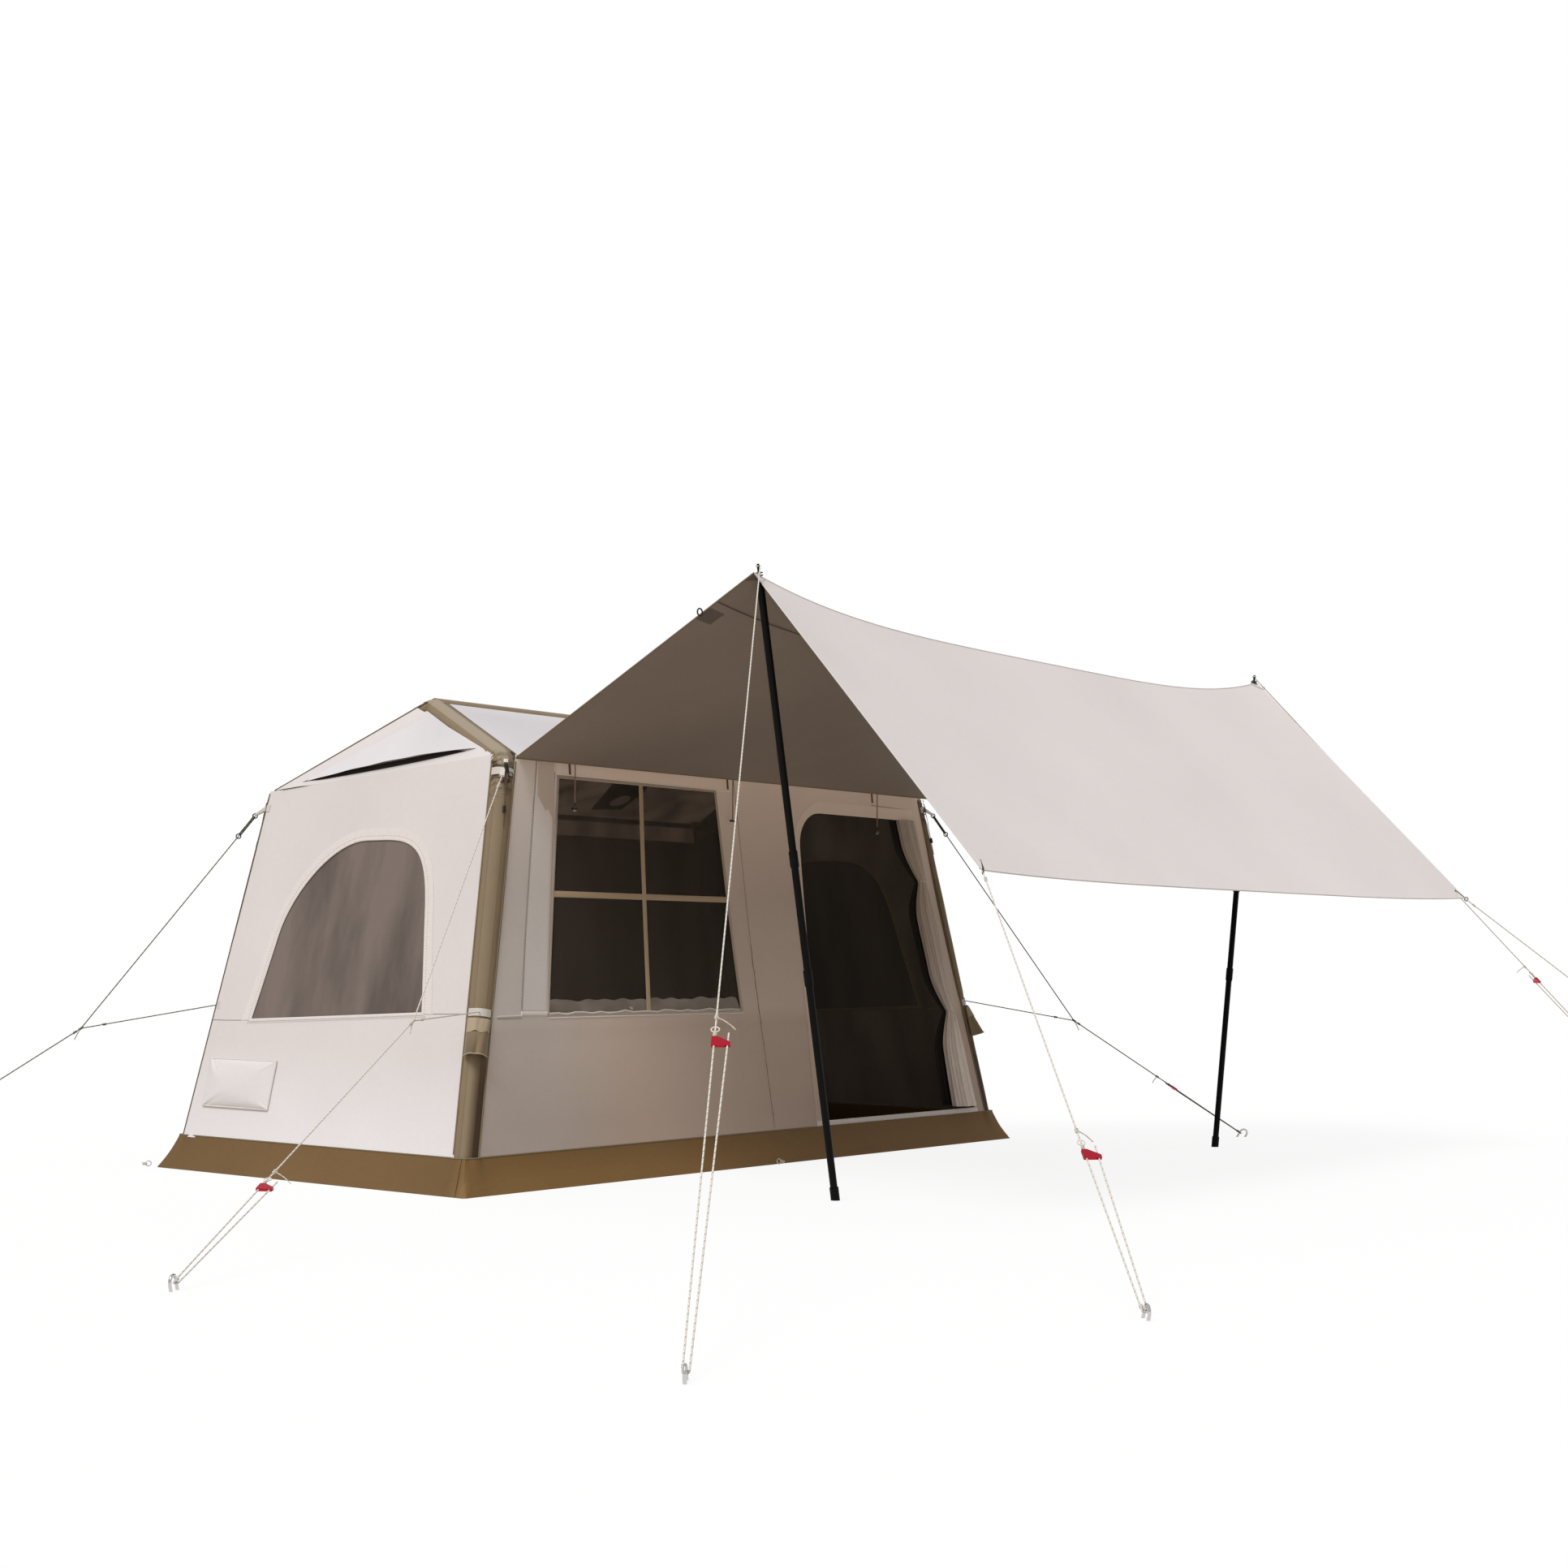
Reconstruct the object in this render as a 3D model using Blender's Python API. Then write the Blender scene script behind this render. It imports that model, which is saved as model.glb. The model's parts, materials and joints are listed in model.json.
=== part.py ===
"""Inflatable ridge tent: an air-beam cabin with a cloth awning on two leaning poles, held by eight guylines.

Metres, +Z up. The origin is the middle of the groundsheet's underside, +X runs along the front wall to the
right as seen from the front, and +Y runs from the front to the back.
"""
from math import cos, pi, radians, sin

import bmesh
import bpy
from mathutils import Matrix, Vector

# Cabin
CABIN_LENGTH = 3.80          # groundsheet along X, skirt hem to skirt hem
CABIN_WIDTH = 1.95           # groundsheet along Y
SKIRT_HEIGHT = 0.14
SKIRT_FLARE = 0.07           # how far the hem stands out from the foot of the walls
EAVE_FRONT_HEIGHT = 1.75
EAVE_BACK_HEIGHT = 1.65
EAVE_SIDE_INSET = 0.42       # from the hem to the front eave's end, along X
EAVE_FRONT_INSET = 0.25      # from the hem to the front eave, along Y
EAVE_BACK_INSET = 0.20
RIDGE_HEIGHT = 2.04
RIDGE_SIDE_INSET = 0.60
RIDGE_BACKSET = 0.90         # ridge behind the front hem
CLOTH = 0.0025               # thickness of every cloth panel's solid
SHEET_THICKNESS = 0.005      # groundsheet
EAVE_LIP = 0.045             # how far the front roof slope stands out past the front wall
GAP = 0.0003                 # clearance between pieces that touch

# Air frame
BEAM_RADIUS = 0.052
BEAM_INSET = 0.049           # beam's middle behind the cloth planes that meet on it
BEAM_BEND = 0.056            # radius of the beam's middle line at eave and ridge
RIDGE_BEAM_RADIUS = 0.042
RIDGE_BEAM_INSET = 0.039     # its middle behind the two roof slopes
BEAM_SIDES = 16
VALVE_HEIGHT = 0.552
VALVE_RADIUS = 0.019
VALVE_STAND = 0.012          # how far the valve's seat stands off the beam
VALVE_CAP_RADIUS = 0.023
VALVE_CAP_THICKNESS = 0.009
POCKET_TOP = 0.665           # hinge line of the cloth pocket over the valve
POCKET_DROP = 0.150
POCKET_HALF_WIDTH = 0.046
POCKET_STAND = 0.056         # how far the pocket's lower edge stands off the beam
STRAP_HEIGHT = 0.030
STRAP_THICKNESS = 0.0025
STRAP_WRAP = radians(57)     # how far each way the webbing goes round the bare part of a leg
SILL_STRAP_TOP = 0.705
EAVE_STRAP_DROP = 0.070      # strap's upper edge below the eave
STRAP_TAB = 0.050            # length of the tab that carries the guyline
STRAP_TIP = 0.0035           # half the width of its end

# Openings in the walls
FRONT_WINDOW_SILL = 0.685
FRONT_WINDOW_HEAD = 1.672
FRONT_WINDOW_SILL_GAP = 0.392    # from the corner seam to the window, along the sill
FRONT_WINDOW_HEAD_GAP = 0.323
FRONT_WINDOW_SILL_WIDTH = 1.226
FRONT_WINDOW_HEAD_WIDTH = 1.007
TAPE_WIDTH = 0.026
TAPE_HEIGHT = 1.180          # height of the level tape across the front window
TAPE_SHARE = 0.508           # place of the upright tape across the window's width
DOOR_SILL = 0.165
DOOR_HEAD = 1.610
DOOR_JAMB = 0.150            # from the right corner seam to the door
DOOR_WIDTH = 1.250           # along the sill
DOOR_CORNER = 0.170          # radius of the door's upper left corner
SIDE_WINDOW_SILL = 0.665
SIDE_WINDOW_SPRING = 1.015
SIDE_WINDOW_CROWN = 1.417
SIDE_WINDOW_SILL_HALF = 0.545
SIDE_WINDOW_SPRING_HALF = 0.473
SIDE_WINDOW_CENTRE = 0.034   # window's middle behind the cabin's middle
SIDE_WINDOW_TILT = 0.024     # its sill's front end above its middle, and its back end below
ARCH_POWERS = (4.2, 1.95)    # the arch's roundness toward the front, where its shoulder is tight, and the back
ARCH_STEPS = 24
MESH_LAP = 0.015             # how far each window mesh laps behind its wall
MESH_THICKNESS = 0.002
VENT_SILL = 0.290
VENT_HEIGHT = 0.160
VENT_WIDTH = 0.400
VENT_CORNER_GAP = 0.120      # from the back corner seam to the vent
FLAP_LAP = 0.022             # how far the vent flap covers the wall round the vent
FLAP_EDGE = 0.008
FLAP_CROWN = 0.030
HOOD_RISE = 0.060            # hood's lower edge above the eave line
HOOD_DROP = 0.030            # from there down to the edge's ends at the beams' middle lines
HOOD_STAND = 0.030           # how far its middle stands off the gable
ROLL_RADIUS = 0.034          # window cover rolled down behind the sill

# Door curtain and ties
CURTAIN_TIES = (1.300, 0.650)
CURTAIN_WAIST = 0.028
CURTAIN_BELLY = 0.062
CURTAIN_FOOT = 0.090
CURTAIN_FOLDS = 7
CURTAIN_GATHER = 0.200       # height over which a tie draws the cloth in
CURTAIN_DEPTH = 0.62         # the bundle's depth as a share of its width
CURTAIN_LIFT = 0.012         # foot of the curtain above the door's sill
MESH_CURTAIN_SHARE = 0.700   # mesh bundle's size beside the curtain's
TIE_CORD = 0.0018
TIE_TIP = 0.0004             # a tie's cord tapers to its stitched end, so that it can swing under the roof
TIE_TAPER = 0.005
TIE_LENGTH = 0.190
TOGGLE_RADIUS = 0.005
TOGGLE_LENGTH = 0.030
TIE_SHARES = (0.07, 1.09)    # window ties' places along the window's head
DOOR_TIE_X = 1.030

# Awning
AWNING_HEIGHT = 2.345        # ridge at the poles
AWNING_FRONT_HEIGHT = 1.220  # free front corners
AWNING_POLE_OFFSET = 1.102   # near pole in front of the cabin's front hem
AWNING_SKEW = 0.058          # how much nearer to the cabin the far pole stands
AWNING_FRONT_OFFSET = 2.125
AWNING_START = 0.413         # near pole's top, right of the cabin's left hem
AWNING_LENGTH = 4.085
AWNING_SPREAD = 0.045        # front corners beyond the pole tops
AWNING_RIDGE_SAG = 0.120
AWNING_HEM_SAG = 0.022
AWNING_MARGIN = 0.030        # cloth beyond the pole tips
AWNING_COLUMNS = 20
AWNING_REAR_ROWS = 5
AWNING_FRONT_ROWS = 5
AWNING_BILLOW = 0.025
POLE_LEAN = 0.475            # how far each pole's top stands outside its foot
POLE_RADIUS = 0.014
POLE_COLLAR = 0.017
POLE_COLLAR_LENGTH = 0.060
POLE_JOINTS = (0.36, 0.55)   # joints between the pole's sections, as shares of its length
POLE_FOOT_RADIUS = 0.0175
POLE_FOOT_LENGTH = 0.050
POLE_SHOULDER = 0.045        # top of the tube below the awning
TIP_RADIUS = 0.005
TIP_LENGTH = 0.038

# Guylines
CORD_RADIUS = 0.0025
STAKE_RADIUS = 0.005
STAKE_HOLD = 0.022           # height at which the cord goes round the stake
STAKE_HOOK = 0.018           # radius of the stake's bent head
STAKE_HEAD = 0.010           # straight shaft above the cord
RUNNER_SPAN = 0.036          # main strand to tail strand at the runner
RUNNER_THICKNESS = 0.010
RUNNER_HEIGHT = 0.036
RUNNER_EDGE = 0.008
RUNNER_TRAVEL = 0.100
SHORT_TRAVEL = 0.060          # of a runner near its stake, where the two strands part more
TAIL_END = 0.020             # how far the tail comes out of the runner
KNOT_RADIUS = 0.007
CORD_END = 0.0008            # from a cord's end to the piece that holds it
POLE_STAKES = {-1: (-2.610, -1.960), 1: (2.100, -1.400)}     # from each pole's top, over the ground
AWNING_STAKES = {-1: (-1.170, -1.280), 1: (1.070, -1.170)}   # from the awning's free corners
FAR_STAKE = (2.110, 1.110)           # outward from the cabin's front left hem corner
FAR_FORK = (0.240, 0.690)            # its fork's share of the way there, and height
NEAR_STAKE = (0.860, 0.850)          # the same for the cabin's other three corners
NEAR_FORK = (0.275, 0.600)
POLE_RUNNER = 1.160          # runner's distance from its stake, along the cord
AWNING_RUNNERS = {-1: 0.620, 1: 0.450}
FAR_RUNNER = 0.590
NEAR_RUNNER = 0.420

HALF_LENGTH = CABIN_LENGTH / 2
HALF_WIDTH = CABIN_WIDTH / 2
UP = Vector((0, 0, 1))


# Scene and materials
def clear_scene():
    for obj in list(bpy.data.objects):
        bpy.data.objects.remove(obj, do_unlink=True)


def make_material(name, color, roughness, metallic=0.0):
    material = bpy.data.materials.new(name)
    material.use_nodes = True
    shader = material.node_tree.nodes["Principled BSDF"]
    shader.inputs["Base Color"].default_value = (*color, 1)
    shader.inputs["Roughness"].default_value = roughness
    shader.inputs["Metallic"].default_value = metallic
    return material


def make_object(name, bm, material, smooth_angle=None):
    bmesh.ops.recalc_face_normals(bm, faces=bm.faces)
    mesh = bpy.data.meshes.new(name)
    bm.to_mesh(mesh)
    bm.free()
    if smooth_angle:
        mesh.shade_smooth()
        mesh.set_sharp_from_angle(angle=radians(smooth_angle))
    if material:
        mesh.materials.append(material)
    obj = bpy.data.objects.new(name, mesh)
    bpy.context.scene.collection.objects.link(obj)
    return obj


def make_cutter(name, bm):
    cutter = make_object(name, bm, None)
    cutter.hide_render = True
    cutter.display_type = "WIRE"
    return cutter


def move_origin(obj, origin):
    """Put a moving piece's origin on its joint's axis, with the piece left where it is."""
    obj.data.transform(Matrix.Translation(-origin))
    obj.location = origin


# Planes: a point on the plane and its outward normal
def plane_through(p, q, r, inside):
    normal = (q - p).cross(r - p).normalized()
    return (p, -normal if normal.dot(inside - p) > 0 else normal)


def shifted(plane, distance):
    return (plane[0] + plane[1] * distance, plane[1])


def flipped(plane):
    return (plane[0], -plane[1])


def meeting_point(a, b, c):
    matrix = Matrix((a[1], b[1], c[1]))
    return matrix.inverted() @ Vector([plane[1].dot(plane[0]) for plane in (a, b, c)])


def mirrored(plane):
    return tuple(Vector((-v.x, v.y, v.z)) for v in plane)


def level(z):
    return (Vector((0, 0, z)), UP.copy())


# Solids
def cut_from_planes(planes, size=6.0):
    """The convex solid inside all the planes."""
    bm = bmesh.new()
    bmesh.ops.create_cube(bm, size=2 * size)
    for point, normal in planes:
        everything = bm.verts[:] + bm.edges[:] + bm.faces[:]
        cut = bmesh.ops.bisect_plane(bm, geom=everything, dist=1e-6, plane_co=point, plane_no=normal,
                                     clear_outer=True)
        rim = [item for item in cut["geom_cut"] if isinstance(item, bmesh.types.BMEdge)]
        if rim:
            bmesh.ops.edgeloop_fill(bm, edges=rim)
    return bm


def panel(outer, sides, thickness=CLOTH):
    """Flat cloth between an outer plane and the plane one thickness inside it."""
    return cut_from_planes([outer, flipped(shifted(outer, -thickness))] + sides)


def close_cloth(bm, inner, outer):
    """Faces between two matching grids of vertices, split alike on both sides so that they stay apart."""
    rows, columns = len(inner) - 1, len(inner[0]) - 1
    for grid in (inner, outer):
        for row in range(rows):
            for column in range(columns):
                low, after = grid[row][column], grid[row][column + 1]
                far, above = grid[row + 1][column + 1], grid[row + 1][column]
                bm.faces.new((low, after, far))
                bm.faces.new((low, far, above))
    for row in (0, rows):
        for column in range(columns):
            bm.faces.new((inner[row][column], inner[row][column + 1], outer[row][column + 1],
                          outer[row][column]))
    for column in (0, columns):
        for row in range(rows):
            bm.faces.new((inner[row][column], inner[row + 1][column], outer[row + 1][column],
                          outer[row][column]))


def prism(outline, normal, low, high):
    """The outline's points swept from low to high along the normal."""
    bm = bmesh.new()
    base = bm.faces.new([bm.verts.new(point + normal * low) for point in outline])
    swept = bmesh.ops.extrude_face_region(bm, geom=[base])
    moved = [item for item in swept["geom"] if isinstance(item, bmesh.types.BMVert)]
    bmesh.ops.translate(bm, verts=moved, vec=normal * (high - low))
    return bm


def ring_frames(path):
    """A side vector and an up vector square to the path at each of its points, without twist."""
    frames = []
    side = None
    for index, point in enumerate(path):
        before = (point - path[index - 1]).normalized() if index else None
        after = (path[index + 1] - point).normalized() if index < len(path) - 1 else None
        tangent = ((before or after) + (after or before)).normalized()
        if side is None:
            guide = UP if abs(tangent.z) < 0.9 else Vector((0, 1, 0))
            side = tangent.cross(guide).normalized()
        side = (side - tangent * side.dot(tangent)).normalized()
        stretch = 1.0
        if before and after:
            stretch = 1 / max(0.5, before.dot(tangent))
        frames.append((side, tangent.cross(side), stretch, before, after))
    return frames


def sweep(path, radius, sides, squash=None):
    """A closed tube along the path. squash(i, angle) scales the radius where it is given."""
    bm = bmesh.new()
    rings = []
    for index, (point, frame) in enumerate(zip(path, ring_frames(path))):
        side, across, _, _, _ = frame
        ring = []
        for step in range(sides):
            angle = 2 * pi * step / sides
            reach = radius * (squash(index, angle) if squash else 1.0)
            ring.append(bm.verts.new(point + (side * cos(angle) + across * sin(angle)) * reach))
        rings.append(ring)
    for low, high in zip(rings, rings[1:]):
        for step in range(sides):
            after = (step + 1) % sides
            bm.faces.new((low[step], low[after], high[after], high[step]))
    bm.faces.new(rings[0][::-1])
    bm.faces.new(rings[-1])
    return bm


def cylinder(start, end, radius, sides=16, end_radius=None):
    taper = (end_radius if end_radius is not None else radius) / radius
    return sweep([start, end], radius, sides, lambda index, angle: taper if index else 1.0)


def rounded_path(points, radius, steps=5):
    """The polyline with each inner corner turned into an arc of the radius."""
    path = [points[0]]
    for before, corner, after in zip(points, points[1:], points[2:]):
        inward = (before - corner).normalized()
        outward = (after - corner).normalized()
        half = inward.angle(outward) / 2
        reach = radius / (sin(half) / cos(half))
        centre = corner + (inward + outward).normalized() * (radius / sin(half))
        first = corner + inward * reach - centre
        last = corner + outward * reach - centre
        for step in range(steps + 1):
            path.append(centre + first.slerp(last, step / steps).normalized() * radius)
    path.append(points[-1])
    return path


def keep_largest(bm):
    """Drop the offcuts that a cut leaves behind."""
    left = set(bm.faces)
    islands = []
    while left:
        stack = [left.pop()]
        island = []
        while stack:
            face = stack.pop()
            island.append(face)
            for edge in face.edges:
                for other in edge.link_faces:
                    if other in left:
                        left.remove(other)
                        stack.append(other)
        islands.append(island)
    islands.sort(key=lambda island: sum(face.calc_area() for face in island))
    offcuts = [face for island in islands[:-1] for face in island]
    if offcuts:
        bmesh.ops.delete(bm, geom=offcuts, context="FACES")
        loose = [vert for vert in bm.verts if not vert.link_faces]
        bmesh.ops.delete(bm, geom=loose, context="VERTS")


def combine(obj, tools, operation="DIFFERENCE"):
    """Run the Boolean with each tool and keep the result as the object's own mesh."""
    for tool in tools:
        modifier = obj.modifiers.new("combine", "BOOLEAN")
        modifier.operation = operation
        modifier.solver = "EXACT"
        modifier.object = tool
    graph = bpy.context.evaluated_depsgraph_get()
    mesh = bpy.data.meshes.new_from_object(obj.evaluated_get(graph))
    obj.modifiers.clear()
    bm = bmesh.new()
    bm.from_mesh(mesh)
    bmesh.ops.remove_doubles(bm, verts=bm.verts, dist=1e-6)
    keep_largest(bm)
    bmesh.ops.dissolve_limit(bm, angle_limit=radians(0.02), verts=bm.verts, edges=bm.edges)
    bm.to_mesh(mesh)
    bm.free()
    obj.data = mesh
    return obj


def mirror_object(name, obj):
    """The same piece at the tent's other end."""
    bm = bmesh.new()
    bm.from_mesh(obj.data)
    return make_object(name, flip_x(bm, 1), obj.data.materials[0])


def fuse(name, pieces, material, smooth_angle=None):
    """One solid made of pieces that run into each other."""
    first = make_object(name, pieces[0], material, smooth_angle)
    tools = [make_cutter(name + "_tool", piece) for piece in pieces[1:]]
    combine(first, tools, "UNION")
    for tool in tools:
        bpy.data.objects.remove(tool, do_unlink=True)
    return first


# The cabin's outer planes and corners
INSIDE = Vector((0, 0, 0.9))
FRONT_FOOT = Vector((0, -HALF_WIDTH + SKIRT_FLARE, SKIRT_HEIGHT))
BACK_FOOT = Vector((0, HALF_WIDTH - SKIRT_FLARE, SKIRT_HEIGHT))
SIDE_FOOT = Vector((-HALF_LENGTH + SKIRT_FLARE, 0, SKIRT_HEIGHT))
EAVE_FRONT = Vector((-HALF_LENGTH + EAVE_SIDE_INSET, -HALF_WIDTH + EAVE_FRONT_INSET, EAVE_FRONT_HEIGHT))
ALONG_X = Vector((1, 0, 0))
ALONG_Y = Vector((0, 1, 0))
BACK_EAVE_LINE = Vector((0, HALF_WIDTH - EAVE_BACK_INSET, EAVE_BACK_HEIGHT))
FRONT = plane_through(FRONT_FOOT, FRONT_FOOT + ALONG_X, EAVE_FRONT, INSIDE)
BACK = plane_through(BACK_FOOT, BACK_FOOT + ALONG_X, BACK_EAVE_LINE, INSIDE)
LEFT = plane_through(SIDE_FOOT, SIDE_FOOT + ALONG_Y, EAVE_FRONT, INSIDE)
RIGHT = mirrored(LEFT)
EAVE_BACK = meeting_point(LEFT, BACK, level(EAVE_BACK_HEIGHT))
RIDGE_END = Vector((-HALF_LENGTH + RIDGE_SIDE_INSET, -HALF_WIDTH + RIDGE_BACKSET, RIDGE_HEIGHT))
ROOF_FRONT = plane_through(EAVE_FRONT, EAVE_FRONT + ALONG_X, RIDGE_END, INSIDE)
ROOF_BACK = plane_through(EAVE_BACK, EAVE_BACK + ALONG_X, RIDGE_END, INSIDE)
GABLE = plane_through(EAVE_FRONT, EAVE_BACK, RIDGE_END, INSIDE)
ROOF_UNDERSIDE = shifted(ROOF_FRONT, -CLOTH - GAP)
ROOF_BACK_UNDERSIDE = shifted(ROOF_BACK, -CLOTH - GAP)


def seam(plane, inset=BEAM_INSET):
    """Where cloth that meets this plane ends: over the middle of the beam between them."""
    return shifted(plane, -inset)


def point_on(plane, z, x=None, y=None):
    """The plane's point at a height and one level coordinate."""
    other = (Vector((x, 0, 0)), ALONG_X) if x is not None else (Vector((0, y, 0)), ALONG_Y)
    return meeting_point(plane, level(z), other)


def mirror_x(points):
    return [Vector((-point.x, point.y, point.z)) for point in points]


# Air frame
def arch_path():
    inner = {key: shifted(plane, -BEAM_INSET) for key, plane in
             (("front", FRONT), ("back", BACK), ("left", LEFT), ("roof", ROOF_FRONT),
              ("rear", ROOF_BACK), ("gable", GABLE))}
    ground = level(-SHEET_THICKNESS)
    corners = [
        meeting_point(inner["front"], inner["left"], ground),
        meeting_point(inner["front"], inner["left"], inner["roof"]),
        meeting_point(inner["roof"], inner["rear"], inner["gable"]),
        meeting_point(inner["back"], inner["left"], inner["rear"]),
        meeting_point(inner["back"], inner["left"], ground),
    ]
    return corners, rounded_path(corners, BEAM_BEND)


ARCH_CORNERS, ARCH_PATH = arch_path()


def leg_point(z, back=False):
    """The middle of the left arch's front or back leg at a height."""
    low, high = (ARCH_CORNERS[4], ARCH_CORNERS[3]) if back else (ARCH_CORNERS[0], ARCH_CORNERS[1])
    return low.lerp(high, (z - low.z) / (high.z - low.z))


def leg_axes(back=False):
    """Up the leg, out from the corner, and across, for the left arch's front or back leg."""
    low, high = (ARCH_CORNERS[4], ARCH_CORNERS[3]) if back else (ARCH_CORNERS[0], ARCH_CORNERS[1])
    up = (high - low).normalized()
    out = Vector((-1, 1 if back else -1, 0))
    out = (out - up * out.dot(up)).normalized()
    return up, out, up.cross(out)


def placed(point, side):
    """A point of the left end, or its mirror at the right end."""
    return Vector((point.x * side, point.y, point.z))


def eave_strap_top(back):
    return (EAVE_BACK_HEIGHT if back else EAVE_FRONT_HEIGHT) - EAVE_STRAP_DROP


def band(z_top, back, radius, half_angle=STRAP_WRAP, steps=8):
    """Webbing round the outside of a leg, its facets clear of the radius."""
    up, out, across = leg_axes(back)
    radius = radius / cos(half_angle / steps)
    bm = bmesh.new()
    rings = []
    for height in (z_top - STRAP_HEIGHT, z_top):
        middle = leg_point(height, back)
        for reach in (radius, radius + STRAP_THICKNESS):
            rings.append([bm.verts.new(middle + (out * cos(angle) + across * sin(angle)) * reach)
                          for angle in [half_angle * (2 * k / steps - 1) for k in range(steps + 1)]])
    low_in, low_out, high_in, high_out = rings
    for a, b in ((low_in, low_out), (low_out, high_out), (high_out, high_in), (high_in, low_in)):
        for k in range(steps):
            bm.faces.new((a[k], a[k + 1], b[k + 1], b[k]))
    for k in (0, steps):
        bm.faces.new((low_in[k], low_out[k], high_out[k], high_in[k]))
    return bm


def flip_x(bm, side):
    if side < 0:
        return bm
    for vert in bm.verts:
        vert.co.x = -vert.co.x
    bmesh.ops.reverse_faces(bm, faces=bm.faces)
    return bm


def make_arch(name, side, material):
    tube = flip_x(sweep(ARCH_PATH, BEAM_RADIUS, BEAM_SIDES), side)
    foot = level(SHEET_THICKNESS + GAP)
    cut = bmesh.ops.bisect_plane(tube, geom=tube.verts[:] + tube.edges[:] + tube.faces[:], dist=1e-6,
                                 plane_co=foot[0], plane_no=-foot[1], clear_outer=True)
    rim = [item for item in cut["geom_cut"] if isinstance(item, bmesh.types.BMEdge)]
    bmesh.ops.holes_fill(tube, edges=rim)
    up, out, _ = leg_axes()
    root = leg_point(VALVE_HEIGHT)
    seat = cylinder(placed(root, -side), placed(root + out * (BEAM_RADIUS + VALVE_STAND), -side),
                    VALVE_RADIUS, 16)
    sunk = STRAP_THICKNESS / 2
    bands = [flip_x(band(SILL_STRAP_TOP, back, BEAM_RADIUS - sunk), side) for back in (False, True)]
    return fuse(name, [tube, seat] + bands, material, 40)


def make_valve_cap(name, side, material):
    up, out, across = leg_axes()
    base = leg_point(VALVE_HEIGHT) + out * (BEAM_RADIUS + VALVE_STAND + GAP)
    ribs = 24
    cap = sweep([placed(base, -side), placed(base + out * VALVE_CAP_THICKNESS, -side)], VALVE_CAP_RADIUS, ribs,
                lambda index, angle: 1.0 - 0.07 * (round(angle * ribs / 2 / pi) % 2))
    obj = make_object(name, cap, material)
    move_origin(obj, placed(base, -side))
    return obj


def make_pocket(name, side, material):
    """A cloth pocket like a wedge, open behind and below, that hangs over the valve."""
    up, out, across = leg_axes()
    top = leg_point(POCKET_TOP)
    hinge = top + out * (BEAM_RADIUS + GAP)
    down = -up
    wide = POCKET_HALF_WIDTH
    corners = []
    for back_reach, front_reach, drop in ((0, CLOTH * 2, 0), (0, POCKET_STAND, POCKET_DROP)):
        middle = hinge + down * drop
        corners.append([middle - across * wide + out * back_reach, middle - across * wide + out * front_reach,
                        middle + across * wide + out * front_reach, middle + across * wide + out * back_reach])
    outer = bmesh.new()
    low = [outer.verts.new(point) for point in corners[1]]
    high = [outer.verts.new(point) for point in corners[0]]
    outer.faces.new(low)
    outer.faces.new(high)
    for k in range(4):
        outer.faces.new((low[k], low[(k + 1) % 4], high[(k + 1) % 4], high[k]))
    bmesh.ops.recalc_face_normals(outer, faces=outer.faces)
    body = make_object(name, flip_x(outer, side), material)
    hollow = bmesh.new()
    rows = []
    for front_reach, drop in ((CLOTH, CLOTH * 3), (POCKET_STAND, POCKET_DROP + 0.01)):
        middle = hinge + down * drop - out * 0.02
        thin = wide - CLOTH
        reach = front_reach - CLOTH + 0.02
        rows.append([middle - across * thin, middle - across * thin + out * reach,
                     middle + across * thin + out * reach, middle + across * thin])
    low = [hollow.verts.new(point) for point in rows[1]]
    high = [hollow.verts.new(point) for point in rows[0]]
    hollow.faces.new(low)
    hollow.faces.new(high)
    for k in range(4):
        hollow.faces.new((low[k], low[(k + 1) % 4], high[(k + 1) % 4], high[k]))
    tool = make_cutter(name + "_hollow", flip_x(hollow, side))
    fat = make_fat_leg(name + "_leg", side)
    combine(body, [tool, fat])
    for cutter in (tool, fat):
        bpy.data.objects.remove(cutter, do_unlink=True)
    move_origin(body, placed(hinge, -side))
    return body


def make_fat_leg(name, side):
    path = [leg_point(0.0), leg_point(1.2)]
    return make_cutter(name, flip_x(sweep(path, BEAM_RADIUS + GAP, BEAM_SIDES), side))


def make_eave_strap(name, side, back, material):
    """Webbing round the leg under the eave, with a tab that carries the guyline."""
    up, out, across = leg_axes(back)
    loop = band(eave_strap_top(back), back, BEAM_RADIUS + GAP)
    middle = leg_point(eave_strap_top(back) - STRAP_HEIGHT / 2, back)
    root = middle + out * (BEAM_RADIUS + GAP + STRAP_THICKNESS)
    outline = [root + up * STRAP_HEIGHT * 0.4, root - up * STRAP_HEIGHT * 0.4,
               strap_tip(back) - (out + up) * STRAP_TIP, strap_tip(back) + (out + up) * STRAP_TIP]
    tab = prism(outline, across, -STRAP_HEIGHT / 3, STRAP_HEIGHT / 3)
    return fuse(name, [flip_x(loop, side), flip_x(tab, side)], material)


def strap_tip(back):
    up, out, _ = leg_axes(back)
    middle = leg_point(eave_strap_top(back) - STRAP_HEIGHT / 2, back)
    root = middle + out * (BEAM_RADIUS + GAP + STRAP_THICKNESS)
    return root + (out - up).normalized() * STRAP_TAB


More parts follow.
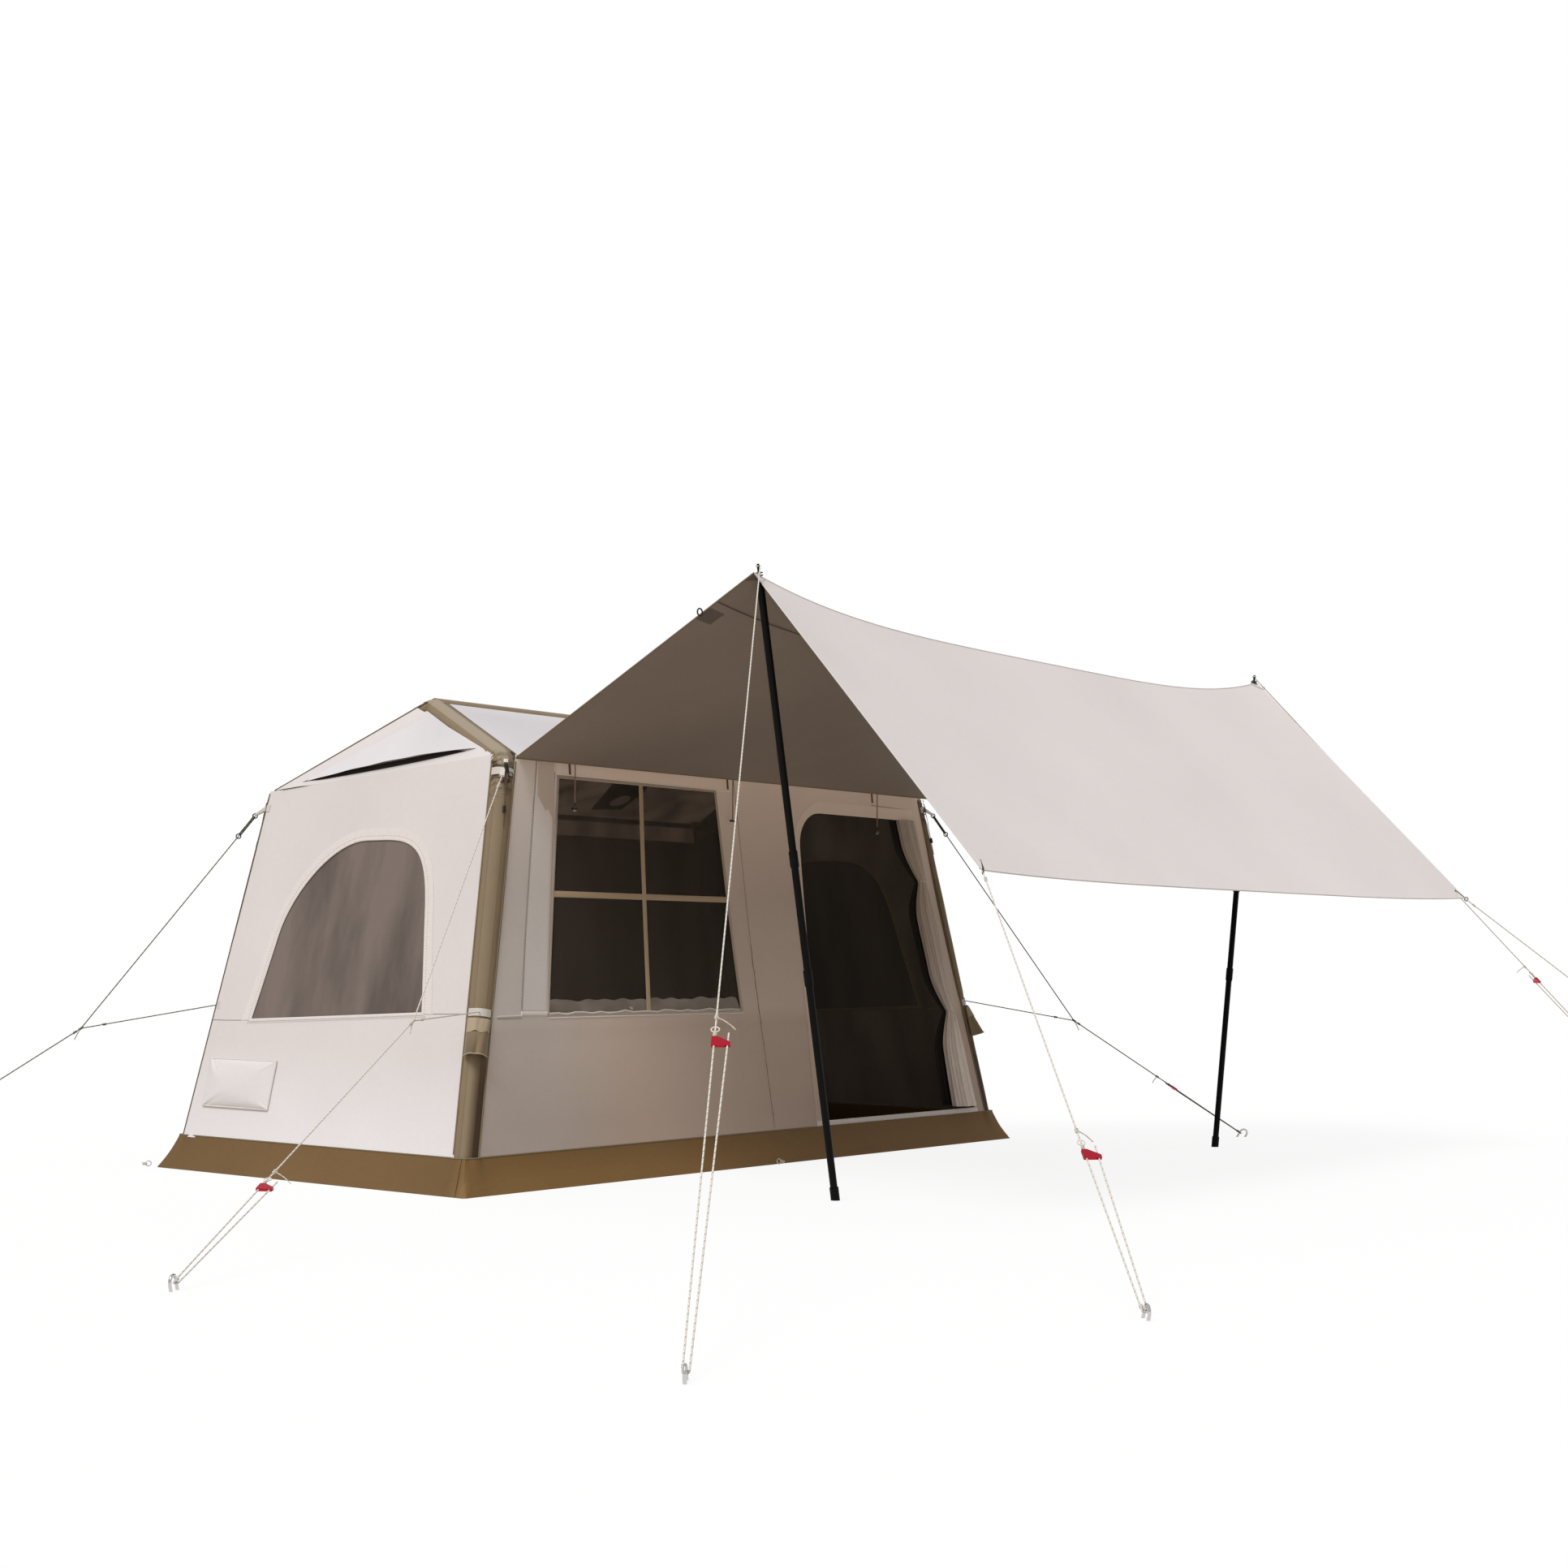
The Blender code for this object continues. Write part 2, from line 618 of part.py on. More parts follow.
# Cabin cloth
def wall_outline(kind, margin=0.0):
    """Outline points on a wall's outer plane: the front window, the door, a side window or a vent."""
    points = []
    if kind == "window":
        sill, head = FRONT_WINDOW_SILL - margin, FRONT_WINDOW_HEAD + margin
        left_low = corner_x(FRONT_WINDOW_SILL) + FRONT_WINDOW_SILL_GAP
        left_high = corner_x(FRONT_WINDOW_HEAD) + FRONT_WINDOW_HEAD_GAP
        points = [point_on(FRONT, sill, x=left_low - margin),
                  point_on(FRONT, sill, x=left_low + FRONT_WINDOW_SILL_WIDTH + margin),
                  point_on(FRONT, head, x=left_high + FRONT_WINDOW_HEAD_WIDTH + margin),
                  point_on(FRONT, head, x=left_high - margin)]
    if kind == "door":
        right_low = -corner_x(DOOR_SILL) - DOOR_JAMB
        right_high = -corner_x(DOOR_HEAD) - DOOR_JAMB
        left = right_low - DOOR_WIDTH
        points = [point_on(FRONT, DOOR_SILL, x=left), point_on(FRONT, DOOR_SILL, x=right_low),
                  point_on(FRONT, DOOR_HEAD, x=right_high)]
        for step in range(7):
            angle = pi / 2 * (1 + step / 6)
            points.append(point_on(FRONT, DOOR_HEAD - DOOR_CORNER + DOOR_CORNER * sin(angle),
                                   x=left + DOOR_CORNER + DOOR_CORNER * cos(angle)))
    if kind == "arch":
        rows = [(-SIDE_WINDOW_SILL_HALF - margin, SIDE_WINDOW_SILL + SIDE_WINDOW_TILT - margin)]
        lean = (SIDE_WINDOW_SILL_HALF - SIDE_WINDOW_SPRING_HALF) / (SIDE_WINDOW_SPRING - SIDE_WINDOW_SILL)
        for step in range(ARCH_STEPS + 1):
            angle = pi * (1 - step / ARCH_STEPS)
            power = ARCH_POWERS[cos(angle) > 0]
            across = abs(cos(angle)) ** (2 / power) * (1 if cos(angle) > 0 else -1)
            rise = (SIDE_WINDOW_CROWN - SIDE_WINDOW_SPRING + margin) * max(0.0, sin(angle)) ** (2 / power)
            half = SIDE_WINDOW_SPRING_HALF + margin - lean * rise
            rows.append((half * across, SIDE_WINDOW_SPRING + rise))
        rows.append((SIDE_WINDOW_SILL_HALF + margin, SIDE_WINDOW_SILL - SIDE_WINDOW_TILT - margin))
        points = [point_on(LEFT, z, y=SIDE_WINDOW_CENTRE + y) for y, z in rows]
    if kind == "vent":
        low, high = VENT_SILL - margin, VENT_SILL + VENT_HEIGHT + margin
        back = leg_edge_y() + margin
        front = leg_edge_y() - VENT_WIDTH - margin
        points = [point_on(LEFT, low, y=front), point_on(LEFT, low, y=back),
                  point_on(LEFT, high, y=back), point_on(LEFT, high, y=front)]
    return points


def corner_x(z):
    """The front left corner seam's x at a height."""
    return meeting_point(LEFT, FRONT, level(z)).x


def leg_edge_y():
    """The vent's edge next to the back corner."""
    return meeting_point(LEFT, BACK, level(VENT_SILL + VENT_HEIGHT)).y - VENT_CORNER_GAP


def make_wall(name, bm, material, cutters):
    wall = make_object(name, bm, material)
    return combine(wall, cutters)


def through(outline, plane, depth=0.03):
    return prism(outline, plane[1], -depth, depth)


def make_cabin(cloth, mesh_cloth, tape_cloth, cover_cloth, cutters):
    foot = flipped(level(SKIRT_HEIGHT + GAP))
    ends = [seam(LEFT), seam(RIGHT)]
    front_cuts = [make_cutter("front_" + kind + "_opening", through(wall_outline(kind), FRONT))
                  for kind in ("window", "door")]
    make_wall("front_wall", panel(FRONT, [foot, ROOF_UNDERSIDE] + ends), cloth, cutters["arches"] + front_cuts)
    make_wall("back_wall", panel(BACK, [foot, ROOF_BACK_UNDERSIDE] + ends), cloth, cutters["arches"])
    lip = shifted(FRONT, EAVE_LIP)
    lip_face = (lip[0], Vector((0, -1, 0)))
    lip_face = (meeting_point(lip, ROOF_FRONT, (Vector(), ALONG_X)), lip_face[1])
    gables = [seam(GABLE), mirrored(seam(GABLE))]
    ridge_cuts = cutters["arches"] + cutters["ridge"]
    front_edges = [lip_face, seam(ROOF_BACK, RIDGE_BEAM_INSET)] + ends + gables
    make_wall("front_roof", panel(ROOF_FRONT, front_edges), cloth, ridge_cuts)
    back_edge = (meeting_point(BACK, ROOF_BACK, (Vector(), ALONG_X)), ALONG_Y)
    back_edges = [back_edge, seam(ROOF_FRONT, RIDGE_BEAM_INSET)] + ends + gables
    make_wall("back_roof", panel(ROOF_BACK, back_edges), cloth, ridge_cuts)
    outer = cut_from_planes([LEFT, GABLE, foot, (Vector(), ALONG_X), seam(FRONT), seam(BACK),
                             seam(ROOF_FRONT), seam(ROOF_BACK)])
    inner = cut_from_planes([shifted(LEFT, -CLOTH), shifted(GABLE, -CLOTH)])
    side_cuts = [make_cutter("side_wall_inside", inner), cutters["arches"][0]]
    side_cuts += [make_cutter("side_" + kind + "_opening", through(wall_outline(kind), LEFT))
                  for kind in ("vent", "arch")]
    left_wall = make_wall("left_wall", outer, cloth, side_cuts)
    mirror_object("right_wall", left_wall)
    for name, side in (("left", -1), ("right", 1)):
        mesh_outline = wall_outline("arch", MESH_LAP)
        mesh_panel = prism(mesh_outline, LEFT[1], -CLOTH - GAP - MESH_THICKNESS, -CLOTH - GAP)
        make_object(name + "_window_mesh", flip_x(mesh_panel, side), mesh_cloth)
        make_hood(name + "_gable_hood", side, cloth, cutters["arches"])
        make_vent_flap(name + "_vent_flap", side, cloth)
    mesh_panel = prism(wall_outline("window", MESH_LAP), FRONT[1], -CLOTH - GAP - MESH_THICKNESS, -CLOTH - GAP)
    make_object("front_window_mesh", mesh_panel, mesh_cloth)
    make_window_tapes(tape_cloth)
    make_window_roll(cover_cloth)


def make_hood(name, side, material, arches):
    """Cloth over the gable vent: held along both rafters, its lower edge bowed outward."""
    columns, rows = 10, 5
    low_front = meeting_point(GABLE, seam(ROOF_FRONT), level(EAVE_FRONT_HEIGHT + HOOD_RISE - HOOD_DROP))
    low_back = meeting_point(GABLE, seam(ROOF_BACK), level(EAVE_BACK_HEIGHT + HOOD_RISE - HOOD_DROP))
    peak = meeting_point(GABLE, seam(ROOF_FRONT), seam(ROOF_BACK))
    bm = bmesh.new()
    layers = []
    for lift in (GAP, GAP + CLOTH):
        grid = []
        for row in range(rows + 1):
            rise = 0.96 * row / rows
            start = low_front.lerp(peak, rise)
            end = low_back.lerp(peak, rise)
            line = []
            for column in range(columns + 1):
                share = column / columns
                stand = HOOD_STAND * sin(pi * share) * (1 - row / rows) ** 2
                line.append(bm.verts.new(start.lerp(end, share) + GABLE[1] * (lift + stand)))
            grid.append(line)
        layers.append(grid)
    close_cloth(bm, *layers)
    bmesh.ops.recalc_face_normals(bm, faces=bm.faces)
    return make_wall(name, flip_x(bm, side), material, arches)


def make_vent_flap(name, side, material):
    """A padded flap over the vent, hinged along its upper edge."""
    outline = wall_outline("vent", FLAP_LAP)
    low_front, low_back, high_back, high_front = outline
    columns, rows = 8, 6
    bm = bmesh.new()
    layers = []
    for outer in (False, True):
        grid = []
        for row in range(rows + 1):
            start = low_front.lerp(high_front, row / rows)
            end = low_back.lerp(high_back, row / rows)
            line = []
            for column in range(columns + 1):
                crown = (sin(pi * column / columns) * sin(pi * row / rows)) ** 0.6 if outer else 0.0
                lift = GAP + (FLAP_EDGE + (FLAP_CROWN - FLAP_EDGE) * crown if outer else 0.0)
                line.append(bm.verts.new(start.lerp(end, column / columns) + LEFT[1] * lift))
            grid.append(line)
        layers.append(grid)
    inner, outer = layers
    for grid in layers:
        for row in range(rows):
            for column in range(columns):
                bm.faces.new((grid[row][column], grid[row][column + 1], grid[row + 1][column + 1],
                              grid[row + 1][column]))
    for row in (0, rows):
        for column in range(columns):
            bm.faces.new((inner[row][column], inner[row][column + 1], outer[row][column + 1],
                          outer[row][column]))
    for column in (0, columns):
        for row in range(rows):
            bm.faces.new((inner[row][column], inner[row + 1][column], outer[row + 1][column],
                          outer[row][column]))
    bmesh.ops.recalc_face_normals(bm, faces=bm.faces)
    obj = make_object(name, flip_x(bm, side), material, 30)
    hinge = (high_back + high_front) / 2 + LEFT[1] * (GAP + FLAP_EDGE)
    move_origin(obj, placed(hinge, -side))
    return obj


def make_window_tapes(material):
    """One level and one upright tape, sewn into a cross in the front window."""
    low_left, low_right, high_right, high_left = wall_outline("window", -GAP)
    share = (TAPE_HEIGHT - FRONT_WINDOW_SILL) / (FRONT_WINDOW_HEAD - FRONT_WINDOW_SILL)
    half = TAPE_WIDTH / 2
    across = Vector((half, 0, 0))
    rise = (high_left - low_left) / (high_left.z - low_left.z)
    fall = (high_right - low_right) / (high_right.z - low_right.z)
    left = low_left.lerp(high_left, share)
    right = low_right.lerp(high_right, share)
    top = high_left.lerp(high_right, TAPE_SHARE)
    bottom = low_left.lerp(low_right, TAPE_SHARE - 0.012)
    lean = (top - bottom) / (top.z - bottom.z)
    middle = bottom + lean * (left.z - bottom.z)
    outline = [left - rise * half, middle - across - lean * half, bottom - across, bottom + across,
               middle + across - lean * half, right - fall * half, right + fall * half,
               middle + across + lean * half, top + across, top - across,
               middle - across + lean * half, left + rise * half]
    make_object("front_window_tapes", prism(outline, FRONT[1], -CLOTH, 0.0), material)


def make_window_roll(material):
    """The window's inner cover, rolled down and lying slack along the sill behind the mesh."""
    low_left, low_right, _, _ = wall_outline("window", MESH_LAP)
    reach = CLOTH + GAP + MESH_THICKNESS + GAP + ROLL_RADIUS
    steps = 24
    path = []
    for step in range(steps + 1):
        share = step / steps
        point = low_left.lerp(low_right, share) + Vector((0, 0, ROLL_RADIUS * 0.9)) - FRONT[1] * reach
        path.append(point)

    def slack(index, angle):
        wave = 0.10 * sin(index * 2.1) + 0.06 * sin(index * 0.9 + 3 * angle)
        end = 0.75 if index in (0, steps) else 1.0
        return (0.84 + wave) * end

    roll = sweep(path, ROLL_RADIUS, 10, slack)
    obj = make_object("front_window_cover_roll", roll, material, 60)
    nearest = max(FRONT[1].dot(obj.data.vertices[k].co - FRONT[0]) for k in range(len(obj.data.vertices)))
    obj.data.transform(Matrix.Translation(FRONT[1] * (-CLOTH - MESH_THICKNESS - 2 * GAP - nearest)))
    return obj


def curtain_half(z):
    """Half the gathered curtain's width at a height: waisted at its ties, full between, flared at the foot."""
    near_tie = min(abs(z - tie) for tie in CURTAIN_TIES)
    belly = CURTAIN_BELLY
    if z < CURTAIN_TIES[1]:
        belly += (CURTAIN_FOOT - CURTAIN_BELLY) * (CURTAIN_TIES[1] - z) / CURTAIN_TIES[1]
    return CURTAIN_WAIST + (belly - CURTAIN_WAIST) * sin(min(1.0, near_tie / CURTAIN_GATHER) * pi / 2)


def make_curtain(name, material, share=1.0, behind=False):
    """Door cloth drawn to the right jamb and gathered into folds by its ties."""
    low = DOOR_SILL + CURTAIN_LIFT
    high = DOOR_HEAD - GAP * 2
    levels = 26
    sides = CURTAIN_FOLDS * 4
    phase = -pi / 2 if behind else pi / 2
    bm = bmesh.new()
    rings = []
    for step in range(levels + 1):
        z = low + (high - low) * step / levels
        full = curtain_half(z)
        jamb = -corner_x(z) - DOOR_JAMB - GAP * 2
        back = ((1 + share) * full * CURTAIN_DEPTH + GAP * 2) if behind else 0.0
        middle = point_on(FRONT, z, x=jamb - full) + ALONG_Y * back
        half = full * share
        ring = []
        for k in range(sides):
            angle = 2 * pi * k / sides
            pleat = 1 - 0.16 * (0.5 - 0.5 * cos(CURTAIN_FOLDS * angle + phase + 0.4 * sin(z * 9)))
            reach = Vector((cos(angle) * half, sin(angle) * half * CURTAIN_DEPTH, 0))
            ring.append(bm.verts.new(middle + reach * pleat))
        rings.append(ring)
    for low_ring, high_ring in zip(rings, rings[1:]):
        for k in range(sides):
            bm.faces.new((low_ring[k], low_ring[(k + 1) % sides], high_ring[(k + 1) % sides], high_ring[k]))
    bm.faces.new(rings[0][::-1])
    bm.faces.new(rings[-1])
    return make_object(name, bm, material, 60)


def make_tie(name, x, material):
    """A hanging elastic with a toggle, held under the front roof's lip."""
    lip = meeting_point(shifted(FRONT, EAVE_LIP), ROOF_FRONT, (Vector((x, 0, 0)), ALONG_X))
    y = lip.y + 0.010
    under = meeting_point(shifted(ROOF_FRONT, -CLOTH), (Vector((x, 0, 0)), ALONG_X),
                          (Vector((0, y, 0)), ALONG_Y))
    top = under - Vector((0, 0, GAP + 0.0006))
    bottom = top - Vector((0, 0, TIE_LENGTH))
    taper = cylinder(top, top - Vector((0, 0, TIE_TAPER)), TIE_TIP, 8, TIE_CORD)
    cord = cylinder(top - Vector((0, 0, TIE_TAPER * 0.8)), bottom, TIE_CORD, 8)
    toggle = cylinder(bottom + ALONG_X * (-TOGGLE_LENGTH / 2), bottom + ALONG_X * TOGGLE_LENGTH / 2,
                      TOGGLE_RADIUS, 10)
    obj = fuse(name, [taper, cord, toggle], material, 40)
    move_origin(obj, top)
    return obj


# Skirt and groundsheet
def skirt_corner(z, reach, back, steps=14):
    """The skirt's outline round a left corner at a height: along the hem, bulged where the beam stands out."""
    share = z / SKIRT_HEIGHT
    middle = leg_point(z, back)
    to_side = HALF_LENGTH - SKIRT_FLARE * share - CLOTH + reach - abs(middle.x)
    to_front = HALF_WIDTH - SKIRT_FLARE * share - CLOTH + reach - abs(middle.y)
    round_beam = (BEAM_RADIUS + GAP) * 1.06 + reach
    points = []
    for step in range(steps + 1):
        angle = radians(-65 + 220 * step / steps)
        straight = min(to_side / cos(angle) if cos(angle) > 0.01 else 9.0,
                       to_front / sin(angle) if sin(angle) > 0.01 else 9.0)
        length = max(straight, round_beam)
        points.append(Vector((middle.x - cos(angle) * length,
                              middle.y + (sin(angle) if back else -sin(angle)) * length, z)))
    return points


def make_skirt(material):
    """A flared hem round the cabin, bulged over the four beam feet.

    Its inner and outer faces are split along the same diagonals, so they stay apart where they twist.
    """
    bm = bmesh.new()
    walls = []
    for reach in (0.0, CLOTH):
        wall = []
        for z in (0.0, SKIRT_HEIGHT * 0.5, SKIRT_HEIGHT):
            front = skirt_corner(z, reach, False)
            back = skirt_corner(z, reach, True)
            outline = front + mirror_x(front[::-1]) + mirror_x(back) + back[::-1]
            wall.append([bm.verts.new(point) for point in outline])
        walls.append(wall)
    count = len(walls[0][0])
    for k in range(count):
        after = (k + 1) % count
        for wall in walls:
            for low, high in zip(wall, wall[1:]):
                bm.faces.new((low[k], low[after], high[after]))
                bm.faces.new((low[k], high[after], high[k]))
        for row in (0, -1):
            inner, outer = walls[0][row], walls[1][row]
            bm.faces.new((inner[k], inner[after], outer[after], outer[k]))
    return make_object("mud_skirt", bm, material, 30)


def make_groundsheet(material):
    edge = SKIRT_FLARE / SKIRT_HEIGHT * SHEET_THICKNESS + CLOTH + GAP
    planes = [(Vector((HALF_LENGTH - edge, 0, 0)), ALONG_X), (Vector((-HALF_LENGTH + edge, 0, 0)), -ALONG_X),
              (Vector((0, HALF_WIDTH - edge, 0)), ALONG_Y), (Vector((0, -HALF_WIDTH + edge, 0)), -ALONG_Y),
              level(SHEET_THICKNESS), flipped(level(0))]
    sheet = cut_from_planes(planes)
    corners = [edge for edge in sheet.edges if abs((edge.verts[0].co - edge.verts[1].co).normalized().z) > 0.9]
    bmesh.ops.bevel(sheet, geom=corners, offset=0.045, segments=3, affect="EDGES", profile=0.5)
    return make_object("groundsheet", sheet, material)


# Awning
def pole_line(side):
    """Foot and ridge point of a pole: -1 is the near pole, 1 the far one."""
    x = -HALF_LENGTH + AWNING_START + (AWNING_LENGTH if side > 0 else 0.0)
    y = -HALF_WIDTH - AWNING_POLE_OFFSET + (AWNING_SKEW if side > 0 else 0.0)
    top = Vector((x, y, AWNING_HEIGHT))
    return Vector((x - side * POLE_LEAN, y, 0)), top


def awning_rows():
    """The cloth's lines from the eave over the ridge to the front hem, each from near to far."""
    lip = meeting_point(shifted(FRONT, EAVE_LIP), ROOF_FRONT, (Vector(), ALONG_X))
    rear_y = lip.y - GAP * 1.5
    rear_z = lip.z
    near_ridge, far_ridge = pole_line(-1)[1], pole_line(1)[1]
    eave_end = EAVE_FRONT.x + 0.02
    front_y = -HALF_WIDTH - AWNING_FRONT_OFFSET
    rear = (Vector((eave_end, rear_y, rear_z)), Vector((-eave_end, rear_y, rear_z)))
    ridge = (near_ridge - ALONG_X * AWNING_MARGIN, far_ridge + ALONG_X * AWNING_MARGIN)
    front = (Vector((near_ridge.x - AWNING_SPREAD, front_y, AWNING_FRONT_HEIGHT)),
             Vector((far_ridge.x + AWNING_SPREAD, front_y, AWNING_FRONT_HEIGHT)))
    rows = []
    for row in range(AWNING_REAR_ROWS):
        share = row / AWNING_REAR_ROWS
        ends = [rear[k].lerp(ridge[k], share) for k in (0, 1)]
        rows.append((ends, AWNING_RIDGE_SAG * share ** 2, AWNING_BILLOW * sin(pi * share)))
    rows.append((list(ridge), AWNING_RIDGE_SAG, 0.0))
    for row in range(1, AWNING_FRONT_ROWS + 1):
        share = row / AWNING_FRONT_ROWS
        ends = [ridge[k].lerp(front[k], share) for k in (0, 1)]
        sag = AWNING_RIDGE_SAG * (1 - share) + AWNING_HEM_SAG * share
        rows.append((ends, sag, AWNING_BILLOW * sin(pi * share)))
    return rows


def make_awning(material):
    bm = bmesh.new()
    layers = []
    rows = awning_rows()
    for drop in (0.0, CLOTH):
        grid = []
        for ends, sag, billow in rows:
            line = []
            for column in range(AWNING_COLUMNS + 1):
                share = column / AWNING_COLUMNS
                hang = sag * (1 - abs(2 * share - 1) ** 4) + billow * sin(pi * share)
                line.append(bm.verts.new(ends[0].lerp(ends[1], share) - UP * (hang + drop)))
            grid.append(line)
        layers.append(grid)
    close_cloth(bm, *layers)
    awning = make_object("awning", bm, material)
    holes = []
    for side in (-1, 1):
        foot, top = pole_line(side)
        axis = (top - foot).normalized()
        holes.append(make_cutter("awning_eyelet", cylinder(top - axis * 0.05, top + axis * 0.05,
                                                           TIP_RADIUS + GAP, 12)))
    return combine(awning, holes)


def make_pole(name, side, material):
    foot, top = pole_line(side)
    axis = (top - foot).normalized()
    length = (top - foot).length
    tube_end = foot + axis * (length - POLE_SHOULDER)
    pieces = [cylinder(foot - axis * 0.02, tube_end, POLE_RADIUS, 20)]
    pieces.append(cylinder(foot - axis * 0.02, foot + axis * POLE_FOOT_LENGTH, POLE_FOOT_RADIUS, 20))
    for share in POLE_JOINTS:
        middle = foot + axis * length * share
        pieces.append(cylinder(middle - axis * POLE_COLLAR_LENGTH / 2, middle + axis * POLE_COLLAR_LENGTH / 2,
                               POLE_COLLAR, 20))
    pieces.append(cylinder(tube_end - axis * 0.004, tube_end + axis * POLE_SHOULDER * 0.4, POLE_RADIUS * 0.9,
                           20, TIP_RADIUS * 1.6))
    pieces.append(cylinder(tube_end - axis * 0.01, top + axis * TIP_LENGTH, TIP_RADIUS, 12))
    pole = fuse(name, pieces, material, 40)
    ground = make_cutter(name + "_ground", cut_from_planes([level(0)], 3.0))
    combine(pole, [ground])
    bpy.data.objects.remove(ground, do_unlink=True)
    return pole


# Guylines
def stake_frame(anchor, stake):
    """Directions at a stake: along the cord from the anchor, level across, and up the shaft."""
    along = (stake - anchor).normalized()
    across = along.cross(UP).normalized()
    shaft = across.cross(along)
    return along, across, shaft


def guyline_paths(anchor, stake, runner_distance):
    """Main strand, turn round the stake and tail strand as one path, with the runner's place."""
    along, across, shaft = stake_frame(anchor, stake)
    turn = STAKE_RADIUS + CORD_RADIUS + GAP
    entry = stake + across * turn
    main = (entry - anchor).normalized()
    runner = entry - main * runner_distance
    tail_top = runner - across * RUNNER_SPAN
    tail = (stake - across * turn - tail_top).normalized()
    path = [anchor, entry]
    for step in range(1, 9):
        angle = pi * step / 8
        path.append(stake + across * turn * cos(angle) + along * turn * sin(angle))
    path.append(tail_top - tail * (RUNNER_HEIGHT / 2 + TAIL_END))
    return path, runner, main, across


def make_cord(name, pieces, material):
    if len(pieces) == 1:
        return make_object(name, pieces[0], material, 60)
    return fuse(name, pieces, material, 60)


def make_runner(name, runner, main, across, material):
    """A triangular runner: the main strand runs through it, the tail comes up through its slot."""
    normal = across.cross(main).normalized()
    along = -main
    toward_tail = -across
    half = RUNNER_HEIGHT / 2
    corners = ((-RUNNER_EDGE, -half), (RUNNER_SPAN + RUNNER_EDGE, -half), (RUNNER_SPAN + RUNNER_EDGE, -half / 3),
               (RUNNER_EDGE, half), (-RUNNER_EDGE, half))
    outline = [runner + toward_tail * a + along * b for a, b in corners]
    body = make_object(name, prism(outline, normal, -RUNNER_THICKNESS / 2, RUNNER_THICKNESS / 2), material)
    bore = CORD_RADIUS + GAP
    reach = half + 0.02
    main_hole = make_cutter(name + "_bore", cylinder(runner - main * reach, runner + main * reach, bore, 12))
    slot_in = toward_tail * (RUNNER_SPAN - 0.0045)
    slot_out = toward_tail * (RUNNER_SPAN + 0.0012)
    slot_points = []
    for k in range(13):
        angle = pi * k / 12 + pi / 2
        slot_points.append(runner + slot_in + (toward_tail * cos(angle) + normal * sin(angle)) * bore)
    for k in range(13):
        angle = pi * k / 12 - pi / 2
        slot_points.append(runner + slot_out + (toward_tail * cos(angle) + normal * sin(angle)) * bore)
    slot = make_cutter(name + "_slot", prism(slot_points, main, -reach, reach))
    combine(body, [main_hole, slot])
    for cutter in (main_hole, slot):
        bpy.data.objects.remove(cutter, do_unlink=True)
    move_origin(body, runner)
    return body


def make_stake(name, anchor, stake, material):
    """A bent steel stake: shaft square to its cord, head hooked back down to the ground."""
    along, across, shaft = stake_frame(anchor, stake)
    head = stake + shaft * STAKE_HEAD
    path = [stake - shaft * 0.12, head]
    for step in range(1, 9):
        angle = pi * step / 8
        path.append(head + along * STAKE_HOOK * (1 - cos(angle)) + shaft * STAKE_HOOK * sin(angle))
    path.append(path[-1] - shaft * 0.16)
    body = make_object(name, sweep(path, STAKE_RADIUS, 10), material, 60)
    ground = make_cutter(name + "_ground", cut_from_planes([level(0)], 8.0))
    combine(body, [ground])
    bpy.data.objects.remove(ground, do_unlink=True)
    return body


def loop_round_tip(side, stake):
    """A turn of cord round a pole's tip, ending where the strand leaves for the stake."""
    foot, top = pole_line(side)
    axis = (top - foot).normalized()
    middle = top + axis * (TIP_LENGTH * 0.78)
    leave = (stake - middle).normalized()
    flat = (leave - axis * leave.dot(axis)).normalized()
    across = axis.cross(flat)
    radius = TIP_RADIUS + CORD_RADIUS + GAP * 2
    points = []
    for step in range(11):
        angle = radians(-290 + 290 * step / 10)
        points.append(middle + across * radius * cos(angle) + flat * radius * sin(angle))
    points.append(points[-1] + leave * 0.02 + flat * 0.004)
    return points


def cabin_line(side, back):
    """A cabin guyline's stake, fork and runner distance: the front left one is pegged out the farthest."""
    far = side < 0 and not back
    away, fork, runner_distance = (FAR_STAKE, FAR_FORK, FAR_RUNNER) if far else (NEAR_STAKE, NEAR_FORK, NEAR_RUNNER)
    hem = Vector((side * HALF_LENGTH, HALF_WIDTH if back else -HALF_WIDTH, 0))
    reach = Vector((side * away[0], away[1] if back else -away[1], 0))
    return hem + reach + UP * STAKE_HOLD, hem.lerp(hem + reach, fork[0]) + UP * fork[1], runner_distance


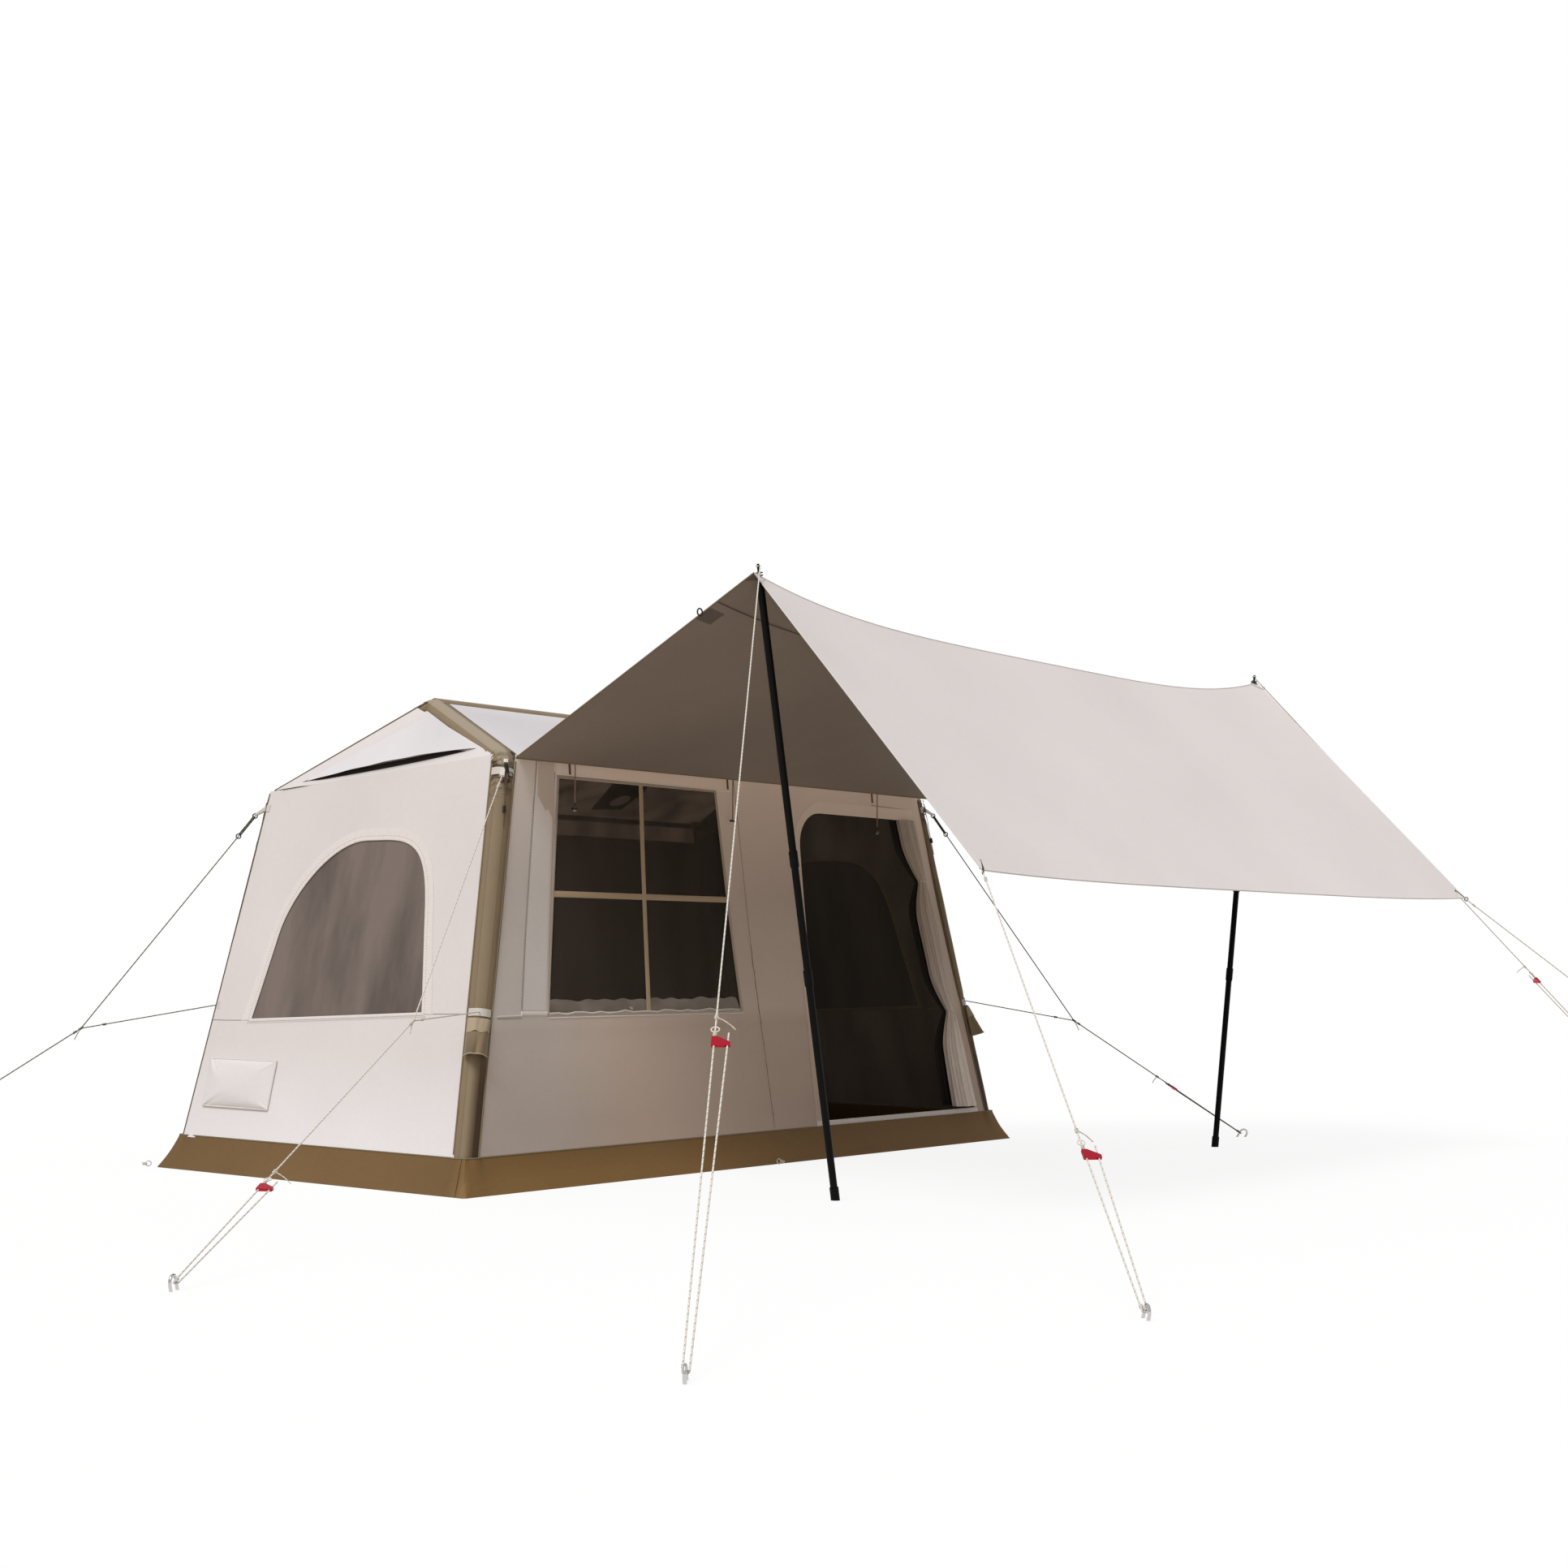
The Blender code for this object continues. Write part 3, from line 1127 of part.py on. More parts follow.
def make_guylines(cord_cloth, runner_metal, steel):
    lift = UP * STAKE_HOLD
    for side, prefix in ((-1, "near"), (1, "far")):
        _, top = pole_line(side)
        stake = Vector((top.x, top.y, 0)) + Vector((*POLE_STAKES[side], 0)) + lift
        start = loop_round_tip(side, stake)
        make_guyline(prefix + "_pole", start, stake, (cord_cloth, runner_metal, steel), POLE_RUNNER)
        corner = awning_rows()[-1][0][0 if side < 0 else 1]
        stake = Vector((corner.x, corner.y, 0)) + Vector((*AWNING_STAKES[side], 0)) + lift
        edge = corner - UP * CLOTH / 2
        start = [edge + (stake - edge).normalized() * GAP * 2]
        make_guyline(prefix + "_awning", start, stake, (cord_cloth, runner_metal, steel),
                     AWNING_RUNNERS[side])
    for side, end in ((-1, "left"), (1, "right")):
        for back, wall in ((False, "front"), (True, "back")):
            stake, fork, runner_distance = cabin_line(side, back)
            tip = placed(strap_tip(back), -side)
            up, out, across = leg_axes(back)
            sill = leg_point(SILL_STRAP_TOP - STRAP_HEIGHT / 2, back)
            sill = placed(sill + out * (BEAM_RADIUS + STRAP_THICKNESS / 2), -side)
            upper = tip + (fork - tip).normalized() * CORD_END * 2
            lower = sill + (fork - sill).normalized() * CORD_END * 2
            branches = [sweep([lower, fork], CORD_RADIUS, 8),
                        cylinder(fork - UP * KNOT_RADIUS, fork + UP * KNOT_RADIUS, KNOT_RADIUS, 8)]
            make_guyline(end + "_" + wall, [upper, fork], stake, (cord_cloth, runner_metal, steel),
                         runner_distance, branches)


def make_guyline(prefix, start, stake, materials, runner_distance, branches=()):
    """One cord with its runner and stake. start leads to the point where the straight strand begins."""
    anchor = start[-1]
    path, runner, main, across = guyline_paths(anchor, stake, runner_distance)
    cord = sweep(start[:-1] + path, CORD_RADIUS, 8)
    make_cord(prefix + "_guyline", [cord] + list(branches), materials[0])
    make_runner(prefix + "_runner", runner, main, across, materials[1])
    make_stake(prefix + "_stake", anchor, stake, materials[2])



def main():
    clear_scene()
    cloth = make_material("pale_cloth", (0.68, 0.65, 0.64), 0.75)
    skirt_cloth = make_material("brown_cloth", (0.14, 0.09, 0.04), 0.80)
    sleeve = make_material("tan_sleeve", (0.36, 0.28, 0.18), 0.70)
    mesh_cloth = make_material("window_mesh", (0.17, 0.14, 0.13), 0.85)
    dark_mesh = make_material("door_mesh", (0.02, 0.018, 0.015), 0.90)
    webbing = make_material("white_webbing", (0.75, 0.72, 0.66), 0.70)
    plastic = make_material("black_plastic", (0.02, 0.02, 0.02), 0.45)
    pole_metal = make_material("black_pole", (0.015, 0.015, 0.013), 0.35, 0.6)
    cord_cloth = make_material("guyline_cord", (0.72, 0.70, 0.64), 0.80)
    runner_metal = make_material("red_runner", (0.50, 0.01, 0.03), 0.30, 0.8)
    steel = make_material("stake_steel", (0.60, 0.60, 0.60), 0.25, 1.0)

    fat_arches = [make_cutter("arch_clearance_left", sweep(ARCH_PATH, BEAM_RADIUS + GAP, BEAM_SIDES)),
                  make_cutter("arch_clearance_right", flip_x(sweep(ARCH_PATH, BEAM_RADIUS + GAP, BEAM_SIDES), 1))]
    apex_plane = (ARCH_CORNERS[2], ALONG_X)
    ridge_end = meeting_point(shifted(ROOF_FRONT, -RIDGE_BEAM_INSET), shifted(ROOF_BACK, -RIDGE_BEAM_INSET),
                              apex_plane)
    ridge_path = [ridge_end, placed(ridge_end, -1)]
    fat_ridge = make_cutter("ridge_clearance", sweep(ridge_path, RIDGE_BEAM_RADIUS + GAP, BEAM_SIDES))
    make_groundsheet(skirt_cloth)
    make_skirt(skirt_cloth)
    make_arch("left_arch_beam", -1, sleeve)
    make_arch("right_arch_beam", 1, sleeve)
    ridge = make_object("ridge_beam", sweep(ridge_path, RIDGE_BEAM_RADIUS, BEAM_SIDES), sleeve, 40)
    combine(ridge, fat_arches)
    make_cabin(cloth, mesh_cloth, sleeve, skirt_cloth, {"arches": fat_arches, "ridge": [fat_ridge]})
    make_curtain("door_curtain", cloth)
    make_curtain("door_mesh_curtain", dark_mesh, MESH_CURTAIN_SHARE, True)
    for name, side in (("left", -1), ("right", 1)):
        make_valve_cap(name + "_valve_cap", side, plastic)
        make_pocket(name + "_valve_pocket", side, sleeve)
        for back, wall in ((False, "front"), (True, "back")):
            make_eave_strap(name + "_" + wall + "_eave_strap", side, back, webbing)
    high_right, high_left = wall_outline("window")[2:]
    for name, share in zip(("left", "right"), TIE_SHARES):
        make_tie(name + "_window_tie", high_left.lerp(high_right, share).x, plastic)
    make_tie("door_tie", DOOR_TIE_X, plastic)
    make_awning(cloth)
    make_pole("near_pole", -1, pole_metal)
    make_pole("far_pole", 1, pole_metal)
    make_guylines(cord_cloth, runner_metal, steel)
    for obj in list(bpy.data.objects):
        if obj.display_type == "WIRE":
            bpy.data.objects.remove(obj, do_unlink=True)


main()
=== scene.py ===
import json
from math import atan2, ceil, cos, hypot, pi, radians, sin, sqrt

import bmesh
import bpy
from mathutils import Matrix, Vector, noise
from mathutils.geometry import delaunay_2d_cdt

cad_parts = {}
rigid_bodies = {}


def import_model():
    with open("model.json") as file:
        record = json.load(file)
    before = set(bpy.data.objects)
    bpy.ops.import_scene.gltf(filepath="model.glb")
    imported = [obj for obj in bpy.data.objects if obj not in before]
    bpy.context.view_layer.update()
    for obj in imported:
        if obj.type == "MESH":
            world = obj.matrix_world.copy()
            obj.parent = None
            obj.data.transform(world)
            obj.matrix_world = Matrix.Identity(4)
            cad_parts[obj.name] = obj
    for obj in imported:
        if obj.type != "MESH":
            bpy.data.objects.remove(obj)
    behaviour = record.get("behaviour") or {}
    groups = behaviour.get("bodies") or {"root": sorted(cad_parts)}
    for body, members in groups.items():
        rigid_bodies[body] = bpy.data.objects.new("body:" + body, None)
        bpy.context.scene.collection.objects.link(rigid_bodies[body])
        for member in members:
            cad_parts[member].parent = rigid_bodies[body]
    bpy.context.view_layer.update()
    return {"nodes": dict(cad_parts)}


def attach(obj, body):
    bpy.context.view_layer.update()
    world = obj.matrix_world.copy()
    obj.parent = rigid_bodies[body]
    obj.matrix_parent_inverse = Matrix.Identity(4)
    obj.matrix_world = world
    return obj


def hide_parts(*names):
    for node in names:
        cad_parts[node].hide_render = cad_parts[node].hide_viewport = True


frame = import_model()
print("frame loaded:", len(frame["nodes"]), "nodes")

alongX = Vector((1, 0, 0))
alongY = Vector((0, 1, 0))
upward = Vector((0, 0, 1))


# Planes: a point on the plane and its outward normal
def planeThrough(p, q, r):
    inside = Vector((0, 0, 0.9))
    normal = (q - p).cross(r - p).normalized()
    return (p, -normal if normal.dot(inside - p) > 0 else normal)


def shifted(plane, distance):
    return (plane[0] + plane[1] * distance, plane[1])


def meeting(a, b, c):
    matrix = Matrix((a[1], b[1], c[1]))
    return matrix.inverted() @ Vector([plane[1].dot(plane[0]) for plane in (a, b, c)])


def levelAt(z):
    return (Vector((0, 0, z)), upward)


def flipX(point):
    return Vector((-point.x, point.y, point.z))


def smoothStep(low, high, value):
    share = min(1.0, max(0.0, (value - low) / (high - low)))
    return share * share * (3 - 2 * share)


# The cabin's main sizes, the same as in the frame
cabin = {
    "halfLength": 1.9, "halfWidth": 0.975, "skirtHeight": 0.14, "skirtFlare": 0.07,
    "eaveFront": 1.75, "eaveBack": 1.65, "ridge": 2.04,
    "eaveSideInset": 0.42, "eaveFrontInset": 0.25, "eaveBackInset": 0.20,
    "ridgeSideInset": 0.60, "ridgeBackset": 0.90,
    "beamRadius": 0.052, "beamInset": 0.049, "beamBend": 0.056,
    "ridgeBeamRadius": 0.042, "ridgeBeamInset": 0.039, "eaveLip": 0.045, "cloth": 0.0025,
}
halfLength, halfWidth = cabin["halfLength"], cabin["halfWidth"]
beamRadius, beamInset = cabin["beamRadius"], cabin["beamInset"]
frontFoot = Vector((0, -halfWidth + cabin["skirtFlare"], cabin["skirtHeight"]))
backFoot = Vector((0, halfWidth - cabin["skirtFlare"], cabin["skirtHeight"]))
sideFoot = Vector((-halfLength + cabin["skirtFlare"], 0, cabin["skirtHeight"]))
eaveSide = Vector((-halfLength + cabin["eaveSideInset"], 0, cabin["eaveFront"]))
eaveFront = Vector((eaveSide.x, -halfWidth + cabin["eaveFrontInset"], cabin["eaveFront"]))
frontPlane = planeThrough(frontFoot, frontFoot + alongX, eaveFront)
leftPlane = planeThrough(sideFoot, sideFoot + alongY, eaveSide)
backTop = Vector((0, halfWidth - cabin["eaveBackInset"], cabin["eaveBack"]))
backPlane = planeThrough(backFoot, backFoot + alongX, backTop)
eaveBack = meeting(leftPlane, backPlane, levelAt(cabin["eaveBack"]))
ridgeEnd = Vector((-halfLength + cabin["ridgeSideInset"], -halfWidth + cabin["ridgeBackset"], cabin["ridge"]))
frontSlope = planeThrough(eaveFront, eaveFront + alongX, ridgeEnd)
backSlope = planeThrough(eaveBack, eaveBack + alongX, ridgeEnd)
gablePlane = planeThrough(eaveFront, eaveBack, ridgeEnd)


# Finishes. A socket with the operators overloaded, so that maths on it adds Math nodes
class Wire:
    def __init__(self, kit, socket):
        self.kit = kit
        self.socket = socket

    def math(self, operation, other=None, swapped=False):
        pair = (other, self) if swapped else (self, other)
        node = self.kit.add("ShaderNodeMath", {"operation": operation}, {0: pair[0], 1: pair[1]})
        return Wire(self.kit, node.outputs[0])

    def __add__(self, other):
        return self.math("ADD", other)

    def __sub__(self, other):
        return self.math("SUBTRACT", other)

    def __rsub__(self, other):
        return self.math("SUBTRACT", other, True)

    def __mul__(self, other):
        return self.math("MULTIPLY", other)

    __radd__, __rmul__ = __add__, __mul__

    def above(self, edge):
        return self.math("GREATER_THAN", edge)

    def abs(self):
        return self.math("ABSOLUTE")

    def sin(self):
        return self.math("SINE")

    def clamp(self):
        return self.math("MINIMUM", 1.0).math("MAXIMUM", 0.0)


class Finish:
    # a material under construction: the values and the textures that its shader gets
    def __init__(self, name, color, roughness, metallic=0.0, sheen=0.0):
        self.material = bpy.data.materials.new(name)
        self.material.use_nodes = True
        self.tree = self.material.node_tree
        self.shader = self.tree.nodes["Principled BSDF"]
        self.feed(self.shader.inputs["Base Color"], color)
        self.feed(self.shader.inputs["Roughness"], roughness)
        self.shader.inputs["Metallic"].default_value = metallic
        self.shader.inputs["Sheen Weight"].default_value = sheen
        self.shader.inputs["Specular IOR Level"].default_value = 0.3

    def feed(self, socket, value):
        if value is None:
            return
        if isinstance(value, Wire):
            value = value.socket
        if isinstance(value, bpy.types.NodeSocket):
            self.tree.links.new(value, socket)
        elif isinstance(value, (tuple, list)) and len(value) == 3 and socket.type == "RGBA":
            socket.default_value = (*value, 1)
        else:
            socket.default_value = value

    def add(self, kind, settings=None, inputs=None):
        node = self.tree.nodes.new(kind)
        for key, value in (settings or {}).items():
            if key == "stops":
                ramp = node.color_ramp
                while len(ramp.elements) < len(value):
                    ramp.elements.new(0.5)
                for element, (place, shade) in zip(ramp.elements, value):
                    element.position = place
                    element.color = (*shade, 1) if isinstance(shade, tuple) else (shade, shade, shade, 1)
            else:
                setattr(node, key, value)
        for key, value in (inputs or {}).items():
            self.feed(node.inputs[key], value)
        return node

    def axes(self, kind="Object"):
        split = self.add("ShaderNodeSeparateXYZ", None, {0: self.add("ShaderNodeTexCoord").outputs[kind]})
        return [Wire(self, out) for out in split.outputs]

    def cloud(self, scale, detail, roughness=0.5, stretch=(1, 1, 1), turn=(0, 0, 0)):
        # soft noise in the piece's own space
        source = self.add("ShaderNodeTexCoord").outputs["Object"]
        mapped = self.add("ShaderNodeMapping", None, {"Vector": source, "Scale": stretch, "Rotation": turn})
        node = self.add("ShaderNodeTexNoise", None, {
            "Vector": mapped.outputs[0], "Scale": scale, "Detail": detail, "Roughness": roughness})
        return Wire(self, node.outputs["Fac"])

    def ramp(self, value, stops):
        return Wire(self, self.add("ShaderNodeValToRGB", {"stops": stops}, {0: value}).outputs[0])

    def blend(self, share, first, second, mode="MIX"):
        node = self.add("ShaderNodeMix", {"data_type": "RGBA", "blend_type": mode},
                        {0: share, 6: first, 7: second})
        return Wire(self, node.outputs[2])

    def color(self, value):
        self.feed(self.shader.inputs["Base Color"], value)

    def tint(self, share, color):
        # multiply what the base colour is so far
        below = self.shader.inputs["Base Color"].links[0].from_socket
        self.color(self.blend(share, below, color, "MULTIPLY"))
        return self

    def glow(self, share, color):
        # painted light: an emission standing in for light that passes through the cloth
        self.feed(self.shader.inputs["Emission Color"], self.blend(share, (0, 0, 0), color))
        self.shader.inputs["Emission Strength"].default_value = 1.0
        return self

    def give(self, **inputs):
        for key, value in inputs.items():
            self.feed(self.shader.inputs[key.replace("_", " ")], value)
        return self

    def bump(self, height, distance, strength):
        # on top of the bumps so far
        last = self.shader.inputs["Normal"].links
        below = last[0].from_socket if last else None
        node = self.add("ShaderNodeBump", None, {"Height": height, "Distance": distance,
                                                 "Strength": strength, "Normal": below})
        self.feed(self.shader.inputs["Normal"], node.outputs[0])
        return self


def shade(color, share):
    return tuple(min(1.0, c * share) for c in color)


def weave(kit, period):
    # threads over and under one another, 0 to 1
    across, depth, along = [(axis * (2 * pi / period)).sin() for axis in kit.axes()]
    return across * along * 0.5 + 0.5 + depth * 0.25


def clothFinish(name, color, roughness, mottle, crease, period=0.0024, sheen=0.15):
    kit = Finish(name, color, roughness, 0.0, sheen)
    soft = kit.cloud(1.3, 3)
    fine = kit.cloud(46, 3)
    tone = kit.blend(kit.ramp(soft * 0.75 + fine * 0.25, [(0.35, 0.0), (0.68, 1.0)]),
                     shade(color, 1 - mottle), shade(color, 1 + mottle))
    kit.give(Base_Color=tone, Roughness=kit.cloud(30, 2) * 0.10 + (roughness - 0.05))
    kit.bump(weave(kit, period), 0.0004, 0.35)
    lines = kit.cloud(2.2, 4, 0.45, stretch=(1.0, 1.0, 0.35), turn=(0.2, 0.1, 0.0))
    kit.bump(lines, 0.012 * crease, 0.5)
    return kit


# Meshes
home = {}


def placed(name, mesh, body, slot):
    # every piece comes into the scene here
    obj = bpy.data.objects.new(name, mesh)
    bpy.context.scene.collection.objects.link(obj)
    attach(obj, body)
    home[name] = (body, slot)
    return obj


def faceOut(obj, bevel=0.0):
    # turn the faces outward, and round the edges where a width is given
    bm = bmesh.new()
    bm.from_mesh(obj.data)
    bmesh.ops.recalc_face_normals(bm, faces=bm.faces)
    if bevel:
        bmesh.ops.bevel(bm, geom=bm.edges[:], offset=bevel, segments=2, affect="EDGES")
    bm.to_mesh(obj.data)
    bm.free()


def newPiece(name, verts, faces, finishes, body, slot, faceFinish=None, uvs=None, smooth=50):
    mesh = bpy.data.meshes.new(name)
    mesh.from_pydata([tuple(v) for v in verts], [], faces)
    for kit in finishes if isinstance(finishes, (list, tuple)) else [finishes]:
        mesh.materials.append(kit.material)
    if faceFinish:
        mesh.polygons.foreach_set("material_index", faceFinish)
    if uvs:
        layer = mesh.uv_layers.new(name="UVMap")
        layer.data.foreach_set("uv", [value for corner in uvs for value in corner])
    mesh.shade_smooth()
    mesh.set_sharp_from_angle(angle=radians(smooth))
    mesh.validate()
    return placed(name, mesh, body, slot)


def twin(obj):
    # the same piece at the cabin's other end
    body, slot = home[obj.name]
    mesh = obj.data.copy()
    bm = bmesh.new()
    bm.from_mesh(mesh)
    for vert in bm.verts:
        vert.co.x = -vert.co.x
    bmesh.ops.reverse_faces(bm, faces=bm.faces)
    bm.to_mesh(mesh)
    bm.free()
    mesh.name = obj.name.replace("left_", "right_")
    return placed(mesh.name, mesh, body.replace("left_", "right_"), slot)


def bothSides(obj, node):
    # the piece and its mirror image take the left and the right node
    pair = (obj, twin(obj))
    for piece, side in zip(pair, ("left_", "right_")):
        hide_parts(side + node)
    return pair


def framesAlong(points):
    # a tangent and two cross directions at each point, carried along without twisting
    tangents = []
    for k in range(len(points)):
        before, after = points[max(0, k - 1)], points[min(len(points) - 1, k + 1)]
        tangents.append((after - before).normalized())
    start = tangents[0].orthogonal().normalized()
    found = []
    for k, tangent in enumerate(tangents):
        if k:
            start = tangents[k - 1].rotation_difference(tangent) @ start
        side = (start - tangent * start.dot(tangent)).normalized()
        found.append((points[k], tangent, side, tangent.cross(side)))
        start = side
    return found


def tubeMesh(points, radius, sides, reach=None, first=None):
    # verts, faces and uvs of a closed-ended tube. reach(row, angle) scales the radius, first is where it starts
    frames = framesAlong(points)
    if first is not None:
        turn = atan2(first.dot(frames[0][3]), first.dot(frames[0][2]))
        frames = [(p, t, a * cos(turn) + b * sin(turn), b * cos(turn) - a * sin(turn)) for p, t, a, b in frames]
    verts, faces, uvs, run = [], [], [], [0.0]
    for k in range(1, len(points)):
        run.append(run[-1] + (points[k] - points[k - 1]).length)
    for k, (point, _, a, b) in enumerate(frames):
        for s in range(sides):
            angle = 2 * pi * s / sides
            size = radius * (reach(k, angle) if reach else 1.0)
            verts.append(point + (a * cos(angle) + b * sin(angle)) * size)
    for k in range(len(points) - 1):
        for s in range(sides):
            t = (s + 1) % sides
            faces.append((k * sides + s, k * sides + t, (k + 1) * sides + t, (k + 1) * sides + s))
            uvs += [(s / sides, run[k]), ((s + 1) / sides, run[k]), ((s + 1) / sides, run[k + 1]),
                    (s / sides, run[k + 1])]
    last = (len(points) - 1) * sides
    faces += [tuple(range(sides))[::-1], tuple(range(last, last + sides))]
    uvs += [(0.5, run[0])] * sides + [(0.5, run[-1])] * sides
    return verts, faces, uvs


def tube(name, points, radius, finish, sides, body, slot, reach=None, first=None):
    verts, faces, uvs = tubeMesh(points, radius, sides, reach, first)
    return newPiece(name, verts, faces, finish, body, slot, None, uvs)


def resample(points, gap):
    # the same path with points a given distance apart
    made = [points[0].copy()]
    for a, b in zip(points, points[1:]):
        count = max(1, round((b - a).length / gap))
        made += [a.lerp(b, (k + 1) / count) for k in range(count)]
    return made


def rounded(corners, radius, steps):
    # a path through corners with each bend rounded to a radius
    made = [corners[0]]
    for a, b, c in zip(corners, corners[1:], corners[2:]):
        into, out = (b - a).normalized(), (c - b).normalized()
        half = into.angle(out) / 2
        cut = radius * sin(half) / cos(half)
        normal = (out - into).normalized()
        centre = b + normal * (radius / cos(half))
        start = b - into * cut
        first = start - centre
        axis = into.cross(out).normalized()
        for step in range(steps + 1):
            made.append(centre + Matrix.Rotation(2 * half * step / steps, 3, axis) @ first)
    return made + [corners[-1]]


def joined(name, parts, finish, body, slot):
    # several (verts, faces, uvs) shells in one piece
    verts, faces, uvs = [], [], []
    for part in parts:
        base = len(verts)
        verts += part[0]
        faces += [tuple(base + k for k in face) for face in part[1]]
        uvs += part[2] if len(part) > 2 and part[2] else [(0, 0)] * sum(len(face) for face in part[1])
    return newPiece(name, verts, faces, finish, body, slot, None, uvs)


def ribbonMesh(points, normal, width, height):
    # a flat strip with softly rounded edges, lying on a surface
    edge = 0.18
    profile = [(-0.5, 0.0), (-0.5 + edge * 0.3, 0.75), (-0.5 + edge, 1.0), (0.5 - edge, 1.0),
               (0.5 - edge * 0.3, 0.75), (0.5, 0.0)]
    count = len(profile)
    verts, faces, uvs, run = [], [], [], [0.0]
    for k, point in enumerate(points):
        before, after = points[max(0, k - 1)], points[min(len(points) - 1, k + 1)]
        across = (after - before).normalized().cross(normal).normalized()
        verts += [point + across * (a * width) + normal * (b * height) for a, b in profile]
        if k:
            run.append(run[-1] + (point - points[k - 1]).length)
    for k in range(len(points) - 1):
        for s in range(count):
            t = (s + 1) % count
            faces.append((k * count + t, k * count + s, (k + 1) * count + s, (k + 1) * count + t))
            uvs += [(profile[t][0] * width, run[k]), (profile[s][0] * width, run[k]),
                    (profile[s][0] * width, run[k + 1]), (profile[t][0] * width, run[k + 1])]
    last = (len(points) - 1) * count
    faces += [tuple(range(count)), tuple(range(last, last + count))[::-1]]
    uvs += [(0, run[0])] * count + [(0, run[-1])] * count
    return verts, faces, uvs


def spotOnEdge(polygon, u, v):
    best = 9.0
    for (au, av), (bu, bv) in zip(polygon, polygon[1:] + polygon[:1]):
        du, dv = bu - au, bv - av
        span = du * du + dv * dv
        share = 0.0 if span == 0 else min(1.0, max(0.0, ((u - au) * du + (v - av) * dv) / span))
        best = min(best, hypot(u - au - du * share, v - av - dv * share))
    return best


def insideOf(polygon, u, v):
    found = False
    for (au, av), (bu, bv) in zip(polygon, polygon[1:] + polygon[:1]):
        if (av > v) != (bv > v) and u < (bu - au) * (v - av) / (bv - av) + au:
            found = not found
    return found


class Surface:
    # a wall or slope: u is level, in metres, z the height, lift the distance out from the cloth's outer face
    def __init__(self, plane, across, bend=None, over=None):
        self.over = over
        self.normal = plane[1]
        self.across = across
        self.up = plane[1].cross(across)
        if self.up.z < 0:
            self.up = -self.up
        self.origin = plane[0] + self.up * (-plane[0].z / self.up.z)
        self.origin -= across * self.origin.dot(across)
        self.bend = bend

    def spot(self, point):
        # the (u, z) of a point near the plane
        flat = point - self.normal * (point - self.origin).dot(self.normal)
        return (flat - self.origin).dot(self.across), flat.z

    def at(self, u, z, lift=0.0):
        point = self.origin + self.across * u + self.up * (z / self.up.z)
        give = self.bend(u, z) if self.bend else 0.0
        if self.over:
            # the cloth passes over the beam behind this edge
            give += 0.0056 * smoothStep(0.115, 0.08, (self.over[0] - point).dot(self.over[1]))
        return point + self.normal * (lift + give)

    def path(self, spots, lift=0.0, gap=0.02):
        line = []
        for (au, az), (bu, bz) in zip(spots, spots[1:]):
            count = max(1, ceil(hypot(bu - au, bz - az) / gap))
            line += [self.at(au + (bu - au) * k / count, az + (bz - az) * k / count, lift) for k in range(count)]
        return line + [self.at(*spots[-1], lift)]


def fillOutline(outline, holes, gap):
    # triangles over an outline with holes, from a regular grid between the edges
    points, edges = [], []
    for loop in [outline] + holes:
        first = len(points)
        for (au, av), (bu, bv) in zip(loop, loop[1:] + loop[:1]):
            count = max(1, round(hypot(bu - au, bv - av) / gap))
            points += [(au + (bu - au) * k / count, av + (bv - av) * k / count) for k in range(count)]
        loopEnd = len(points)
        edges += [(k, k + 1 if k + 1 < loopEnd else first) for k in range(first, loopEnd)]
    lowU, highU = min(p[0] for p in outline), max(p[0] for p in outline)
    lowV, highV = min(p[1] for p in outline), max(p[1] for p in outline)
    rows = round((highV - lowV) / (gap * 0.87))
    columns = round((highU - lowU) / gap)
    for row in range(1, rows):
        v = lowV + (highV - lowV) * row / rows
        for column in range(columns + 1):
            u = lowU + (highU - lowU) * (column + 0.5 * (row % 2)) / columns
            if not insideOf(outline, u, v) or any(insideOf(hole, u, v) for hole in holes):
                continue
            if spotOnEdge(outline, u, v) < gap * 0.5 or any(spotOnEdge(hole, u, v) < gap * 0.5 for hole in holes):
                continue
            points.append((u, v))
    found = delaunay_2d_cdt([Vector(p) for p in points], edges, [], 1, 1e-6)
    spots = [tuple(p) for p in found[0]]
    faces = []
    for face in found[2]:
        cu = sum(spots[k][0] for k in face) / len(face)
        cv = sum(spots[k][1] for k in face) / len(face)
        if insideOf(outline, cu, cv) and not any(insideOf(hole, cu, cv) for hole in holes):
            faces.append(tuple(face))
    return spots, faces


def clothPanel(name, surface, outline, finishes, holes, gap, thick, lift=0.0, body="root", slot="pale_cloth"):
    # a sheet of cloth cut to an outline of (u, z), with an outer and an inner face
    slope = surface.up.z
    flat = [[(u, z / slope) for u, z in loop] for loop in [outline] + list(holes)]
    spots, faces = fillOutline(flat[0], flat[1:], gap)
    verts, count = [], len(spots)
    for depth in (0.0, thick):
        verts += [surface.at(u, v * slope, lift - depth) for u, v in spots]
    made, kinds, loose = [], [], {}
    for face in faces:
        a, b, c = (verts[k] for k in face[:3])
        if (b - a).cross(c - a).dot(surface.normal) < 0:
            face = face[::-1]
        made.append(face)
        kinds.append(0)
        for s, t in zip(face, face[1:] + face[:1]):
            if (t, s) in loose:
                del loose[(t, s)]
            else:
                loose[(s, t)] = True
    inner = [tuple(k + count for k in face[::-1]) for face in made]
    kinds += [1] * len(inner)
    rims = [(t, s, s + count, t + count) for s, t in loose]
    kinds += [0] * len(rims)
    return newPiece(name, verts, made + inner + rims, finishes, body, slot, kinds, None, 40)


def gridOf(levels, columns, at):
    # rows of points, each by at(level, column)
    return [[at(level, column) for column in range(columns + 1)] for level in range(levels + 1)]


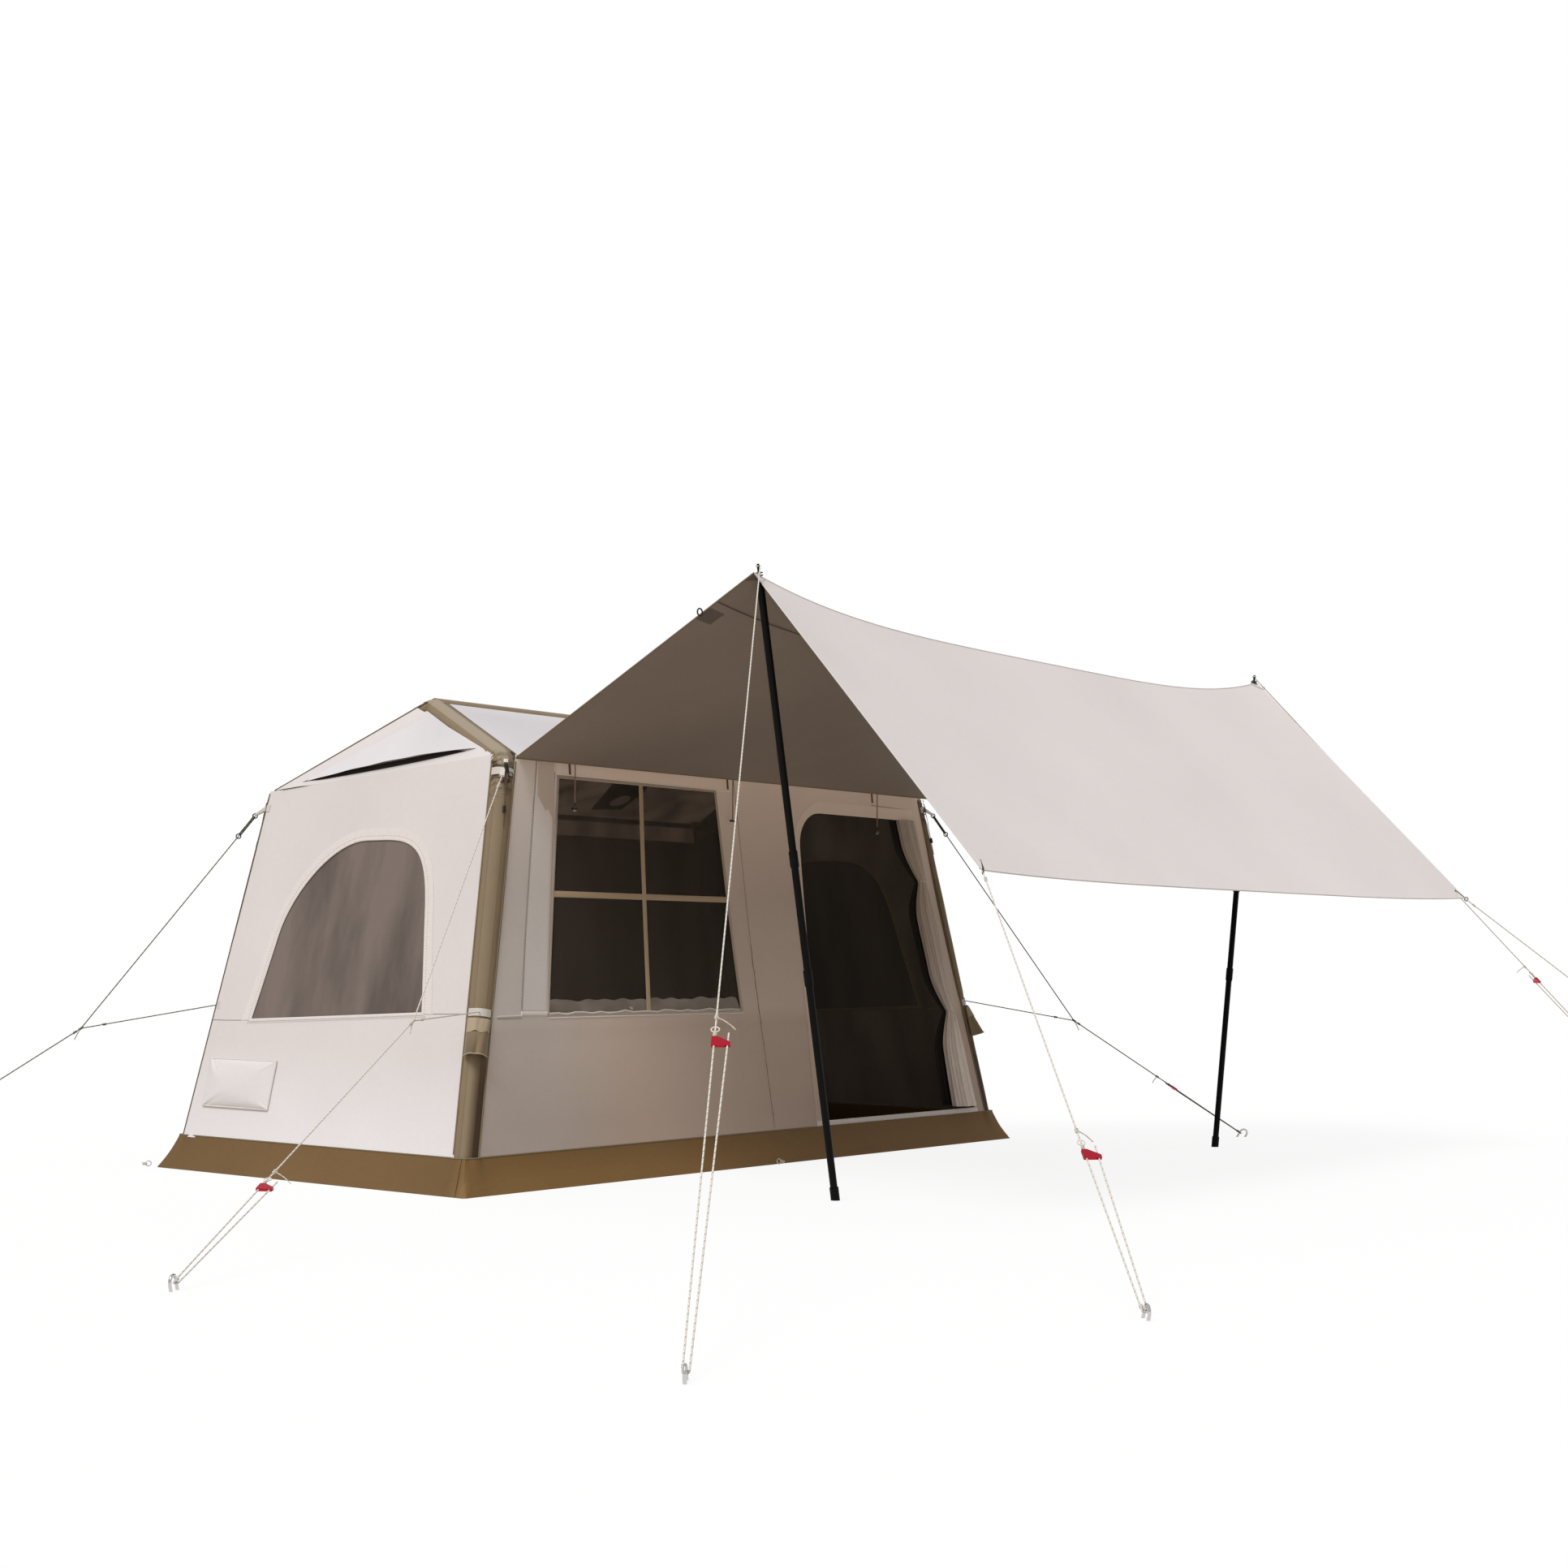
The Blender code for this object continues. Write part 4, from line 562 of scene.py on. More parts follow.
def gridSheet(name, rows, finishes, thick, body="root", slot="pale_cloth", flip=False, smooth=40, loop=False):
    # a sheet through rows of points, thickened along its own normals. A loop's rows close on themselves
    height, width = len(rows), len(rows[0])
    turn = -1 if flip else 1
    columns = width if loop else width - 1
    outer, inner = [], []
    for r in range(height):
        for c in range(width):
            before, after = (c - 1, (c + 1) % width) if loop else (max(c - 1, 0), min(c + 1, width - 1))
            du = rows[r][after] - rows[r][before]
            dv = rows[min(r + 1, height - 1)][c] - rows[max(r - 1, 0)][c]
            outer.append(rows[r][c])
            inner.append(rows[r][c] - du.cross(dv).normalized() * thick * turn)
    count = len(outer)
    faces, kinds, uvs = [], [], []

    def addFace(face, corners, kind, reverse):
        faces.append(face[::-1] if reverse else face)
        kinds.append(kind)
        uvs.extend(corners[::-1] if reverse else corners)

    for layer in (0, 1):
        for r in range(height - 1):
            for c in range(columns):
                low, high, t = layer * count + r * width, layer * count + (r + 1) * width, (c + 1) % width
                corners = [(c / columns, r / (height - 1)), ((c + 1) / columns, r / (height - 1)),
                           ((c + 1) / columns, (r + 1) / (height - 1)), (c / columns, (r + 1) / (height - 1))]
                addFace((low + c, low + t, high + t, high + c), corners, layer, (layer == 1) != flip)
    top = (height - 1) * width
    if loop:
        rims = [list(range(width)) + [0], [top + c for c in range(width)][::-1] + [top + width - 1]]
    else:
        rim = [r * width for r in range(height)][::-1] + list(range(1, width))
        rim += [r * width + width - 1 for r in range(1, height)] + [top + c for c in range(width - 2, -1, -1)]
        rims = [rim]
    for rim in rims:
        for s, t in zip(rim, rim[1:]):
            addFace((t, s, s + count, t + count), [(0, 0)] * 4, 0, flip)
    return newPiece(name, outer + inner, faces, finishes, body, slot, kinds, uvs, smooth)


# Geometry Nodes: the same small thing again and again along a path, turned to follow it
def repeatAlong(name, paths, item, spacing, finish, lie):
    tree = bpy.data.node_groups.new(name + "Tree", "GeometryNodeTree")
    for label, kind in (("Geometry", "NodeSocketGeometry"), ("Spacing", "NodeSocketFloat"),
                        ("Item", "NodeSocketObject"), ("Lie", "NodeSocketVector")):
        tree.interface.new_socket(label, in_out="INPUT", socket_type=kind)
    tree.interface.new_socket("Geometry", in_out="OUTPUT", socket_type="NodeSocketGeometry")
    add = tree.nodes.new
    start, end = add("NodeGroupInput"), add("NodeGroupOutput")
    dots = add("GeometryNodeCurveToPoints")
    dots.mode = "LENGTH"
    turn = add("FunctionNodeAlignRotationToVector")
    turn.axis = "Z"
    follow = add("FunctionNodeAlignRotationToVector")
    follow.axis = "X"
    follow.pivot_axis = "Z"
    info = add("GeometryNodeObjectInfo")
    place = add("GeometryNodeInstanceOnPoints")
    real = add("GeometryNodeRealizeInstances")
    paint = add("GeometryNodeSetMaterial")
    paint.inputs["Material"].default_value = finish.material
    for source, output, target, entry in (
            (start, "Geometry", dots, "Curve"), (start, "Spacing", dots, "Length"), (start, "Lie", turn, "Vector"),
            (turn, "Rotation", follow, "Rotation"), (dots, "Tangent", follow, "Vector"),
            (start, "Item", info, "Object"), (dots, "Points", place, "Points"), (info, "Geometry", place, "Instance"),
            (follow, "Rotation", place, "Rotation"), (place, "Instances", real, "Geometry"),
            (real, "Geometry", paint, "Geometry"), (paint, "Geometry", end, "Geometry")):
        tree.links.new(source.outputs[output], target.inputs[entry])
    curve = bpy.data.curves.new(name + "Path", "CURVE")
    curve.dimensions = "3D"
    for path in paths:
        spline = curve.splines.new("POLY")
        spline.points.add(len(path) - 1)
        for spot, point in zip(spline.points, path):
            spot.co = (*point, 1)
    holder = bpy.data.objects.new(name + "Path", curve)
    bpy.context.scene.collection.objects.link(holder)
    modifier = holder.modifiers.new("Repeat", "NODES")
    modifier.node_group = tree
    named = {item.name: item.identifier for item in tree.interface.items_tree if item.in_out == "INPUT"}
    modifier[named["Spacing"]] = spacing
    modifier[named["Item"]] = item
    modifier[named["Lie"]] = tuple(lie)
    evaluated = holder.evaluated_get(bpy.context.evaluated_depsgraph_get())
    mesh = bpy.data.meshes.new_from_object(evaluated)
    bpy.data.objects.remove(holder, do_unlink=True)
    mesh.name = name
    return placed(name, mesh, "root", "pale_cloth")


def pattern(name, size, finish):
    # a small block with blunted edges to repeat. It is removed at the end
    bm = bmesh.new()
    bmesh.ops.create_cube(bm, size=1.0)
    bmesh.ops.scale(bm, vec=size, verts=bm.verts)
    bmesh.ops.bevel(bm, geom=bm.edges[:], offset=min(size) * 0.3, segments=1, affect="EDGES")
    mesh = bpy.data.meshes.new(name)
    bm.to_mesh(mesh)
    bm.free()
    mesh.materials.append(finish.material)
    obj = bpy.data.objects.new(name, mesh)
    bpy.context.scene.collection.objects.link(obj)
    patterns.append(obj)
    return obj


patterns = []


# Camera, floor and light
camera = {"place": (-7.82, -7.309, 0.927), "yaw": 0.892, "pitch": 0.077, "roll": 0.004, "focal": 2746 / 1932}


def makeCamera():
    yaw, pitch, roll = camera["yaw"], camera["pitch"], camera["roll"]
    right = Vector((cos(yaw), -sin(yaw), 0))
    ahead = Vector((sin(yaw) * cos(pitch), cos(yaw) * cos(pitch), sin(pitch)))
    over = right.cross(ahead)
    rightRolled = right * cos(roll) + over * sin(roll)
    overRolled = over * cos(roll) - right * sin(roll)
    data = bpy.data.cameras.new("camera")
    data.sensor_width = 36
    data.lens = camera["focal"] * 36
    data.clip_end = 200
    obj = bpy.data.objects.new("camera", data)
    bpy.context.scene.collection.objects.link(obj)
    turn = Matrix((rightRolled, overRolled, -ahead)).transposed()
    obj.matrix_world = Matrix.Translation(camera["place"]) @ turn.to_4x4()
    bpy.context.scene.camera = obj


studio = {
    "sky": (1.0, 0.99, 0.985), "skyStrength": 0.62, "floor": (0.50, 0.44, 0.385), "seenFloor": (0.95, 0.95, 0.95),
    "whiteShare": 0.88, "sunStrength": 1.72, "sunFrom": (-0.56, -0.10, 0.82), "sunSoftness": 26,
    "sunColor": (1.0, 0.99, 0.98), "floorReach": 60, "floorLevel": -0.001,
}


def seenDirectly(kit):
    # 1 where the camera, a mirror or a clear pane looks straight at it
    light = kit.add("ShaderNodeLightPath")
    seen = [Wire(kit, light.outputs[name]) for name in ("Is Camera Ray", "Is Glossy Ray", "Is Transmission Ray")]
    return (seen[0] + seen[1] + seen[2]).clamp()


def makeStudio():
    scene = bpy.context.scene
    scene.view_settings.view_transform = "Standard"
    world = bpy.data.worlds.new("studioWorld")
    scene.world = world
    world.use_nodes = True
    tree = world.node_tree
    tree.nodes.clear()
    light = tree.nodes.new("ShaderNodeLightPath")
    either = tree.nodes.new("ShaderNodeMath")
    either.operation = "MAXIMUM"
    either.use_clamp = True
    soft, plain = tree.nodes.new("ShaderNodeBackground"), tree.nodes.new("ShaderNodeBackground")
    soft.inputs[0].default_value = (*studio["sky"], 1)
    soft.inputs[1].default_value = studio["skyStrength"]
    plain.inputs[0].default_value = (1, 1, 1, 1)
    mix, out = tree.nodes.new("ShaderNodeMixShader"), tree.nodes.new("ShaderNodeOutputWorld")
    for source, target in (
            (light.outputs["Is Camera Ray"], either.inputs[0]),
            (light.outputs["Is Transmission Ray"], either.inputs[1]), (either.outputs[0], mix.inputs[0]),
            (soft.outputs[0], mix.inputs[1]), (plain.outputs[0], mix.inputs[2]), (mix.outputs[0], out.inputs[0])):
        tree.links.new(source, target)
    sun = bpy.data.lights.new("softKey", "SUN")
    sun.energy = studio["sunStrength"]
    sun.angle = radians(studio["sunSoftness"])
    sun.color = studio["sunColor"]
    lamp = bpy.data.objects.new("softKey", sun)
    lamp.rotation_mode = "QUATERNION"
    lamp.rotation_quaternion = Vector(studio["sunFrom"]).to_track_quat("Z", "Y")
    scene.collection.objects.link(lamp)
    kit = Finish("paleFloor", studio["floor"], 0.9)
    kit.shader.inputs["Specular IOR Level"].default_value = 0.0
    kit.color(kit.blend(seenDirectly(kit), studio["floor"], studio["seenFloor"]))
    glow = kit.add("ShaderNodeEmission", None, {"Color": (1.0, 1.0, 1.0), "Strength": 1.0})
    mixed = kit.add("ShaderNodeMixShader", None, {0: seenDirectly(kit) * studio["whiteShare"],
                                                 1: kit.shader.outputs[0], 2: glow.outputs[0]})
    kit.tree.links.new(mixed.outputs[0], kit.tree.nodes["Material Output"].inputs[0])
    mesh = bpy.data.meshes.new("floor")
    far = studio["floorReach"]
    corners = [(x, y, studio["floorLevel"]) for x, y in ((-far, -far), (far, -far), (far, far), (-far, far))]
    mesh.from_pydata(corners, [], [(0, 1, 2, 3)])
    mesh.materials.append(kit.material)
    floor = bpy.data.objects.new("floor", mesh)
    scene.collection.objects.link(floor)


makeCamera()
makeStudio()
print("camera, floor and light made")


# Guylines: the routes of the frame's cords, from the pole tips, the awning's corners and the eave straps
awning = {
    "height": 2.345, "frontHeight": 1.22, "poleOffset": 1.102, "skew": 0.058, "frontOffset": 2.125,
    "start": 0.413, "length": 4.085, "spread": 0.045, "ridgeSag": 0.120, "hemSag": 0.022, "margin": 0.030,
    "billow": 0.025, "poleLean": 0.475, "flat": (4.175, 2.94), "area": 10.6,
}
line = {
    "radius": 0.0025, "tipRadius": 0.005, "tipLength": 0.038, "stakeRadius": 0.005, "stakeHold": 0.022,
    "runnerSpan": 0.036, "runnerHeight": 0.036, "tailEnd": 0.020, "gap": 0.0003, "cordEnd": 0.0008,
    "poleStakes": {-1: (-2.610, -1.960), 1: (2.100, -1.400)}, "poleRunner": 1.16,
    "awningStakes": {-1: (-1.170, -1.280), 1: (1.070, -1.170)}, "awningRunners": {-1: 0.62, 1: 0.45},
    "farStake": (2.110, 1.110), "farFork": (0.240, 0.690), "farRunner": 0.590,
    "nearStake": (0.860, 0.850), "nearFork": (0.275, 0.600), "nearRunner": 0.420,
    # the cords listed under dark get the painted shade copy of the cord finish
    "dark": ("left_back", "right_front"), "strapDrop": 0.070, "strapHeight": 0.030, "strapThick": 0.0025,
    "strapTab": 0.050, "sillStrap": 0.705, "branchShare": 0.92,
}
lineSpots = {}


def poleLine(side):
    x = -halfLength + awning["start"] + (awning["length"] if side > 0 else 0.0)
    y = -halfWidth - awning["poleOffset"] + (awning["skew"] if side > 0 else 0.0)
    return Vector((x - side * awning["poleLean"], y, 0)), Vector((x, y, awning["height"]))


def awningCorner(side):
    x = poleLine(side)[1].x + side * awning["spread"]
    return Vector((x, -halfWidth - awning["frontOffset"], awning["frontHeight"]))


def archCorners():
    inner = [shifted(plane, -beamInset) for plane in (frontPlane, leftPlane, frontSlope, backSlope, backPlane,
                                                      gablePlane)]
    front, left, roof, rear, back, gable = inner
    ground = levelAt(-0.005)
    return [meeting(front, left, ground), meeting(front, left, roof), meeting(roof, rear, gable),
            meeting(back, left, rear), meeting(back, left, ground)]


archPoints = archCorners()


def legPoint(z, back=False):
    low, high = (archPoints[4], archPoints[3]) if back else (archPoints[0], archPoints[1])
    return low.lerp(high, (z - low.z) / (high.z - low.z))


def legAxes(back=False):
    up = (legPoint(1, back) - legPoint(0, back)).normalized()
    out = Vector((-1, 1 if back else -1, 0))
    out = (out - up * out.dot(up)).normalized()
    return up, out, up.cross(out)


def strapMiddle(back):
    top = (cabin["eaveBack"] if back else cabin["eaveFront"]) - line["strapDrop"]
    return legPoint(top - line["strapHeight"] / 2, back)


def strapTip(back):
    up, out, _ = legAxes(back)
    return strapMiddle(back) + out * (beamRadius + line["gap"] + line["strapThick"]) + (
        out - up).normalized() * line["strapTab"]


def lineRoute(anchor, stake, reach):
    along = (stake - anchor).normalized()
    across = along.cross(upward).normalized()
    turn = line["stakeRadius"] + line["radius"] + line["gap"]
    entry = stake + across * turn
    main = (entry - anchor).normalized()
    runner = entry - main * reach
    tailTop = runner - across * line["runnerSpan"]
    tail = (stake - across * turn - tailTop).normalized()
    route = [anchor, entry]
    for step in range(1, 9):
        angle = pi * step / 8
        route.append(stake + across * turn * cos(angle) + along * turn * sin(angle))
    route.append(tailTop - tail * (line["runnerHeight"] / 2 + line["tailEnd"]))
    return route, runner, main, across


def loopRoundTip(side, stake):
    foot, top = poleLine(side)
    axis = (top - foot).normalized()
    middle = top + axis * (line["tipLength"] * 0.78)
    leave = (stake - middle).normalized()
    flat = (leave - axis * leave.dot(axis)).normalized()
    across = axis.cross(flat)
    radius = line["tipRadius"] + line["radius"] + line["gap"] * 2
    spots = []
    for step in range(11):
        angle = radians(-290 + 29 * step)
        spots.append(middle + across * radius * cos(angle) + flat * radius * sin(angle))
    return spots + [spots[-1] + leave * 0.02 + flat * 0.004]


def cordFinish(name, low, high, mark):
    kit = Finish(name, high, 0.75, 0.0, 0.2)
    u, v, _ = kit.axes("UV")
    twist = ((v * (2 * pi / 0.012)) + u * (2 * pi * 2)).sin() * 0.5 + 0.5
    fleck = ((v * (2 * pi / 0.024)) - u * (2 * pi)).sin().above(0.86)
    kit.color(kit.blend(fleck * 0.7, kit.blend(twist, low, high), mark))
    return kit.bump(twist, 0.0005, 0.7)


def makeLine(prefix, start, stake, reach):
    anchor = start[-1]
    route, runner, main, across = lineRoute(anchor, stake, reach)
    path = start[:-1] + route
    dense = [path[0]]
    for a, b in zip(path, path[1:]):
        parts = max(1, ceil((b - a).length / 0.12))
        dense += [a.lerp(b, (k + 1) / parts) for k in range(parts)]
    cord = tube(prefix + "_cord", dense, line["radius"], lineCord(prefix), 8, "root", "guyline_cord")
    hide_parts(prefix + "_guyline")
    length = sum((b - a).length for a, b in zip(dense, dense[1:]))
    lineSpots[prefix] = {"anchor": anchor, "stake": stake, "runner": runner, "main": main, "across": across}
    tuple(dense[0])
    prefix + "_stake"
    prefix + "_runner"
    print(prefix, "cord", round(length, 3), "m")


def makeLines():
    lift = upward * line["stakeHold"]
    for side, end in ((-1, "near"), (1, "far")):
        top = poleLine(side)[1]
        stake = Vector((top.x, top.y, 0)) + Vector((*line["poleStakes"][side], 0)) + lift
        makeLine(end + "_pole", loopRoundTip(side, stake), stake, line["poleRunner"])
        corner = awningCorner(side)
        stake = Vector((corner.x, corner.y, 0)) + Vector((*line["awningStakes"][side], 0)) + lift
        edge = corner - upward * cabin["cloth"] / 2
        makeLine(end + "_awning", [edge + (stake - edge).normalized() * line["gap"] * 2], stake,
                 line["awningRunners"][side])
    for side, end in ((-1, "left"), (1, "right")):
        for back, wall in ((False, "front"), (True, "back")):
            hem = Vector((side * halfLength, halfWidth if back else -halfWidth, 0))
            reach = "far" if side < 0 and not back else "near"
            outward, split = line[reach + "Stake"], line[reach + "Fork"]
            away = Vector((side * outward[0], outward[1] if back else -outward[1], 0))
            fork = hem.lerp(hem + away, split[0]) + upward * split[1]
            tip, sill = strapTip(back), legPoint(line["sillStrap"] - line["strapHeight"] / 2, back)
            sill = sill + legAxes(back)[1] * (beamRadius + line["strapThick"] / 2)
            if side > 0:
                tip, sill = flipX(tip), flipX(sill)
            prefix = end + "_" + wall
            upper = tip + (fork - tip).normalized() * line["cordEnd"] * 2
            makeLine(prefix, [upper, fork], hem + away + lift, line[reach + "Runner"])
            lower = sill + (fork - sill).normalized() * line["cordEnd"] * 2
            spots = resample([fork, lower], 0.1)
            radius = line["radius"] * line["branchShare"]
            branch = tube(prefix + "_branch", spots, radius, lineCord(prefix), 8, "root", "guyline_cord")
            (lower - fork).length
            lineSpots[prefix].update(top=upper, fork=fork, toSill=(lower - fork).normalized(),
                                     toTip=(upper - fork).normalized())


def lineCord(prefix):
    return finishes["darkCord" if prefix in line["dark"] else "cord"]


# the second cord finish is a darker copy of the first: painted shade
finishes = {"cord": cordFinish("guylineCord", (0.62, 0.58, 0.50), (0.88, 0.84, 0.77), (0.26, 0.27, 0.18)),
            "darkCord": cordFinish("oliveCord", (0.055, 0.058, 0.036), (0.150, 0.150, 0.105), (0.42, 0.40, 0.30))}
makeLines()
print("cords made")


# Finishes of the cabin
def meshFinish(name, color, alpha, pitch, streak, glow=None):
    # fine insect mesh: its threads are drawn in colour and bump, what shows through it is one share. Lighter diagonal
    # streaks in its colour are painted highlights on its folds
    kit = Finish(name, color, 0.8)
    x, y, z = kit.axes()
    threads = ((x + y) * (2 * pi / pitch)).sin().math("MAXIMUM", (z * (2 * pi / pitch)).sin())
    streaks = kit.cloud(1.5, 5, 0.55, stretch=(2.4, 2.4, 0.50), turn=(0.45, 0.50, 0.0))
    # where a glow is given, its emission is painted light
    if glow:
        kit.glow(streaks + 0.5, glow)
    # painted highlights: the streaks lighten the mesh's colour by the streak share
    light = kit.ramp(streaks, [(0.40, 0.0), (0.62, 1.0)]) * streak
    tone = kit.blend(light, shade(color, 0.78), shade(color, 1.45))
    kit.give(Base_Color=kit.blend(threads.clamp() * 0.35, tone, shade(color, 0.5)), Alpha=alpha)
    return kit.bump(streaks, 0.006, 0.5)


def webFinish(name, color, pitch, roughness=0.8):
    # woven webbing: ribs across its length, by its UV
    kit = Finish(name, color, roughness, 0.0, 0.1)
    u, v, _ = kit.axes("UV")
    ribs = (v * (2 * pi / pitch)).sin() * 0.5 + 0.5
    rows = (u * (2 * pi / (pitch * 1.3))).sin() * 0.5 + 0.5
    tone = kit.blend(kit.cloud(60, 3), shade(color, 0.92), shade(color, 1.08))
    kit.give(Base_Color=kit.blend(ribs * 0.22, tone, shade(color, 0.72)))
    return kit.bump(ribs * 0.6 + rows * 0.4, 0.0006, 0.6)


def sleeveFinish():
    # the beams' cloth sleeve: a lighter stripe along its outside, full only on the rafters where it is also a painted
    # highlight, with painted shade low on the legs and in the gathers where it bends
    kit = Finish("tanSleeve", sleeve["color"], 0.72, 0.0, 0.15)
    around = (kit.axes("UV")[0] + 0.5).math("FRACT")
    off = (around - 0.5).abs()
    stripe = kit.ramp(off, [(sleeve["stripe"], 1.0), (sleeve["stripe"] + 0.012, 0.0)])
    tone = kit.blend(kit.cloud(9, 4), shade(sleeve["color"], 0.88), shade(sleeve["color"], 1.10))
    height = kit.axes()[2]
    # painted highlight: the stripe is full only on the rafters, where light falls on top
    rafterHighlight = kit.ramp(height * 0.5, [(0.80, 0.22), (0.88, 1.0)])
    tone = kit.blend(stripe * rafterHighlight, tone, sleeve["light"])
    edge = kit.ramp((off - sleeve["stripe"] - 0.005).abs(), [(0.0, 1.0), (0.010, 0.0)])
    kit.give(Base_Color=kit.blend(edge * 0.55, tone, shade(sleeve["color"], 0.55)),
             Roughness=kit.cloud(24, 2) * 0.12 + 0.66)
    # painted shade: the lower legs darker on the side toward the front wall
    low = kit.ramp(height, [(0.42, 1.0), (0.66, 0.0)])
    kit.tint(low * kit.ramp(around, [(0.47, 0.0), (0.59, 1.0)]), (0.22, 0.15, 0.08))
    # painted shade: darker in the gathered folds near the knee strap
    gather = kit.ramp(height * 0.5, [(0.78, 0.0), (0.815, 1.0), (0.865, 1.0), (0.885, 0.0)])
    folds = kit.ramp(kit.cloud(15, 2, 0.5, stretch=(1, 1, 3.0), turn=(0.5, 0.4, 0)), [(0.50, 0.0), (0.60, 1.0)])
    kit.tint(gather * folds, (0.30, 0.25, 0.20))
    kit.bump(gather * folds, 0.006, 0.8)
    kit.bump(weave(kit, 0.0022), 0.0004, 0.35)
    return kit.bump(kit.cloud(14, 3, 0.5, stretch=(1, 1, 0.4)), 0.006, 0.45)


def frontFinish(name, color):
    # painted light and shade of the awning: greyer toward the near corner, where less shade falls; warmer under the
    # awning, with an emission near the top as painted light; darker below the sill and lower down
    kit = clothFinish(name, color, 0.80, 0.04, 0.8)
    x, _, z = kit.axes()
    kit.tint(kit.ramp(x * -0.5, [(0.45, 0.0), (0.68, 1.0)]), (0.93, 1.02, 1.10))
    kit.tint(kit.ramp(z, [(0.62, 1.0), (0.70, 0.0)]), (0.87, 0.84, 0.82))
    kit.tint(kit.ramp(z, [(0.25, 1.0), (0.55, 0.0)]), (0.88, 0.86, 0.85))
    return kit.glow(kit.ramp(z * 0.5, [(0.60, 0.0), (0.88, 1.0)]), (0.098, 0.074, 0.059))


# a dark coated inner face; its emission is painted light, the dim light inside, streaked and stronger higher up
def coatFinish(name, glow):
    kit = clothFinish(name, (0.085, 0.066, 0.050), 0.72, 0.15, 0.6)
    streaks = kit.cloud(7, 3, stretch=(1, 1, 0.12), turn=(0.5, 0.6, 0))
    share = kit.ramp(kit.cloud(1.8, 4) * 0.4 + streaks * 0.6, [(0.40, 0.35), (0.62, 1.0)])
    return kit.glow(share * kit.ramp(kit.axes()[2], [(0.3, 0.6), (0.9, 1.0)]), glow)


sleeve = {"color": (0.245, 0.180, 0.105), "light": (0.34, 0.275, 0.20), "stripe": 0.075, "sides": 40, "ring": 0.022,
          "gather": 0.0042, "pinch": 0.0030}
finishes["pale"] = clothFinish("paleCloth", (0.735, 0.690, 0.680), 0.80, 0.035, 0.7)
# the front wall's warmer tone than the pale cloth is painted shade: the same cloth, under the awning
finishes["front"] = frontFinish("frontCloth", (0.745, 0.625, 0.535))
finishes["roof"] = clothFinish("roofCloth", (0.725, 0.705, 0.715), 0.76, 0.03, 0.7)
# painted shade: the front slope darker, except toward the left gable
roofX, roofY, _ = finishes["roof"].axes()
awningShade = finishes["roof"].ramp(roofX + 2.0, [(0.25, 0.0), (0.80, 1.0)]) * (roofY * -4).math("MINIMUM", 1.0)
finishes["roof"].tint(awningShade, (0.84, 0.83, 0.85))
# painted light: the pale cloth lighter and bluer toward the ground
groundLight = finishes["pale"].ramp(finishes["pale"].axes()[2], [(0.12, 1.0), (0.55, 0.0)])
finishes["pale"].tint(groundLight, (1.13, 1.17, 1.21))
# the ceiling's stronger emission is painted light under the roofs
finishes["coat"] = coatFinish("darkCoat", (0.014, 0.011, 0.008))
finishes["ceiling"] = coatFinish("ceilingCoat", (0.150, 0.104, 0.072))
finishes["sleeve"] = sleeveFinish()
# the inner mesh's glow is painted light
for label, *look in (("sideMesh", (0.170, 0.136, 0.120), 0.95, 0.004, 1.0),
                     ("frontMesh", (0.060, 0.046, 0.036), 0.50, 0.003, 0.8),
                     ("ventMesh", (0.030, 0.025, 0.020), 1.0, 0.003, 0.3),
                     ("innerMesh", (0.050, 0.042, 0.034), 1.0, 0.003, 0.6, (0.0062, 0.0050, 0.0038))):
    finishes[label] = meshFinish(label, *look)
for label, *look in (("binding", "paleBinding", (0.80, 0.745, 0.72), 0.0028, 0.75),
                     ("piping", "tanPiping", (0.235, 0.180, 0.105), 0.0024, 0.7),
                     ("zip", "zipTape", (0.40, 0.355, 0.32), 0.0024, 0.7),
                     ("web", "paleWebbing", (0.72, 0.675, 0.62), 0.0026, 0.75)):
    finishes[label] = webFinish(*look)

# Cabin surfaces. Each gives inward a little between its beams, and all that lies on it gives with it
wallEdge = {"beam": 0.014, "ridge": 0.012, "low": 0.132, "give": 0.008}


def cornerX(z):
    return meeting(leftPlane, frontPlane, levelAt(z)).x


def backCornerY(z):
    return meeting(leftPlane, backPlane, levelAt(z)).y


def frontGive(u, z):
    across = min(1.0, (halfLength - abs(u)) / 0.9)
    along = max(0.0, sin(pi * min(1.0, max(0.0, (z - 0.14) / 1.60))))
    folds = 0.0035 * noise.noise(Vector((u * 1.7, z * 1.1, 3.1))) + 0.0012 * noise.noise(Vector((u * 6, z * 3, 9)))
    return (folds - wallEdge["give"]) * smoothStep(0.0, 0.6, across) * along


def sideGive(u, z):
    across = max(0.0, cos(pi / 2 * min(1.0, abs(u) / 0.80)))
    along = max(0.0, sin(pi * min(1.0, max(0.0, (z - 0.14) / 1.55))))
    folds = 0.0030 * noise.noise(Vector((u * 1.9, z * 1.2, 7.7))) + 0.0010 * noise.noise(Vector((u * 7, z * 4, 2)))
    return (folds - wallEdge["give"]) * sqrt(across) * along * smoothStep(0.3, 0.8, z)


def slopeGive(u, z):
    across = min(1.0, max(0.0, (1.42 - abs(u)) / 0.5))
    along = max(0.0, sin(pi * min(1.0, max(0.0, (z - 1.70) / 0.34))))
    folds = 0.0030 * noise.noise(Vector((u * 2.1, z * 5, 5.5)))
    return (folds - 0.006) * smoothStep(0, 1, across) * along


